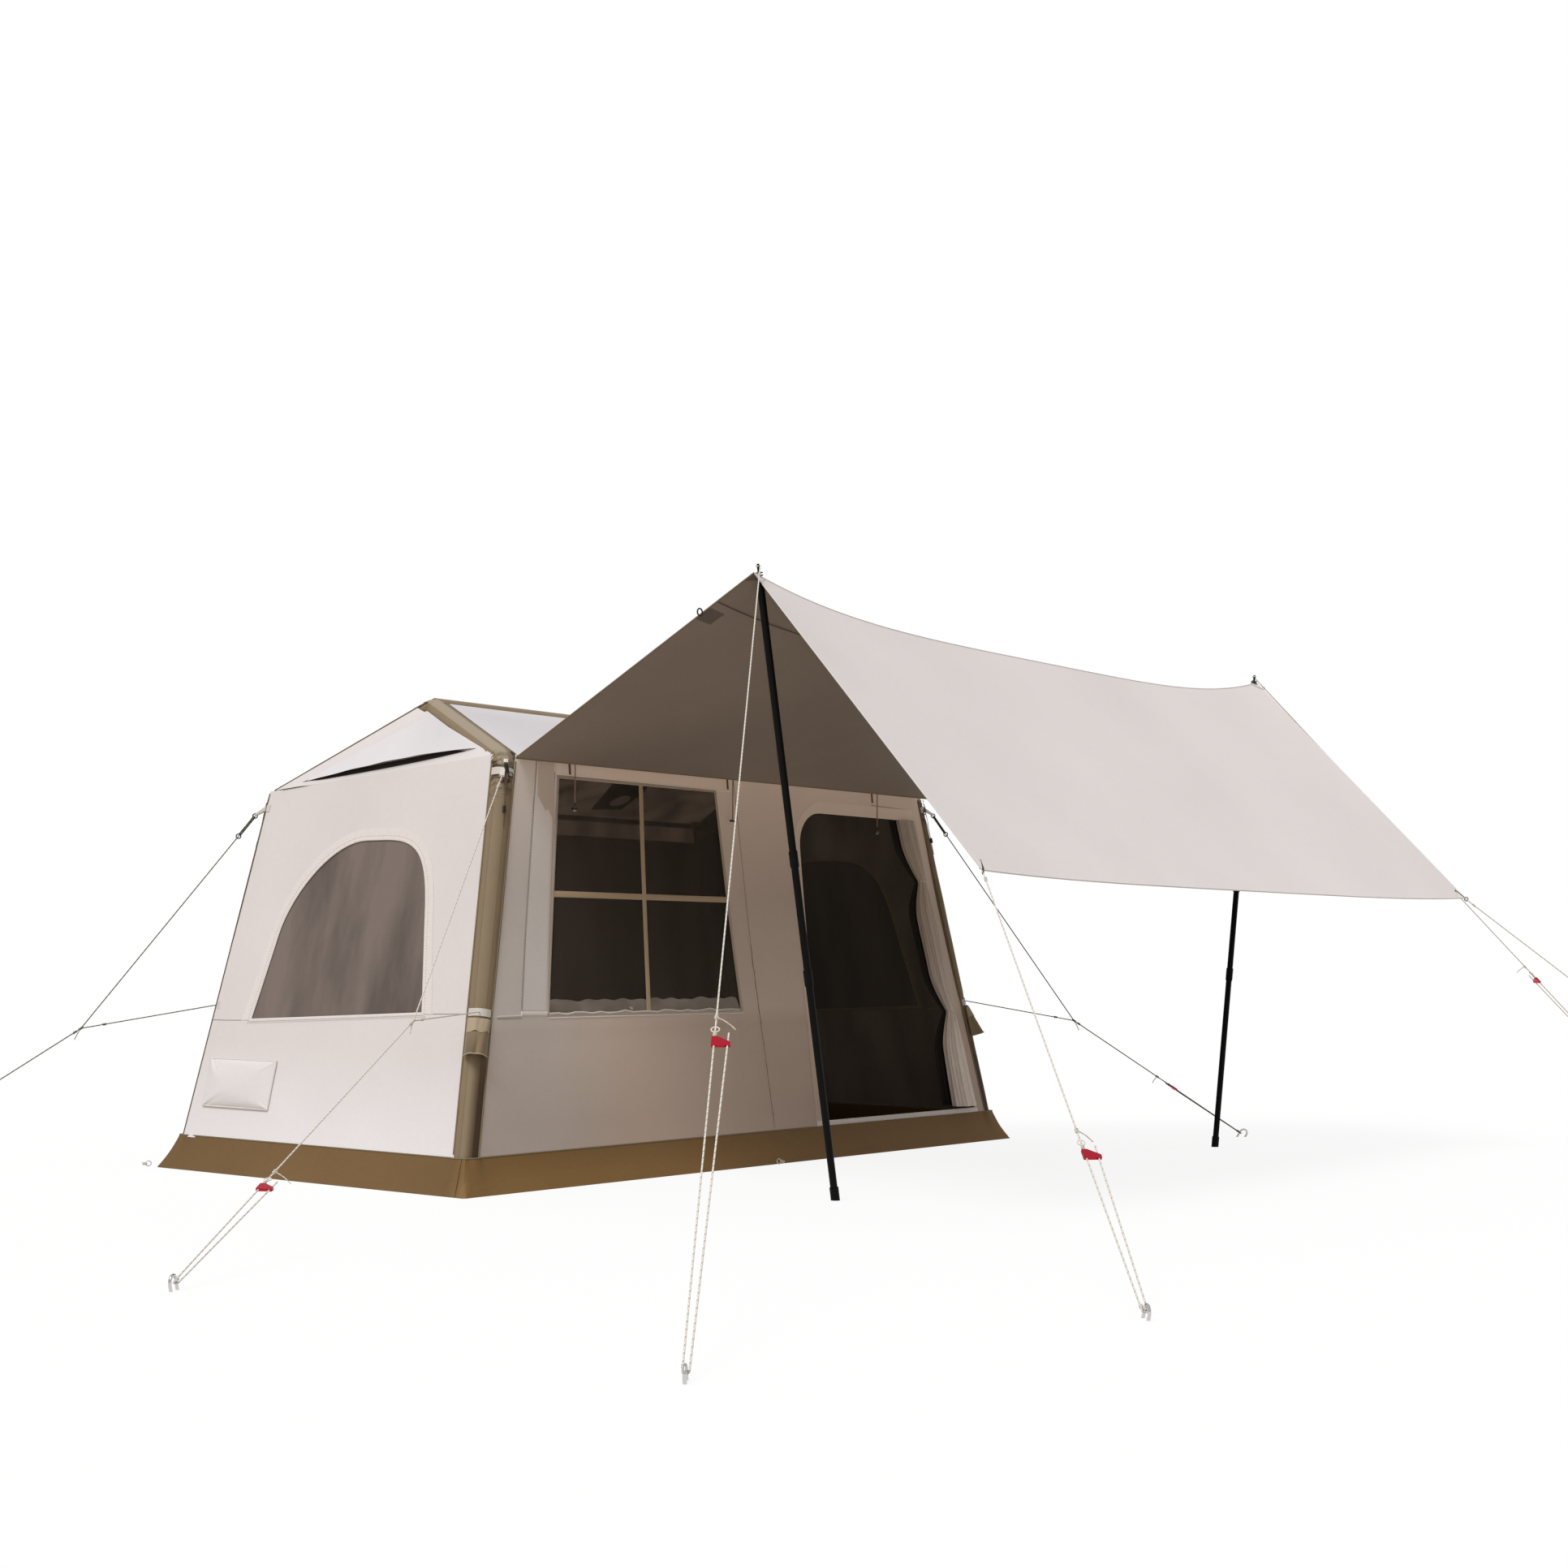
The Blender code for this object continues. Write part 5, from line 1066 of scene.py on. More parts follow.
frontWall = Surface(frontPlane, alongX, frontGive)
backWall = Surface(backPlane, alongX, frontGive)
leftWall = Surface(leftPlane, alongY, sideGive, backPlane)
frontRoof = Surface(frontSlope, alongX, slopeGive)
backRoof = Surface(backSlope, alongX, slopeGive)
gableAcross = upward.cross(gablePlane[1]).normalized()
gable = Surface(gablePlane, gableAcross if gableAcross.y > 0 else -gableAcross, None, backSlope)
sideEdge = shifted(leftPlane, -beamInset - wallEdge["beam"])
frontEdge = shifted(frontPlane, -beamInset - wallEdge["beam"])
backWrap, rearWrap = shifted(backPlane, 0.016 - beamInset), shifted(backSlope, 0.028 - beamInset)
gableEdge = shifted(gablePlane, -beamInset - wallEdge["beam"])
ridgeFront = shifted(frontSlope, -cabin["ridgeBeamInset"] - wallEdge["ridge"])
ridgeBack = shifted(backSlope, -cabin["ridgeBeamInset"] - wallEdge["ridge"])
roofUnder, rearUnder = shifted(frontSlope, -0.0009), shifted(backSlope, -0.0009)
lowEdge = levelAt(wallEdge["low"])
opening = {
    "sill": 0.685, "head": 1.672, "sillGap": 0.392, "headGap": 0.323, "sillWidth": 1.226, "headWidth": 1.007,
    "tape": 0.026, "tapeHeight": 1.18, "tapeShare": 0.508, "doorSill": 0.165, "doorHead": 1.61, "doorJamb": 0.15,
    "doorWidth": 1.25, "doorCorner": 0.17, "sideSill": 0.665, "sideSpring": 1.015, "sideCrown": 1.417,
    "sillHalf": 0.545, "springHalf": 0.473, "sideCentre": 0.034, "tilt": 0.024, "archPowers": (4.2, 1.95), "lap": 0.015,
    "ventSill": 0.29, "ventHeight": 0.16, "ventWidth": 0.40, "ventGap": 0.12, "flapLap": 0.022,
}


def outlineOf(kind, margin=0.0):
    # the (u, z) outline of the window, the door, the arched window or the vent, larger by a margin
    o = opening
    if kind == "window":
        low, high = cornerX(o["sill"]) + o["sillGap"], cornerX(o["head"]) + o["headGap"]
        return [(low - margin, o["sill"] - margin), (low + o["sillWidth"] + margin, o["sill"] - margin),
                (high + o["headWidth"] + margin, o["head"] + margin), (high - margin, o["head"] + margin)]
    if kind == "door":
        low, high = -cornerX(o["doorSill"]) - o["doorJamb"], -cornerX(o["doorHead"]) - o["doorJamb"]
        left = low - o["doorWidth"]
        spots = [(left - margin, o["doorSill"] - margin), (low + margin, o["doorSill"] - margin),
                 (high + margin, o["doorHead"] + margin)]
        for step in range(9):
            angle = pi / 2 * (1 + step / 8)
            reach = o["doorCorner"] + margin
            spots.append((left + o["doorCorner"] + reach * cos(angle),
                          o["doorHead"] - o["doorCorner"] + reach * sin(angle)))
        return spots
    if kind == "arch":
        centre = o["sideCentre"]
        spots = [(centre - o["sillHalf"] - margin, o["sideSill"] + o["tilt"] - margin)]
        lean = (o["sillHalf"] - o["springHalf"]) / (o["sideSpring"] - o["sideSill"])
        for step in range(33):
            angle = pi * (1 - step / 32)
            power = o["archPowers"][cos(angle) > 0]
            across = abs(cos(angle)) ** (2 / power) * (1 if cos(angle) > 0 else -1)
            rise = (o["sideCrown"] - o["sideSpring"] + margin) * max(0.0, sin(angle)) ** (2 / power)
            half = o["springHalf"] + margin - lean * rise
            spots.append((centre + half * across, o["sideSpring"] + rise))
        spots.append((centre + o["sillHalf"] + margin, o["sideSill"] - o["tilt"] - margin))
        return spots
    low, high = o["ventSill"] - margin, o["ventSill"] + o["ventHeight"] + margin
    edge = backCornerY(o["ventSill"] + o["ventHeight"]) - o["ventGap"]
    back, front = edge + margin, edge - o["ventWidth"] - margin
    return [(front, low), (back, low), (back, high), (front, high)]


def cornersOf(surface, *triples):
    return [surface.spot(meeting(*triple)) for triple in triples]


def mirrored(spots):
    return spots + [(-u, z) for u, z in spots[::-1]]


panel = {"thick": 0.0012, "gap": 0.022}


def makeCabin():
    outer = [finishes["pale"], finishes["coat"]]
    roofs = [finishes["roof"], finishes["ceiling"]]
    front = mirrored(cornersOf(frontWall, (frontPlane, sideEdge, lowEdge), (frontPlane, sideEdge, roofUnder)))
    holes = [outlineOf("window"), outlineOf("door")]
    wall = clothPanel("front_wall_cloth", frontWall, front, [finishes["front"], finishes["coat"]], holes,
                      panel["gap"], panel["thick"])
    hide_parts("front_wall")
    flatSheet(wall, frontWall, front, holes)
    back = mirrored(cornersOf(backWall, (backPlane, sideEdge, lowEdge), (backPlane, sideEdge, rearUnder)))
    wall = clothPanel("back_wall_cloth", backWall, back, outer, (), panel["gap"] * 1.6, panel["thick"])
    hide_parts("back_wall")
    flatSheet(wall, backWall, back)
    side = cornersOf(leftWall, (leftPlane, frontEdge, lowEdge), (leftPlane, frontEdge, gablePlane),
                     (leftPlane, backWrap, gablePlane), (leftPlane, backWrap, lowEdge))
    holes = [outlineOf("arch"), outlineOf("vent")]
    wall = clothPanel("left_wall_cloth", leftWall, side, outer, holes, panel["gap"], panel["thick"])
    for piece in bothSides(wall, "wall"):
        flatSheet(piece, leftWall, side, holes)
    triangle = cornersOf(gable, (gablePlane, leftPlane, frontEdge), (gablePlane, leftPlane, rearWrap),
                         (gablePlane, rearWrap, shifted(frontSlope, -beamInset - 0.014)))
    wall = clothPanel("left_gable_cloth", gable, triangle, outer, (), panel["gap"], panel["thick"])
    flatSheet(wall, gable, triangle)
    flatSheet(twin(wall), gable, triangle)
    lip = shifted(frontPlane, cabin["eaveLip"])
    lipLine = (meeting(lip, frontSlope, (Vector(), alongX)), Vector((0, -1, 0)))
    spots = mirrored(cornersOf(frontRoof, (frontSlope, sideEdge, lipLine), (frontSlope, sideEdge, gableEdge),
                               (frontSlope, gableEdge, ridgeBack)))
    roof = clothPanel("front_roof_cloth", frontRoof, spots, roofs, (), panel["gap"], panel["thick"])
    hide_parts("front_roof")
    flatSheet(roof, frontRoof, spots)
    rear = (meeting(backPlane, backSlope, (Vector(), alongX)) + alongY * 0.010, alongY)
    gableUnder = shifted(gablePlane, -beamInset - 0.003)
    spots = mirrored(cornersOf(backRoof, (backSlope, sideEdge, rear), (backSlope, sideEdge, gableUnder),
                               (backSlope, gableUnder, ridgeFront)))
    roof = clothPanel("back_roof_cloth", backRoof, spots, roofs, (), panel["gap"] * 1.4, panel["thick"])
    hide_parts("back_roof")
    flatSheet(roof, backRoof, spots)


def areaOf(spots):
    return abs(sum(a[0] * b[1] - b[0] * a[1] for a, b in zip(spots, spots[1:] + spots[:1]))) / 2


def flatSheet(obj, surface, spots, holes=()):
    # work out a flat panel's cut, its outline's box, and its area, what the openings leave; the values are not used
    slant = surface.up.z
    across = max(u for u, _ in spots) - min(u for u, _ in spots)
    tall = (max(z for _, z in spots) - min(z for _, z in spots)) / slant
    area = (areaOf(spots) - sum(areaOf(hole) for hole in holes)) / slant


makeCabin()
print("cabin cloth made")


# Air frame
def bendShare(point, corners, reach):
    return max(smoothStep(reach, reach * 0.3, (point - corner).length) for corner in corners)


def makeBeams():
    path = rounded([legPoint(0.014)] + archPoints[1:4] + [legPoint(0.014, True)], cabin["beamBend"], 12)
    path = resample(path, sleeve["ring"])
    bends = archPoints[1:4]
    bands = [strapMiddle(False), strapMiddle(True), legPoint(line["sillStrap"] - 0.015),
             legPoint(line["sillStrap"] - 0.015, True)]

    def reach(row, angle):
        point = path[row]
        near = bendShare(point, bends, 0.17)
        ripple = sin(row * 2.4 + 1.1 * sin(angle * 3)) * 0.5 + noise.noise(Vector((row * 0.9, angle * 1.5, 4))) * 0.8
        drawn = bendShare(point, bands, 0.05)
        slack = noise.noise(Vector((cos(angle) * 1.3, sin(angle) * 1.3, row * 0.16))) * 0.0012
        return 1 + (near * ripple * sleeve["gather"] - drawn * sleeve["pinch"] + slack) / beamRadius

    beam = tube("left_arch_sleeve", path, beamRadius, finishes["sleeve"], sleeve["sides"], "root", "tan_sleeve",
                reach, legAxes()[1])
    bothSides(beam, "arch_beam")
    start, end = archPoints[2], flipX(archPoints[2])
    middle = [meeting(shifted(frontSlope, -cabin["ridgeBeamInset"]), shifted(backSlope, -cabin["ridgeBeamInset"]),
                      (Vector((x, 0, 0)), alongX)) for x in (start.x, end.x)]
    ridge = tube("ridge_beam_sleeve", resample(middle, sleeve["ring"] * 2), cabin["ridgeBeamRadius"],
                 finishes["sleeve"], 32, "root", "tan_sleeve", None, upward)
    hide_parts("ridge_beam")


hood = {"rise": 0.060, "drop": 0.030, "stand": 0.030, "reach": 0.94, "levels": 18, "columns": 48, "thick": 0.0012}


def makeHoods():
    rise = hood["rise"] - hood["drop"]
    seamFront, seamBack = shifted(frontSlope, -beamInset), shifted(backSlope, -beamInset)
    low = meeting(gablePlane, seamFront, levelAt(cabin["eaveFront"] + rise))
    lowBack = meeting(gablePlane, seamBack, levelAt(cabin["eaveBack"] + rise))
    peak = meeting(gablePlane, seamFront, seamBack)
    levels, columns = hood["levels"], hood["columns"]

    def at(row, column):
        share, along = hood["reach"] * row / levels, column / columns
        out = hood["stand"] * sin(pi * along ** 0.75) * (1 - row / levels) ** 2
        wave = 0.0016 * sin(along * 31) * (1 - row / levels) * sin(pi * along)
        level = low.lerp(peak, share).lerp(lowBack.lerp(peak, share), along)
        return level + gablePlane[1] * (0.0016 + out + wave)

    # a dark vent mesh strip under the hood, which also stands in as painted shade for the dark slit there
    shares = [0.05 + 0.09 * k for k in range(11)]
    slit = [gable.spot(low.lerp(lowBack, share)) for share in shares]
    vent = [(u, z - 0.010 * sin(pi * share ** 0.75)) for (u, z), share in zip(slit, shares)]
    vent += [(u, z + 0.016) for u, z in slit[1:-1][::-1]]
    twin(clothPanel("left_gable_vent", gable, vent, [finishes["ventMesh"]] * 2, (), 0.03, 0.0006, 0.0010, "root",
                    "window_mesh"))
    cloth = gridSheet("left_hood_cloth", gridOf(levels, columns, at), [finishes["roof"], finishes["coat"]],
                      hood["thick"], flip=True)
    for piece in bothSides(cloth, "gable_hood"):
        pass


def skirtCorner(z, reach, back):
    # the skirt's outline round a leg, at a height: along both walls, and out round the beam
    steps = 28
    share = z / cabin["skirtHeight"]
    middle = legPoint(z, back)
    toSide = halfLength - cabin["skirtFlare"] * share - cabin["cloth"] + reach - abs(middle.x)
    toFront = halfWidth - cabin["skirtFlare"] * share - cabin["cloth"] + reach - abs(middle.y)
    bulge = (beamRadius + line["gap"]) * 1.06 + reach
    spots = []
    for step in range(steps + 1):
        angle = radians(-65 + 220 * step / steps)
        straight = min(toSide / cos(angle) if cos(angle) > 0.01 else 9.0,
                       toFront / sin(angle) if sin(angle) > 0.01 else 9.0)
        length = max(straight, bulge)
        spots.append(Vector((middle.x - cos(angle) * length,
                             middle.y + (sin(angle) if back else -sin(angle)) * length, z)))
    return spots


def skirtRing(z, parts=None):
    front, back = skirtCorner(z, 0.0025, False), skirtCorner(z, 0.0025, True)
    ring = front + [flipX(p) for p in front[::-1]] + [flipX(p) for p in back] + back[::-1]
    pairs = list(zip(ring, ring[1:] + ring[:1]))
    parts = parts or [max(1, ceil((b - a).length / 0.04)) for a, b in pairs]
    dense = []
    for (a, b), count in zip(pairs, parts):
        dense += [a.lerp(b, k / count) for k in range(count)]
    return dense, parts


def makeSkirt():
    base, parts = skirtRing(0.0)
    top, _ = skirtRing(cabin["skirtHeight"], parts)
    rows = []
    for z in (0.0, 0.010, 0.022, 0.040, 0.060, 0.080, 0.100, 0.120, cabin["skirtHeight"]):
        share = z / cabin["skirtHeight"]
        ring = []
        for low, high in zip(base, top):
            point = low.lerp(high, share)
            out = Vector((low.x - high.x, low.y - high.y, 0)).normalized()
            wave = 0.0035 * noise.noise(Vector((point.x * 2.6, point.y * 2.6, z * 5))) * sin(pi * share)
            ring.append(point + out * (wave - 0.004 * sin(pi * share)))
        rows.append(ring)
    skirt = gridSheet("mud_skirt_cloth", rows, [finishes["skirt"]] * 2, 0.0015, "root", "brown_cloth", loop=True)
    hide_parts("mud_skirt")
    around = sum((b - a).length for a, b in zip(base, base[1:]))


def makeGroundsheet():
    edge = cabin["skirtFlare"] / cabin["skirtHeight"] * 0.005 + cabin["cloth"] + line["gap"]
    across, deep = halfLength - edge, halfWidth - edge

    def at(r, c):
        x, y = -across + 2 * across * c / 80, -deep + 2 * deep * r / 40
        lift = 0.0022 * noise.noise(Vector((x * 2.1, y * 2.4, 1.7))) * min(1.0, (deep - abs(y)) * 8)
        return Vector((x * (1 if abs(y) < deep - 0.03 else 0.992), y, 0.0032 + lift))

    sheet = gridSheet("groundsheet_cloth", gridOf(40, 80, at), [finishes["ground"]] * 2, 0.0014, "root",
                      "brown_cloth")
    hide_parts("groundsheet")


finishes["skirt"] = clothFinish("brownSkirt", (0.168, 0.096, 0.034), 0.66, 0.08, 0.8, 0.0030, 0.0)
# painted light: the skirt's front face lighter
frontLight = finishes["skirt"].ramp(finishes["skirt"].axes()[1] * -1.0, [(0.86, 0.0), (0.95, 1.0)])
finishes["skirt"].tint(frontLight, (1.45, 1.45, 1.40))
finishes["ground"] = clothFinish("brownGround", (0.075, 0.048, 0.028), 0.60, 0.12, 0.6, 0.0030, 0.0)
makeBeams()
makeHoods()
makeSkirt()
makeGroundsheet()
print("beams, hoods, skirt and groundsheet made")


# Window and door furniture
def inset(spots, distance):
    # the outline moved inward (or outward, below 0) by a distance
    made, count = [], len(spots)
    turn = 1 if sum(a[0] * b[1] - b[0] * a[1] for a, b in zip(spots, spots[1:] + spots[:1])) > 0 else -1
    for k in range(count):
        a, b, c = (Vector(spots[(k + d) % count]) for d in (-1, 0, 1))
        into, out = (b - a).normalized(), (c - b).normalized()
        first, second = Vector((-into.y, into.x)) * turn, Vector((-out.y, out.x)) * turn
        mean = (first + second).normalized()
        made.append(tuple(b + mean * (distance / max(0.35, mean.dot(first)))))
    return made


def loopStrip(name, surface, spots, width, height, finish, lift=0.0):
    # a flat closed border with mitred corners: an outer and an inner loop, raised between
    gap = 0.018
    offsets = [-width / 2, -width * 0.42, -width * 0.30, width * 0.30, width * 0.42, width / 2]
    heights = [0.0, height * 0.75, height, height, height * 0.75, 0.0]
    loops = [inset(spots, offset) for offset in offsets]
    rings = []
    for loop, rise in zip(loops, heights):
        ring = []
        for k, (au, az) in enumerate(loop):
            bu, bz = loop[(k + 1) % len(loop)]
            cu, cz = spots[k]
            du, dz = spots[(k + 1) % len(spots)]
            count = max(1, round(hypot(du - cu, dz - cz) / gap))
            ring += [surface.at(au + (bu - au) * j / count, az + (bz - az) * j / count, lift + rise)
                     for j in range(count)]
        rings.append(ring)
    verts = [point for ring in rings for point in ring]
    size, faces, uvs, run = len(rings[0]), [], [], 0.0
    for k in range(size):
        t = (k + 1) % size
        step = (rings[0][t] - rings[0][k]).length
        for r in range(len(rings)):
            n = (r + 1) % len(rings)
            faces.append((r * size + k, r * size + t, n * size + t, n * size + k))
            uvs += [(offsets[r], run), (offsets[r], run + step), (offsets[n], run + step), (offsets[n], run)]
        run += step
    obj = newPiece(name, verts, faces, finish, "root", "pale_cloth", None, uvs)
    faceOut(obj)
    return obj


furniture = {"meshDrop": 0.0035, "meshThick": 0.0008, "border": 0.014, "borderHeight": 0.0022, "tapeThick": 0.0014,
             "rollRadius": 0.041, "rollGap": 0.011, "rollRise": 0.038}


def makeFrontWindow():
    o = opening
    outline, lapped = outlineOf("window"), outlineOf("window", o["lap"])
    mesh = clothPanel("front_window_cloth", frontWall, lapped, [finishes["frontMesh"]] * 2, (), 0.03,
                      furniture["meshThick"], -furniture["meshDrop"], "root", "window_mesh")
    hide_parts("front_window_mesh")
    flatSheet(mesh, frontWall, lapped)
    loopStrip("front_window_border", frontWall, outline, furniture["border"], furniture["borderHeight"],
              finishes["frontBinding"])
    share = (o["tapeHeight"] - o["sill"]) / (o["head"] - o["sill"])
    lowLeft, lowRight, highRight, highLeft = outline

    def mix(a, b, t):
        return a[0] + (b[0] - a[0]) * t, a[1] + (b[1] - a[1]) * t

    level = [mix(lowLeft, highLeft, share), mix(lowRight, highRight, share)]
    upright = [mix(lowLeft, lowRight, o["tapeShare"] - 0.012), mix(highLeft, highRight, o["tapeShare"])]
    tapes = []
    for spots, rise in ((level, -0.0006), (upright, 0.0002)):
        points = frontWall.path(spots, rise - 0.0012, 0.03)
        tapes.append(ribbonMesh(points, frontWall.normal, o["tape"], furniture["tapeThick"]))
    cross = joined("front_window_tape_cross", tapes, finishes["tape"], "root", "tan_sleeve")
    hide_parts("front_window_tapes")
    reach = furniture["rollRadius"] + furniture["rollGap"]
    points, steps = [], 96
    for step in range(steps + 1):
        t = step / steps
        u, z = mix(lapped[0], lapped[1], t)
        points.append(frontWall.at(u, z + furniture["rollRise"], -reach - 0.002 * sin(t * 40)))

    def slump(row, angle):
        wave = 0.16 * noise.noise(Vector((row * 0.16, cos(angle) * 1.2, sin(angle) * 1.2)))
        pleats = 0.07 * sin(row * 0.8 + 2.5 * sin(angle)) + 0.05 * sin(row * 0.37 - 3 * angle)
        return (0.94 + wave * 1.4 + pleats) * (0.75 if row in (0, steps) else 1.0)

    roll = tube("front_window_cover_cloth", points, furniture["rollRadius"], finishes["cover"], 28, "root",
                "brown_cloth", slump)
    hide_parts("front_window_cover_roll")


def makeSideWindow():
    lapped = outlineOf("arch", opening["lap"])
    thick, lift = furniture["meshThick"], -furniture["meshDrop"]
    mesh = clothPanel("left_window_cloth", leftWall, lapped, [finishes["sideMesh"], finishes["innerMesh"]], (), 0.03,
                      thick, lift, "root", "window_mesh")
    for piece in bothSides(mesh, "window_mesh"):
        flatSheet(piece, leftWall, lapped)
    twin(loopStrip("left_window_border", leftWall, outlineOf("arch"), furniture["border"], 0.0024,
                   finishes["binding"]))
    twin(clothPanel("left_vent_mesh", leftWall, outlineOf("vent", 0.008), [finishes["ventMesh"]] * 2, (), 0.03,
                    thick, lift, "root", "window_mesh"))


def curtainHalf(z):
    near = min(abs(z - tie) for tie in curtain["ties"])
    belly = curtain["belly"]
    if z < curtain["ties"][1]:
        belly += (curtain["foot"] - belly) * (curtain["ties"][1] - z) / curtain["ties"][1]
    return curtain["waist"] + (belly - curtain["waist"]) * sin(min(1.0, near / curtain["gather"]) * pi / 2)


curtain = {"ties": (1.300, 0.650), "waist": 0.028, "belly": 0.062, "foot": 0.090, "folds": 7, "gather": 0.200,
           "depth": 0.62, "lift": 0.012, "share": 0.70, "sides": 112, "levels": 96}


def makeCurtain(name, finish, node, slot, share=1.0, behind=False):
    low, high = opening["doorSill"] + curtain["lift"], opening["doorHead"] - 0.0006
    sides, levels, rings = curtain["sides"], curtain["levels"], []
    phase = -pi / 2 if behind else pi / 2
    for step in range(levels + 1):
        z = low + (high - low) * step / levels
        full = curtainHalf(z)
        jamb = -cornerX(z) - opening["doorJamb"] - 0.0006
        back = ((1 + share) * full * curtain["depth"] + 0.0006) if behind else 0.0
        middle = meeting(frontPlane, levelAt(z), (Vector((jamb - full, 0, 0)), alongX)) + alongY * back
        half = full * share
        tight = max(smoothStep(0.05, 0.0, abs(z - tie)) for tie in curtain["ties"])
        ring = []
        for k in range(sides):
            angle = 2 * pi * k / sides
            pleat = 1 - 0.16 * (0.5 - 0.5 * cos(curtain["folds"] * angle + phase + 0.4 * sin(z * 9)))
            fine = 0.045 * sin(19 * angle + 3 * sin(z * 5)) * (1 - 0.6 * tight)
            fine += 0.05 * noise.noise(Vector((cos(angle) * 2, sin(angle) * 2, z * 5)))
            reach = Vector((cos(angle) * half, sin(angle) * half * curtain["depth"], 0))
            ring.append(middle + reach * (pleat - 0.02 + fine))
        rings.append(ring)
    verts = [point for ring in rings for point in ring]
    faces = []
    for r in range(levels):
        for k in range(sides):
            t = (k + 1) % sides
            faces.append((r * sides + k, r * sides + t, (r + 1) * sides + t, (r + 1) * sides + k))
    faces += [tuple(range(sides))[::-1], tuple(levels * sides + k for k in range(sides))]
    obj = newPiece(name, verts, faces, finish, "root", slot, smooth=60)
    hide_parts(node)


pad = {"voxel": 0.004, "pressure": 5.0, "cap": 0.011, "frames": 20, "mass": 0.25, "stretch": 9.0, "bend": 0.08}


def baked(obj):
    mesh = bpy.data.meshes.new_from_object(obj.evaluated_get(bpy.context.evaluated_depsgraph_get()))
    obj.modifiers.clear()
    obj.data = mesh
    return mesh


def puffed(obj, held):
    # swell a closed pad by a cloth simulation. The held points stay where they are
    scene = bpy.context.scene
    even = obj.modifiers.new("Even", "REMESH")
    even.mode, even.voxel_size = "VOXEL", pad["voxel"]
    mesh = baked(obj)
    group = obj.vertex_groups.new(name="held")
    group.add([vert.index for vert in mesh.vertices if held(vert.co)], 1.0, "REPLACE")
    cloth = obj.modifiers.new("Puff", "CLOTH")
    rules = cloth.settings
    rules.quality, rules.mass, rules.vertex_group_mass = 6, pad["mass"], "held"
    rules.tension_stiffness = rules.compression_stiffness = pad["stretch"]
    rules.bending_stiffness = pad["bend"]
    rules.use_pressure, rules.uniform_pressure_force = True, pad["pressure"]
    rules.effector_weights.gravity = 0
    cloth.point_cache.frame_end = pad["frames"]
    for frameNumber in range(1, pad["frames"] + 1):
        scene.frame_set(frameNumber)
    swollen = obj.evaluated_get(bpy.context.evaluated_depsgraph_get())
    moves = [after.co - before.co for before, after in zip(mesh.vertices, swollen.data.vertices)]
    obj.modifiers.clear()
    for vert, move in zip(mesh.vertices, moves):
        vert.co += move * min(1.0, pad["cap"] / max(1e-6, move.length))
    scene.frame_set(1)
    obj.vertex_groups.clear()
    obj.modifiers.new("Smooth", "SUBSURF").levels = 1
    baked(obj).shade_smooth()


def makeVentFlap():
    outline = outlineOf("vent", opening["flapLap"])
    (frontU, lowZ), (backU, _), (_, highZ), _ = outline
    columns, rows = 44, 24

    def innerAt(r, c, rise=0.0006):
        u, z = frontU + (backU - frontU) * c / columns, lowZ + (highZ - lowZ) * r / rows
        return leftWall.at(u, z, rise - leftWall.bend(u, z))

    def outerAt(r, c):
        crown = (sin(pi * c / columns) * sin(pi * r / rows)) ** 0.6
        return innerAt(r, c, 0.0006 + (0.008 + 0.012 * crown))

    width = columns + 1
    verts = [p for at in (outerAt, innerAt) for row in gridOf(rows, columns, at) for p in row]
    count = width * (rows + 1)
    faces = []
    for r in range(rows):
        for c in range(columns):
            k = r * width + c
            faces.append((k, k + 1, k + width + 1, k + width))
            faces.append((count + k, count + k + width, count + k + width + 1, count + k + 1))
    rim = [r * width for r in range(rows + 1)][::-1] + list(range(1, width))
    rim += [r * width + columns for r in range(1, rows + 1)]
    rim += [rows * width + c for c in range(columns - 1, 0, -1)]
    faces += [(t, s, s + count, t + count) for s, t in zip(rim, rim[1:] + rim[:1])]
    flap = newPiece("left_vent_flap_pad", verts, faces, finishes["pale"], "left_vent_flap", "pale_cloth", smooth=60)
    faceOut(flap)
    puffed(flap, lambda spot: (spot - leftWall.origin).dot(leftWall.normal) < 0.0052)
    rim = inset(outline, 0.001)
    route = [leftWall.at(u, z, 0.0046 - leftWall.bend(u, z)) for u, z in
             [(a[0] + (b[0] - a[0]) * k / 12, a[1] + (b[1] - a[1]) * k / 12)
              for a, b in zip(rim, rim[1:] + rim[:1]) for k in range(12)]]
    twin(tube("left_vent_flap_piping", route + route[:1], 0.0034, finishes["binding"], 8, "left_vent_flap",
              "pale_cloth"))
    for piece in bothSides(flap, "vent_flap"):
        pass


def makeBand(name, top, back, radius):
    # a strap round the outer side of a leg
    _, out, across = legAxes(back)
    tall, thick, half = line["strapHeight"], line["strapThick"], radians(57)
    rows, steps = [], 24
    for level in range(5):
        z = top - tall + tall * level / 4
        middle = legPoint(z, back)
        rows.append([middle + (out * cos(a) + across * sin(a)) * (radius + thick)
                     for a in [half * (2 * k / steps - 1) for k in range(steps + 1)]])
    return gridSheet(name, rows, [finishes["web"]] * 2, thick, "root", "white_webbing", flip=back)


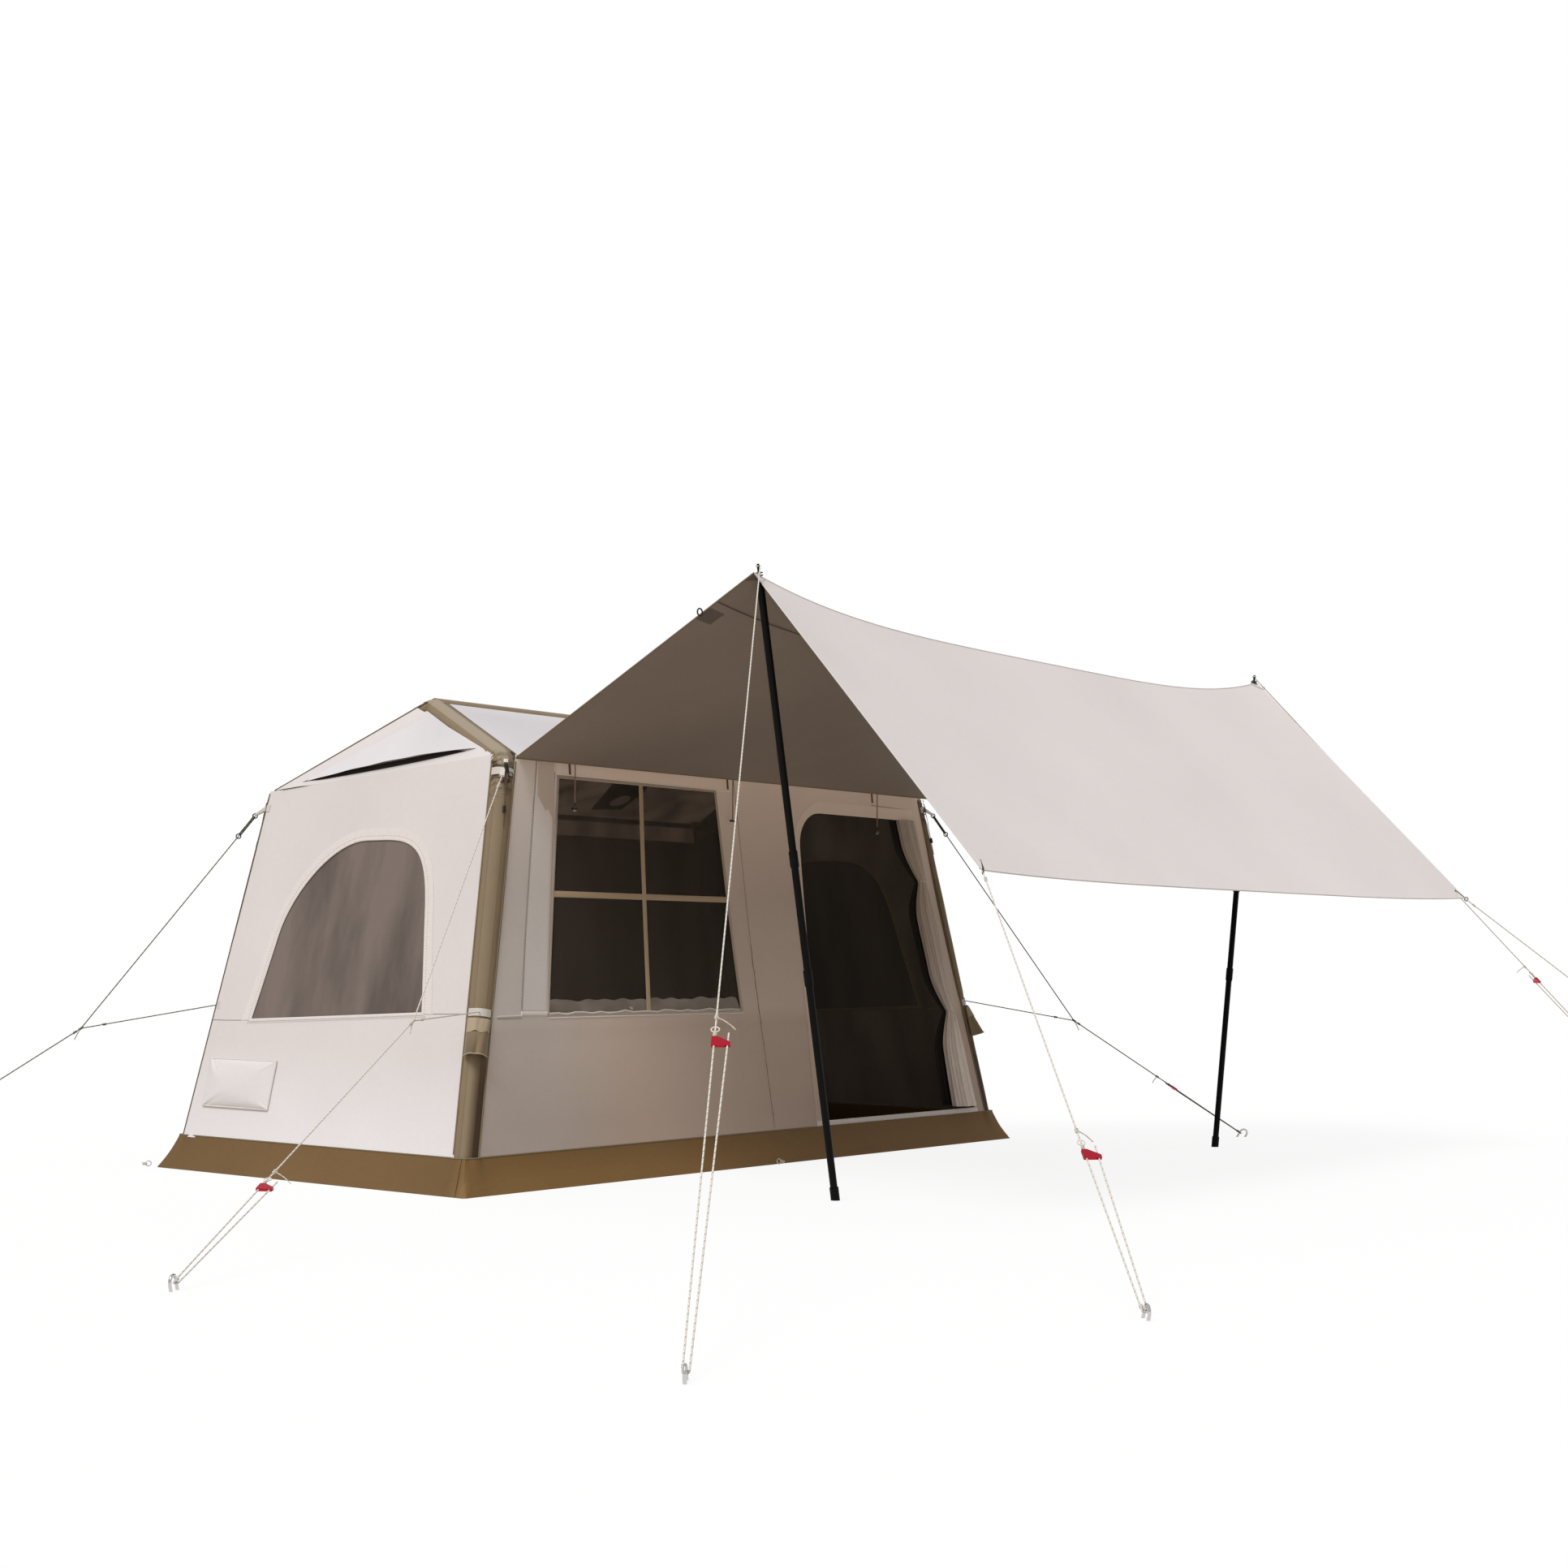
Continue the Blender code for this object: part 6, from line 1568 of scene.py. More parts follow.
def makeStraps():
    for back, wall in ((False, "front"), (True, "back")):
        top = (cabin["eaveBack"] if back else cabin["eaveFront"]) - line["strapDrop"]
        up, out, across = legAxes(back)
        loop = makeBand("left_" + wall + "_eave_band", top, back, beamRadius + line["gap"])
        root = strapMiddle(back) + out * (beamRadius + line["gap"] + line["strapThick"])
        tip = strapTip(back)
        outline = [root + up * 0.012, root - up * 0.012, tip - (out + up) * 0.0035, tip + (out + up) * 0.0035]
        verts = [p + across * s * 0.010 for s in (-1, 1) for p in outline]
        faces = [(0, 1, 2, 3), (7, 6, 5, 4)] + [(k, k + 4, (k + 1) % 4 + 4, (k + 1) % 4) for k in range(4)]
        tab = newPiece("left_" + wall + "_eave_tab", verts, faces, finishes["web"], "root", "white_webbing",
                       smooth=30)
        faceOut(tab, 0.001)
        bothSides(loop, wall + "_eave_strap")
        twin(tab)
        twin(makeBand("left_" + wall + "_sill_band", line["sillStrap"], back, beamRadius - 0.0012))


valve = {"hinge": 0.665, "drop": 0.150, "stand": 0.005, "bulge": 0.056, "half": 0.046, "flat": (0.135, 0.158),
         "lidThick": 0.0012, "hem": 0.0030, "centre": 0.552, "seatRadius": 0.019, "seatHeight": 0.013}


def makePocket():
    up, out, across = legAxes()
    hinge = legPoint(valve["hinge"]) + out * (beamRadius + line["gap"])
    steps, levels = 24, 16

    def at(level, k):
        t, s = level / levels, 2 * k / steps - 1
        drop, stand = valve["drop"] * t, valve["stand"] + (valve["bulge"] - valve["stand"]) * t ** 0.9
        side = abs(s) ** 4
        bulge = (1 - side) * stand + 0.0015 * sin(s * 9 + t * 5) * t
        return hinge - up * drop + across * s * valve["half"] + out * (bulge - 0.012 * side)

    rows = gridOf(levels, steps, at)
    pocket = gridSheet("left_valve_pocket_cloth", rows, [finishes["sleeve"], finishes["coat"]], 0.0014,
                       "left_valve_pocket", "tan_sleeve", flip=True)
    for piece in bothSides(pocket, "valve_pocket"):
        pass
    lid = [[spot + out * (0.0026 + 0.0012 * sin(k * 0.9)) - up * 0.004 * (level / 6) * sin(k * 0.5)
            for k, spot in enumerate(row)] for level, row in enumerate(rows[:7])]
    twin(gridSheet("left_pocket_lid", lid, [finishes["lid"], finishes["coat"]], valve["lidThick"],
                   "left_valve_pocket", "tan_sleeve", flip=True))
    hem = [spot + out * 0.0010 for spot in rows[-1]]
    twin(tube("left_pocket_hem", hem, valve["hem"], finishes["lid"], 8, "left_valve_pocket", "tan_sleeve"))
    base = legPoint(valve["centre"]) + out * (beamRadius - 0.002)
    twin(tube("left_valve_seat", [base, base + out * valve["seatHeight"]], valve["seatRadius"], finishes["plastic"],
              32, "root", "black_plastic"))


finishes["frontBinding"] = webFinish("frontBinding", (0.52, 0.44, 0.36), 0.0028, 0.75)
finishes["tape"] = webFinish("tanTape", (0.56, 0.43, 0.28), 0.0026, 0.75)
finishes["cover"] = clothFinish("brownCover", (0.46, 0.36, 0.28), 0.72, 0.20, 1.0)
# painted light: an emission on the rolled cover lightens it
finishes["cover"].glow(finishes["cover"].cloud(9, 4), (0.600, 0.500, 0.410))
finishes["doorCloth"] = clothFinish("doorCloth", (0.62, 0.53, 0.45), 0.80, 0.06, 0.8)
# painted light: the curtain lighter toward its foot
footLight = finishes["doorCloth"].ramp(finishes["doorCloth"].axes()[2], [(0.4, 1.0), (1.0, 0.0)])
finishes["doorCloth"].tint(footLight, (1.55, 1.62, 1.70))
finishes["lid"] = clothFinish("pocketLid", (0.43, 0.34, 0.23), 0.72, 0.08, 0.8)
finishes["plastic"] = Finish("blackPlastic", (0.018, 0.018, 0.019), 0.38)
makeFrontWindow()
makeSideWindow()
makeCurtain("door_curtain_cloth", finishes["doorCloth"], "door_curtain", "pale_cloth")
makeCurtain("door_mesh_cloth", finishes["ventMesh"], "door_mesh_curtain", "door_mesh", curtain["share"], True)
makeVentFlap()
makeStraps()
makePocket()
print("windows, door, vents, straps and pockets made")


# Awning
def awningRows(count):
    lip = meeting(shifted(frontPlane, cabin["eaveLip"]), frontSlope, (Vector(), alongX))
    near, far = poleLine(-1)[1], poleLine(1)[1]
    end = eaveFront.x + 0.02
    rear = (Vector((end, lip.y - 0.00045, lip.z)), Vector((-end, lip.y - 0.00045, lip.z)))
    ridge = (near - alongX * awning["margin"], far + alongX * awning["margin"])
    front = (awningCorner(-1), awningCorner(1))
    rows = []
    for row in range(count):
        share = row / count
        rows.append(([rear[k].lerp(ridge[k], share) for k in (0, 1)], awning["ridgeSag"] * share ** 2,
                     awning["billow"] * sin(pi * share)))
    for row in range(count + 1):
        share = row / count
        sag = awning["ridgeSag"] * (1 - share) + awning["hemSag"] * share
        rows.append(([ridge[k].lerp(front[k], share) for k in (0, 1)], sag, awning["billow"] * sin(pi * share)))
    return rows


def awningPoint(ends, sag, billow, share, lift=0.0):
    hang = sag * (1 - abs(2 * share - 1) ** 4) + billow * sin(pi * share)
    return ends[0].lerp(ends[1], share) - upward * (hang - lift)


def makeAwning():
    columns = 140
    rows = []
    for ends, sag, billow in awningRows(56):
        cells = []
        for column in range(columns + 1):
            share = column / columns
            point = awningPoint(ends, sag, billow, share)
            slack = smoothStep(0, 0.12, share) * smoothStep(0, 0.12, 1 - share)
            fold = 0.006 * noise.noise(Vector((point.x * 1.5, point.y * 1.1, 2.2))) * slack
            cells.append(point + upward * fold * (1 if billow > 0.004 else billow / 0.004))
        rows.append(cells)
    cloth = gridSheet("awning_cloth", rows, [finishes["tarp"], finishes["underside"]], 0.0014, "root", "pale_cloth",
                      flip=True, smooth=30)
    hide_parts("awning")


finishes["tarp"] = clothFinish("tarpCloth", (0.735, 0.690, 0.680), 0.78, 0.03, 0.8)
finishes["underside"] = clothFinish("tarpCoat", (0.27, 0.215, 0.17), 0.70, 0.08, 0.7)
makeAwning()
print("awning made")


# Rigid nodes keep their CAD shape and get their finishes
def dress(node, finish):
    obj = bpy.data.objects[node]
    for index in range(len(obj.data.materials)):
        obj.data.materials[index] = finish.material


finishes["pole"] = Finish("blackPole", (0.0045, 0.0042, 0.004), 0.5)
finishes["pole"].shader.inputs["Specular IOR Level"].default_value = 0.08
finishes["runner"] = Finish("redRunner", (0.50, 0.012, 0.035), 0.30, 0.65)
finishes["steel"] = Finish("stakeSteel", (0.62, 0.61, 0.60), 0.24, 1.0)
for end in ("near", "far"):
    dress(end + "_pole", finishes["pole"])
for prefix in lineSpots:
    dress(prefix + "_runner", finishes["runner"])
    dress(prefix + "_stake", finishes["steel"])
for end in ("left", "right"):
    dress(end + "_valve_cap", finishes["plastic"])
for tie in ("left_window_tie", "right_window_tie", "door_tie"):
    dress(tie, finishes["plastic"])
print("rigid parts dressed")


# Trim sewn on the cloth: bands, seams, zips and stitches, by routes of (u, z)
def seams(name, surface, routes, width, height, finish, lift=0.0):
    shells = [ribbonMesh(surface.path(route, lift, 0.03), surface.normal, width, height) for route in routes]
    return joined(name, shells, finish, "root", "pale_cloth")


def patch(name, surface, outline, finish, lift=0.0004, thick=0.0009):
    return clothPanel(name, surface, outline, [finish] * 2, (), 0.03, thick, lift + thick)


def beads(name, routes, radius, finish, slot="tan_sleeve", sides=8):
    return joined(name, [tubeMesh(resample(route, 0.04), radius, sides) for route in routes], finish, "root", slot)


stitch = {"size": (0.0062, 0.0018, 0.0016), "archSize": (0.006, 0.0016, 0.0014), "spacing": 0.013, "lift": 0.0016,
          "archLift": 0.0022}
trim = {"top": 1.742, "doorBand": 0.056, "seat": 0.012, "seatHeight": 0.0026, "tieSleeve": 0.0028,
        "tieLoop": 0.0075, "tieWire": 0.0015}


def makeFrontTrim():
    top = trim["top"]
    zipLine = [(-1.290, top), (-1.319, 1.575), (-1.364, 1.314), (-1.414, 1.014), (-1.464, 0.706)]
    edge = [(-1.332, 0.702), (-1.306, 0.90), (-1.204, 1.672), (-1.194, top)]
    patch("front_flap_band", frontWall, zipLine[::-1][:1] + edge + zipLine[:-1], finishes["band"])
    # painted shadow: a darker patch where the awning's shadow falls across the flap's top
    shadeEdge = [(-1.303, 1.585), (-1.262, 1.522), (-1.247, 1.532), (-1.213, 1.472), (-1.198, 1.660),
                 (-1.197, top - 0.003), (-1.288, top - 0.003)]
    patch("front_flap_fold", frontWall, shadeEdge, finishes["bandShade"], 0.0014)
    # a band along the top of the wall, its paler tone partly painted light near the eave, where the awning shades it
    patch("front_header_band", frontWall, [(-1.178, 1.684), (-0.155, 1.676), (-0.052, 1.676), (-0.052, top),
                                           (-1.176, top)], finishes["header"])
    stitchLines = [[(u - 0.010, z) for u, z in zipLine[1:]], [(-1.212, 1.500), (-1.318, 0.720)]]
    lumpy = [(-1.312 + 0.05 * k, 0.690 + 0.004 * sin(k * 2.3) + 0.002 * sin(k * 5.1)) for k in range(25)]
    crease = [(0.006 + 0.0035 * sin(k * 1.9) + (0.955 - z) * 0.07, z) for k, z in
              enumerate([0.98 - 0.032 * k for k in range(26)])]
    door = outlineOf("door")
    # name, routes, width, height, finish and lift of each seam
    for label, routes, width, height, finish, lift in (
            ("front_header_hem", [[(-1.178, 1.684), (-0.055, 1.676)], [(-1.076, 1.684), (-1.074, top)]],
             0.006, 0.0024, "header", 0.0),
            ("front_upright_seams", [[(-0.040, top), (0.001, 0.955), (0.057, 0.152)],
                                     [(-0.152, 1.672), (-0.075, 0.690)]], 0.010, 0.0016, "front", 0.0004),
            ("front_seam_lines", [[(-0.032, top), (0.009, 0.955), (0.065, 0.152)],
                                  [(-1.192, 1.690), (-1.322, 0.70)], [(-1.610, 0.674), (-1.470, 0.674)]],
             0.0026, 0.0012, "seamLine", 0.0006),
            ("front_zip", [[(u - 0.004, z) for u, z in zipLine]], 0.0045, 0.0018, "zip", 0.0004),
            ("front_sill_tape", [[(-1.612, 0.682), (-1.470, 0.684)], [(-1.320, 0.672), (-0.085, 0.672)]],
             0.005, 0.0022, "webLight", 0.0004),
            ("front_sill_gather", [lumpy], 0.006, 0.0030, "webLight", 0.0004),
            # painted shade: a dark line along the crease beside the seam
            ("front_seam_crease", [crease], 0.0050, 0.0012, "crease", 0.0008),
            ("front_sill_tab", [[(-1.472, 0.693), (-1.326, 0.690)]], 0.016, 0.0040, "webLight", 0.0),
            ("door_sill_tape", [[(door[0][0] - 0.05, 0.153), (door[1][0] + 0.02, 0.153)]], 0.024, 0.0040,
             "webLight", 0.0),
            ("door_head_seam", [[(1.02, 1.672), (1.345, 1.664)]], 0.0035, 0.0012, "seamLine", 0.0004)):
        seams(label, frontWall, routes, width, height, finishes[finish], lift)
    block = pattern("frontStitch", stitch["size"], finishes["zip"])
    repeatAlong("front_zip_stitches", [frontWall.path(route, stitch["lift"], 0.03) for route in stitchLines], block,
                stitch["spacing"], finishes["zip"], frontWall.normal)
    left, arch, wide = door[-1], door[3:], trim["doorBand"]
    outer = [(left[0] - wide, door[0][1])] + [(u - wide * 0.9 * (1 - k / 8), z + wide * (k / 8))
                                              for k, (u, z) in enumerate(arch[::-1])]
    inner = [(door[2][0], door[2][1] + wide), door[2]] + arch + [(left[0], door[0][1])]
    patch("door_binding", frontWall, outer + inner, finishes["doorBand"], 0.0006, 0.0014)
    for tie in ("left_window_tie", "right_window_tie", "door_tie"):
        spots = [bpy.data.objects[tie].matrix_world @ vert.co for vert in bpy.data.objects[tie].data.vertices]
        high, low = max(spots, key=lambda spot: spot.z), min(spots, key=lambda spot: spot.z)
        seams(tie + "_seat", frontWall, [[(high.x, 1.684), (high.x, top)]], trim["seat"], trim["seatHeight"],
              finishes["elastic"], 0.0012)
        ends = [Vector((high.x, high.y, high.z - 0.010)), Vector((high.x, high.y, low.z + 0.030))]
        tube(tie + "_sleeve", ends, trim["tieSleeve"], finishes["tieCord"], 8, tie, "black_plastic")
        # painted highlight: a small pale ring at each tie's toggle
        loop = torusMesh(Vector((high.x, high.y, low.z + 0.002)), alongY, trim["tieLoop"], trim["tieWire"])
        joined(tie + "_loop", [loop], finishes["webLight"], tie, "black_plastic")


def makeCeilingPatch():
    inner = Surface((backPlane[0], -backPlane[1]), alongX, lambda u, z: -frontGive(u, z))
    # painted light: a band of the ceiling's lit finish down the back wall's inner side
    patch("ceiling_valance", inner, [(-1.42, 1.545), (1.42, 1.545), (1.40, 1.622), (-1.40, 1.622)],
          finishes["ceiling"], 0.0010)
    under = Surface((backSlope[0], -backSlope[1]), alongX, lambda u, z: -slopeGive(u, z))
    patch("ceiling_patch", under, [(0.396, 1.812), (0.464, 1.744), (0.523, 1.681), (0.727, 1.692),
                                   (0.716, 1.730), (0.687, 1.787), (0.652, 1.812)], finishes["ventMesh"], 0.0020)
    rim = [(0.627 + 0.055 * cos(2 * pi * k / 20), 1.731 + 0.025 * sin(2 * pi * k / 20)) for k in range(20)]
    patch("ceiling_window", under, rim, finishes["ceiling"], 0.0040)


inside = {"coverHalf": 103, "coverGap": 0.0016, "coverThick": 0.0008, "tape": 0.0075, "tapeDrop": 0.009,
          "tapeReach": 0.022, "kneeTape": 0.018,
          "knee": ((-1.36, 0.735, 1.642), (-1.415, 0.738, 1.640), (-1.43, 0.745, 1.61))}


def makeInnerCovers():
    # dark cloth over the inner side of the beams
    foot = legPoint(0.03)
    planes = ((frontPlane, leftPlane), (frontSlope, gablePlane), (backSlope, gablePlane), (backPlane, leftPlane))
    spots = [foot] + archPoints[1:4] + [legPoint(0.03, True)]
    for index, (first, second) in enumerate(planes):
        low, high = spots[index], spots[index + 1]
        along = (high - low).normalized()
        into = -(first[1] + second[1])
        into = (into - along * into.dot(along)).normalized()
        across = along.cross(into)
        half = inside["coverHalf"]
        cover = [[low.lerp(high, level / 12) + (into * cos(a) + across * sin(a)) * (beamRadius + inside["coverGap"])
                  for a in [radians(-half + 2 * half * k / 24) for k in range(25)]] for level in range(13)]
        flip = (cover[0][1] - cover[0][0]).cross(along).dot(cover[0][0] - low) < 0
        twin(gridSheet("left_inner_cover_" + str(index + 1), cover, [finishes["coat"]] * 2, inside["coverThick"],
                       flip=flip))


def makeInnerTapes():
    # dark tapes inside, over the joins of the roofs and the gable beams
    for name, slope, spot in (("back", backSlope, archPoints[3]), ("front", frontSlope, archPoints[1])):
        inner = (spot + archPoints[2]) / 2 + Vector((1.0, 0, 0))
        join = besideBeam(spot, archPoints[2], slope, inner, inside["tapeReach"])
        route = [point - slope[1] * inside["tapeDrop"] for point in join]
        twin(beads("left_inner_" + name + "_tape", [route], inside["tape"], finishes["coat"], "pale_cloth"))
    corner = [Vector(spot) for spot in inside["knee"]]
    twin(beads("left_inner_knee_tape", [corner], inside["kneeTape"], finishes["coat"], "pale_cloth", 12))


def makeSideTrim():
    arch = outlineOf("arch")
    wide = inset(arch, -0.044)
    wide = [(wide[0][0], arch[0][1])] + wide[1:-1] + [(wide[-1][0], arch[-1][1])]
    twin(patch("left_arch_band", leftWall, wide + arch[::-1], finishes["binding"], 0.0004, 0.0016))
    block = pattern("archStitch", stitch["archSize"], finishes["seamLine"])
    loop = inset(arch, -0.012)
    route = leftWall.path(loop + loop[:1], stitch["archLift"], 0.03)
    twin(repeatAlong("left_arch_stitches", [route], block, stitch["spacing"], finishes["seamLine"],
                     leftWall.normal))
    edge = outlineOf("arch", 0.060)
    sill = [[(edge[0][0] - 0.22, 0.694), (edge[0][0], 0.690)], [(edge[-1][0], 0.640), (0.835, 0.636)]]
    twin(seams("left_sill_seam", leftWall, sill, 0.0032, 0.0012, finishes["seamLine"], 0.0002))
    inner = Surface((leftPlane[0], -leftPlane[1]), alongY, lambda u, z: -sideGive(u, z))
    twin(loopStrip("left_inner_border", inner, inset(arch, -0.016), 0.030, 0.0020, finishes["innerBorder"], 0.0014))
    square = inset(outlineOf("vent"), -0.012)
    twin(loopStrip("left_inner_vent_border", inner, square, 0.026, 0.0020, finishes["innerBorder"], 0.0014))
    twin(seams("left_inner_seam", inner, [[(-0.70, 0.655), (-0.585, 0.655)], [(0.600, 0.655), (0.78, 0.655)]], 0.010,
               0.0016, finishes["innerBorder"], 0.0014))


def besideBeam(low, high, plane, inner, reach=0.0190):
    # the line where a beam meets the cloth of a plane
    along = (high - low).normalized()
    way = along.cross(plane[1]).normalized()
    way = way if way.dot(inner - low) > 0 else -way
    return [spot + plane[1] * (beamInset + 0.0008) + way * reach for spot in (low, high)]


def makePiping():
    lowZ = levelAt(cabin["skirtHeight"] + 0.004)
    # along the wrapped edges, where only a thin line shows
    face = shifted(leftPlane, 0.0034)
    back = [meeting(face, backWrap, lowZ), meeting(face, backWrap, gablePlane)]
    rear = [meeting(shifted(gablePlane, 0.0034), rearWrap, shifted(leftPlane, 0.0034)),
            meeting(shifted(gablePlane, 0.0034), rearWrap, shifted(frontSlope, -0.02))]
    twin(beads("left_back_piping", [back, rear], 0.0046, finishes["darkPiping"]))
    # along the seams beside the beam
    foot, knee, peak = legPoint(0.146), archPoints[1], archPoints[2]
    inner = Vector((0, 0, 1.2))
    lines = [besideBeam(foot, knee, leftPlane, inner), besideBeam(foot, knee, frontPlane, inner),
             besideBeam(knee, peak, frontSlope, inner)]
    twin(beads("left_beam_piping", lines, 0.0036, finishes["piping"]))


def torusMesh(centre, axis, radius, wire):
    # a ring of wire
    sides, section = 20, 8
    first = axis.orthogonal().normalized()
    second = axis.cross(first).normalized()
    verts, faces = [], []
    for k in range(sides):
        around = first * cos(2 * pi * k / sides) + second * sin(2 * pi * k / sides)
        for s in range(section):
            angle = 2 * pi * s / section
            verts.append(centre + around * (radius + wire * cos(angle)) + axis * wire * sin(angle))
    for k in range(sides):
        for s in range(section):
            n, t = (k + 1) % sides, (s + 1) % section
            faces.append((k * section + s, n * section + s, n * section + t, k * section + t))
    return verts, faces


def knotMesh(centre, along, size, turns=2.5, cord=0.0024):
    # a small coil of cord wound round itself
    first = along.orthogonal().normalized()
    second = along.cross(first)
    steps = int(turns * 9)
    path = [centre + along * (size * (2 * k / steps - 1)) + (first * cos(2 * pi * turns * k / steps)
            + second * sin(2 * pi * turns * k / steps)) * (cord * 1.5) for k in range(steps + 1)]
    return tubeMesh(path, cord, 6)


def tailMesh(start, way, length, cord=0.0018):
    # a loose cord end that sags
    path = [start + way * (length * k / 8) - upward * (0.30 * length * (k / 8) ** 2) for k in range(9)]
    return tubeMesh(path, cord, 6)


knot = {"high": 0.055, "forkHigh": 0.030, "size": 0.009, "lower": 0.030, "lowerSize": 0.008, "upper": 0.105,
        "tail": 0.055, "ring": 0.052, "stake": 0.014, "stakeSize": 0.006}


def makeKnots():
    for prefix, spot in lineSpots.items():
        main, across, turn = spot["main"], spot["across"], spot["main"].cross(spot["across"])
        runner = spot["runner"]
        high = knot["high"] if prefix.endswith(("pole", "awning")) else knot["forkHigh"]
        start = spot["fork"] if "fork" in spot else spot["anchor"]
        shells = [knotMesh(start + main * high, main, knot["size"]),
                  knotMesh(runner - main * knot["lower"], main, knot["lowerSize"]),
                  knotMesh(runner - main * knot["upper"], main, knot["size"]),
                  tailMesh(runner - main * knot["upper"], (-across + turn * 0.4).normalized(), knot["tail"]),
                  torusMesh(runner - main * knot["ring"], turn, 0.011, 0.0018),
                  knotMesh(spot["stake"] - main * knot["stake"] + across * knot["stakeSize"], main,
                           knot["stakeSize"])]
        if prefix in line["dark"]:
            down = -spot["toTip"]
            strap = ribbonMesh([spot["top"] + down * (0.010 + 0.035 * k) for k in range(4)], spot["across"], 0.013,
                               0.0035)
            rings = [torusMesh(spot["top"] + down * reach, spot["across"], 0.010, 0.0026) for reach in (0.006, 0.122)]
            joined(prefix + "_line_strap", [strap] + rings, finishes["plastic"], "root", "black_plastic")
        if "fork" in spot:
            shells += [knotMesh(spot["top"] - spot["toTip"] * reach, spot["toTip"], 0.008) for reach in (0.048, 0.062)]
            shells.append(knotMesh(spot["fork"], main, 0.010, 3))
            shells.append(knotMesh(spot["fork"] + spot["toSill"] * 0.10, spot["toSill"], 0.008))
            shells.append(tailMesh(spot["fork"], (main - upward * 0.6).normalized(), 0.045))
        joined(prefix + "_knots", shells, lineCord(prefix), "root", "guyline_cord")


def makeCornerGear():
    for back, wall in ((False, "front"), (True, "back")):
        up, out, across = legAxes(back)
        if back:
            across = -across
        middle = strapMiddle(back)
        ridge = beamRadius + line["gap"] + line["strapThick"]

        def skin(turn, rise, lift=0.001):
            return middle + up * rise + (out * cos(turn) + across * sin(turn)) * (ridge + lift)

        facing = out * cos(0.3) + across * sin(0.3)
        clip = ribbonMesh([skin(0.18, 0.030), skin(0.24, 0.014, 0.004), skin(0.32, -0.006, 0.005)], facing, 0.018,
                          0.003)
        ring = torusMesh(skin(0.60, -0.014, 0.005), (out * cos(0.62) + across * sin(0.62)), 0.011, 0.0018)
        barrel = tubeMesh([skin(0.36, -0.150, 0.003), skin(0.37, -0.176, 0.003)], 0.0065, 12)
        twin(joined("left_" + wall + "_clip", [clip, ring, barrel], finishes["plastic"], "root", "black_plastic"))
        ear = [skin(0.02, -0.006, 0.003), skin(0.50, -0.006, 0.003), skin(0.37, -0.045, 0.004),
               skin(0.33, -0.078, 0.004), skin(0.26, -0.078, 0.004), skin(0.16, -0.040, 0.004)]
        count = len(ear)
        verts = ear + [spot + facing * 0.0016 for spot in ear]
        faces = [tuple(range(count))[::-1], tuple(range(count, 2 * count))]
        faces += [(k, (k + 1) % count, (k + 1) % count + count, k + count) for k in range(count)]
        cord = tubeMesh(resample([skin(0.30, -0.074, 0.002), skin(0.37, -0.150, 0.002), skin(0.44, -0.235, 0.001)],
                                 0.02), 0.0016, 6)
        twin(joined("left_" + wall + "_strap_ear", [(verts, faces), cord], finishes["elastic"], "root",
                    "black_plastic"))
        label = ribbonMesh([skin(0.16, 0.050, 0.002), skin(0.16, 0.036, 0.003)], out, 0.018, 0.002)
        twin(joined("left_" + wall + "_white_tab", [label], finishes["webLight"], "root", "white_webbing"))


def awningEnds(t):
    # both ends of the line across the awning at t: 0 the eave, 1 the ridge, 2 the front edge
    rows = awningRows(1)
    low = min(1, int(t))
    a, b = rows[low][0], rows[low + 1][0]
    share = t - low
    sag = awning["ridgeSag"] * (share ** 2 if low == 0 else 1 - share) + (awning["hemSag"] * share if low else 0)
    return [a[k].lerp(b[k], share) for k in (0, 1)], sag, awning["billow"] * sin(pi * share)


def awningAt(t, share, lift=0.0):
    return awningPoint(*awningEnds(t), share, lift)


gear = {"hem": 0.0032, "seam": 0.86, "tab": 0.772, "ring": 0.800, "patch": 0.050}


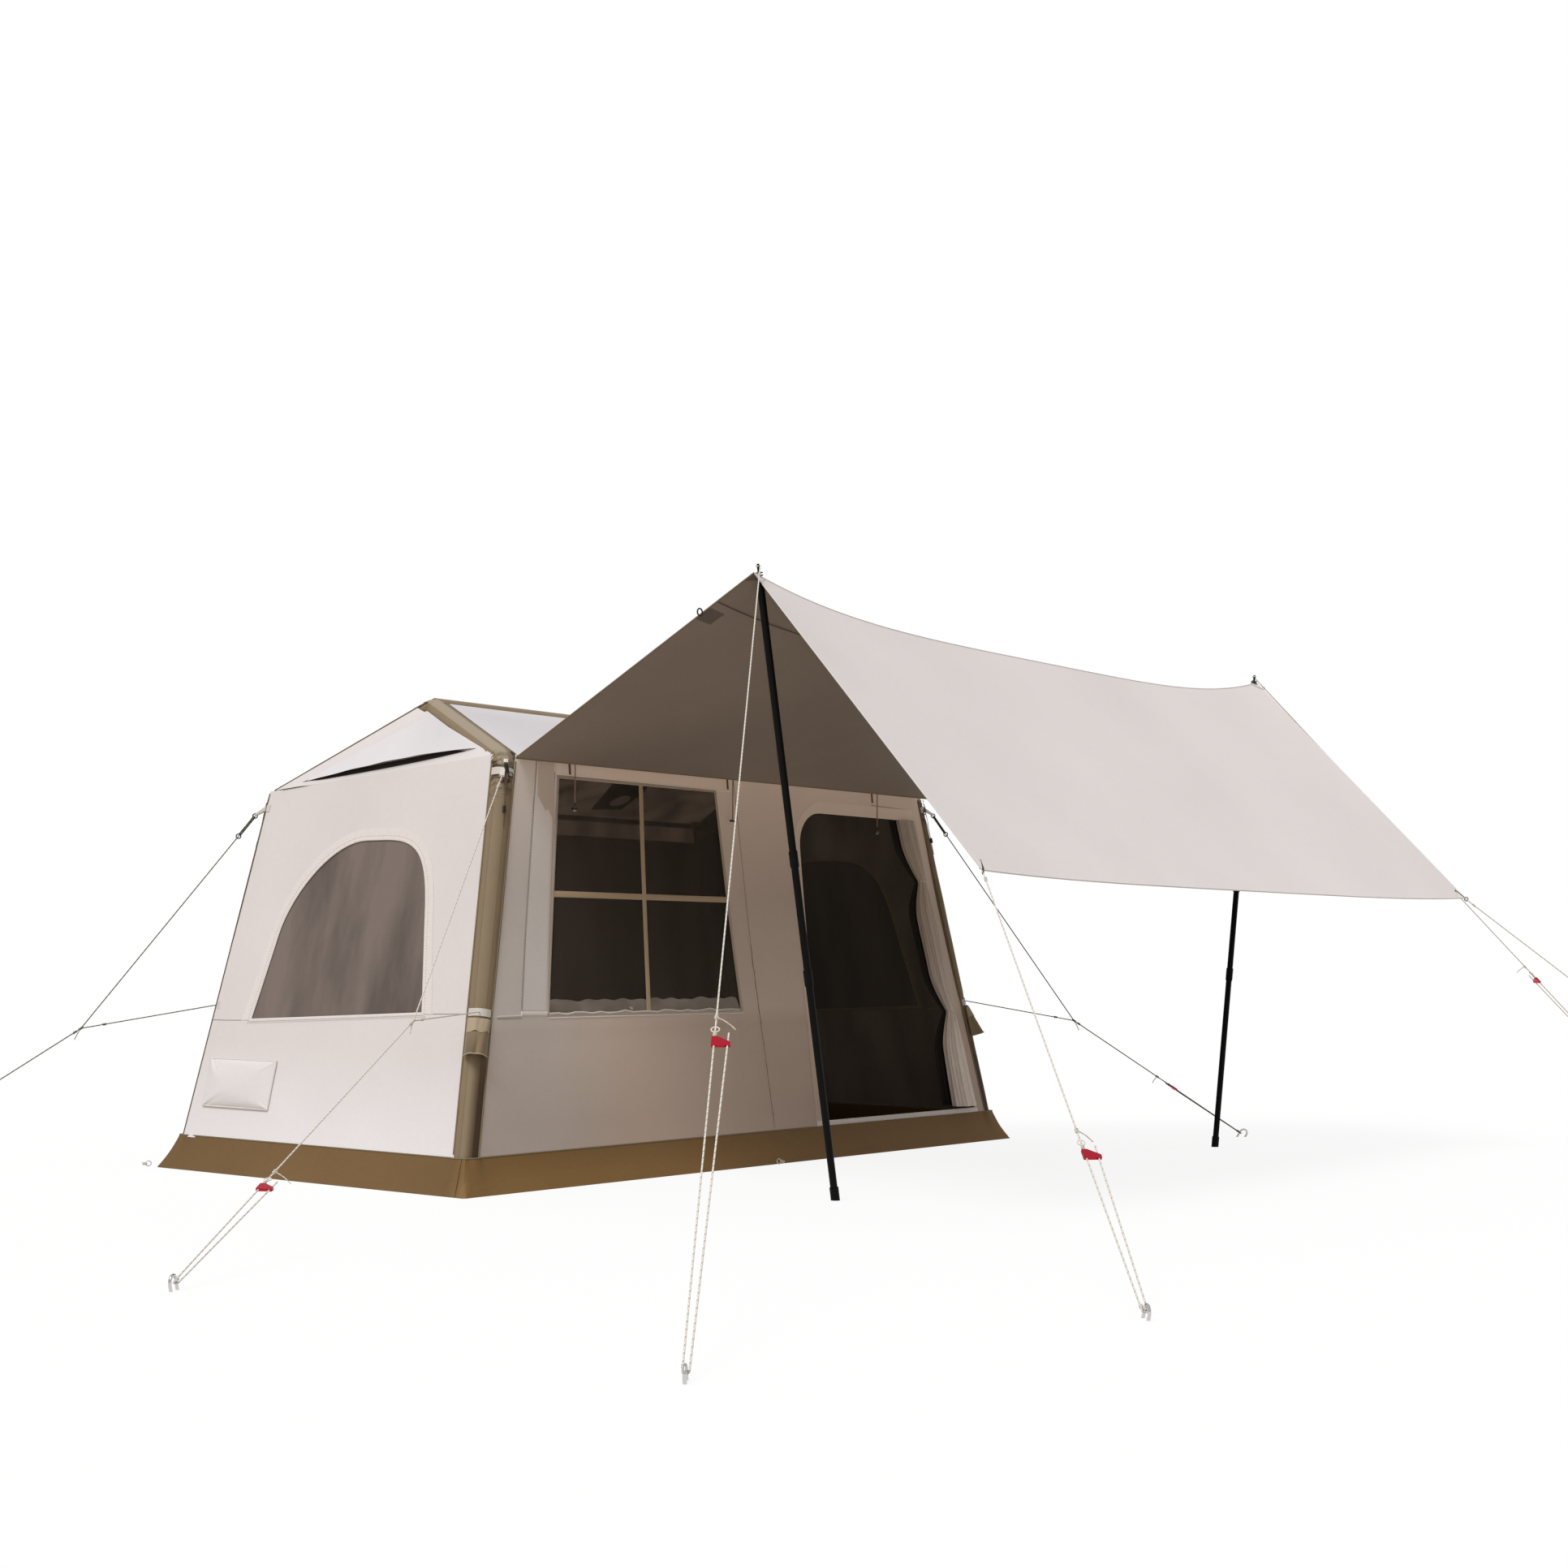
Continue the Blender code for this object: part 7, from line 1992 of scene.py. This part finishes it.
def makeAwningTrim():
    near = [awningAt(k / 24, 0.0) for k in range(49)]
    far = [awningAt(k / 24, 1.0) for k in range(49)]
    front = [awningAt(2.0, k / 60) for k in range(61)]
    ridge = [awningAt(1.0, k / 60, 0.0008) for k in range(61)]
    rear = [awningAt(0.0, k / 60, -0.0012) for k in range(61)]
    seam = [awningAt(gear["seam"], k / 60, -0.0050) for k in range(61)]
    beads("awning_hem", [near[25:], far, front], gear["hem"], finishes["tarp"], "pale_cloth")
    beads("awning_rear_hem", [near[:25], rear], gear["hem"], finishes["piping"], "pale_cloth")
    beads("awning_ridge_seam", [ridge], 0.0022, finishes["tarp"], "pale_cloth")
    beads("awning_rear_seam", [seam], 0.0018, finishes["underSeam"], "pale_cloth")
    for end, low, high in (("near", 0.0, 0.022), ("far", 1.0, 0.978)):
        rows = [[awningAt(gear["tab"] + 0.014 * r, low + (high - low) * c / 4, -0.0026) for c in range(5)]
                for r in range(5)]
        gridSheet("awning_" + end + "_tab", rows, [finishes["underSeam"]] * 2, 0.0010, flip=low > 0.5)
        spot = awningAt(gear["ring"], low)
        shells = [torusMesh(spot - alongX * (0.016 if low < 0.5 else -0.016), alongY, 0.014, 0.0030)]
        joined("awning_" + end + "_ring", shells, finishes["plastic"], "root", "black_plastic")
    for end, base, turn in (("near", 0.0, 1), ("far", 1.0, -1)):
        for place, t, away in (("peak", 1.0, 1), ("peak_rear", 1.0, -1), ("corner", 2.0, -1)):
            grid = []
            for r in range(7):
                reach = gear["patch"] * (0.9 if place == "corner" else 0.75) * r / 6
                grid.append([(t + away * reach * (c / 6), base + turn * reach * 0.42 * (1 - c / 6))
                             for c in range(7)])
            for side, lift in (("over", 0.0022), ("under", -0.0022)):
                rows = [[awningAt(a, b, lift + 0.0004) for a, b in row] for row in grid[1:]]
                look = "webLight" if place == "corner" else "tarp" if side == "over" else "underSeam"
                gridSheet("awning_" + end + "_" + place + "_" + side, rows, [finishes[look]] * 2, 0.0008,
                          flip=(turn * away > 0) == (side == "over"))
    for side, end in ((-1, "near"), (1, "far")):
        foot, top = poleLine(side)
        axis = (top - foot).normalized()
        corner = awningCorner(side)
        spot = lineSpots[end + "_awning"]
        shells = [torusMesh(top + axis * rise, axis, 0.0125, 0.0026) for rise in (0.004, -0.006)]
        joined(end + "_peak_eyelet", shells, finishes["plastic"], "root", "black_plastic")
        strap = ribbonMesh([corner - spot["main"] * 0.060, corner - spot["main"] * 0.004], spot["across"].cross(
            spot["main"]), 0.016, 0.003)
        ring = torusMesh(corner + spot["main"] * 0.010, spot["across"], 0.009, 0.0022)
        joined(end + "_corner_strap", [strap, ring], finishes["plastic"], "root", "black_plastic")


def makeSkirtTrim():
    base, top = skirtCorner(0.004, 0.0042, False), skirtCorner(cabin["skirtHeight"] - 0.002, 0.0042, False)
    seam = [top[12].lerp(base[12], k / 8) for k in range(9)]
    twin(beads("left_front_skirt_seam", [seam], 0.0022, finishes["skirt"], "brown_cloth"))
    ring, _ = skirtRing(cabin["skirtHeight"])
    hem = [p + upward * 0.0005 for p in ring] + [ring[0] + upward * 0.0005]
    beads("skirt_top_piping", [hem], 0.0030, finishes["piping"], "brown_cloth")
    for name, spot, way in (("left_back", (-1.915, 0.985, 0.016), (-0.9, 0.35, 0)),
                            ("right_back", (1.915, 0.985, 0.016), (0.9, 0.35, 0)),
                            ("middle_front", (-0.02, -0.985, 0.014), (0, -1, 0))):
        spot, way = Vector(spot), Vector(way).normalized()
        shells = [torusMesh(spot + way * 0.012, way.cross(upward), 0.011, 0.0022),
                  knotMesh(spot + way * 0.030, way, 0.009, 2.5, 0.003)]
        joined(name + "_peg_loop", shells, finishes["cord"], "root", "guyline_cord")


def makeCurtainTies():
    for index, tie in enumerate(curtain["ties"]):
        jamb = -cornerX(tie) - opening["doorJamb"] - 0.0006
        middle = meeting(frontPlane, levelAt(tie), (Vector((jamb - curtain["waist"], 0, 0)), alongX))
        wide, deep = curtain["waist"] * 0.99, curtain["waist"] * curtain["depth"] * 1.03
        loop = [middle + Vector((cos(a) * wide, sin(a) * deep, 0.006 * sin(a * 2)))
                for a in [2 * pi * k / 28 for k in range(29)]]
        tail = tailMesh(middle + Vector((wide * 0.2, -deep - 0.001, 0)), Vector((-0.2, -0.25, -1)).normalized(),
                        0.040, 0.0022)
        joined("door_tie_band_" + str(index + 1), [tubeMesh(loop, 0.0028, 8), tail], finishes["webLight"], "root",
               "white_webbing")


# flapShade is a painted shadow; the header band is paler partly as painted light
for label, *look in (("band", "flapBand", (0.80, 0.70, 0.62)), ("bandShade", "flapShade", (0.56, 0.45, 0.35)),
                     ("header", "headerBand", (0.86, 0.72, 0.60)), ("doorBand", "doorBand", (0.82, 0.70, 0.58))):
    finishes[label] = frontFinish(*look)
for label, *look in (("seamLine", "seamLine", (0.42, 0.35, 0.30), 0.0024),
                     ("webLight", "whiteTape", (0.86, 0.82, 0.77), 0.0024),
                     ("elastic", "brownElastic", (0.16, 0.115, 0.075), 0.0022),
                     ("innerBorder", "innerBorder", (0.13, 0.10, 0.06), 0.0026),
                     ("underSeam", "underSeam", (0.155, 0.122, 0.095), 0.0024),
                     ("crease", "seamCrease", (0.26, 0.205, 0.165), 0.0024),
                     ("tieCord", "tieCord", (0.36, 0.25, 0.20), 0.0022),
                     ("darkPiping", "darkPiping", (0.115, 0.080, 0.045), 0.0024)):
    finishes[label] = webFinish(*look)
# painted light: a faint emission on the inner borders
finishes["innerBorder"].glow(1.0, (0.0065, 0.0048, 0.0028))
for makeTrim in (makeFrontTrim, makeSideTrim, makeInnerCovers, makeInnerTapes, makeCeilingPatch, makePiping, makeKnots,
                 makeCornerGear, makeAwningTrim, makeSkirtTrim, makeCurtainTies):
    makeTrim()
print("trim, knots and fittings made")

for spare in patterns:
    bpy.data.objects.remove(spare, do_unlink=True)
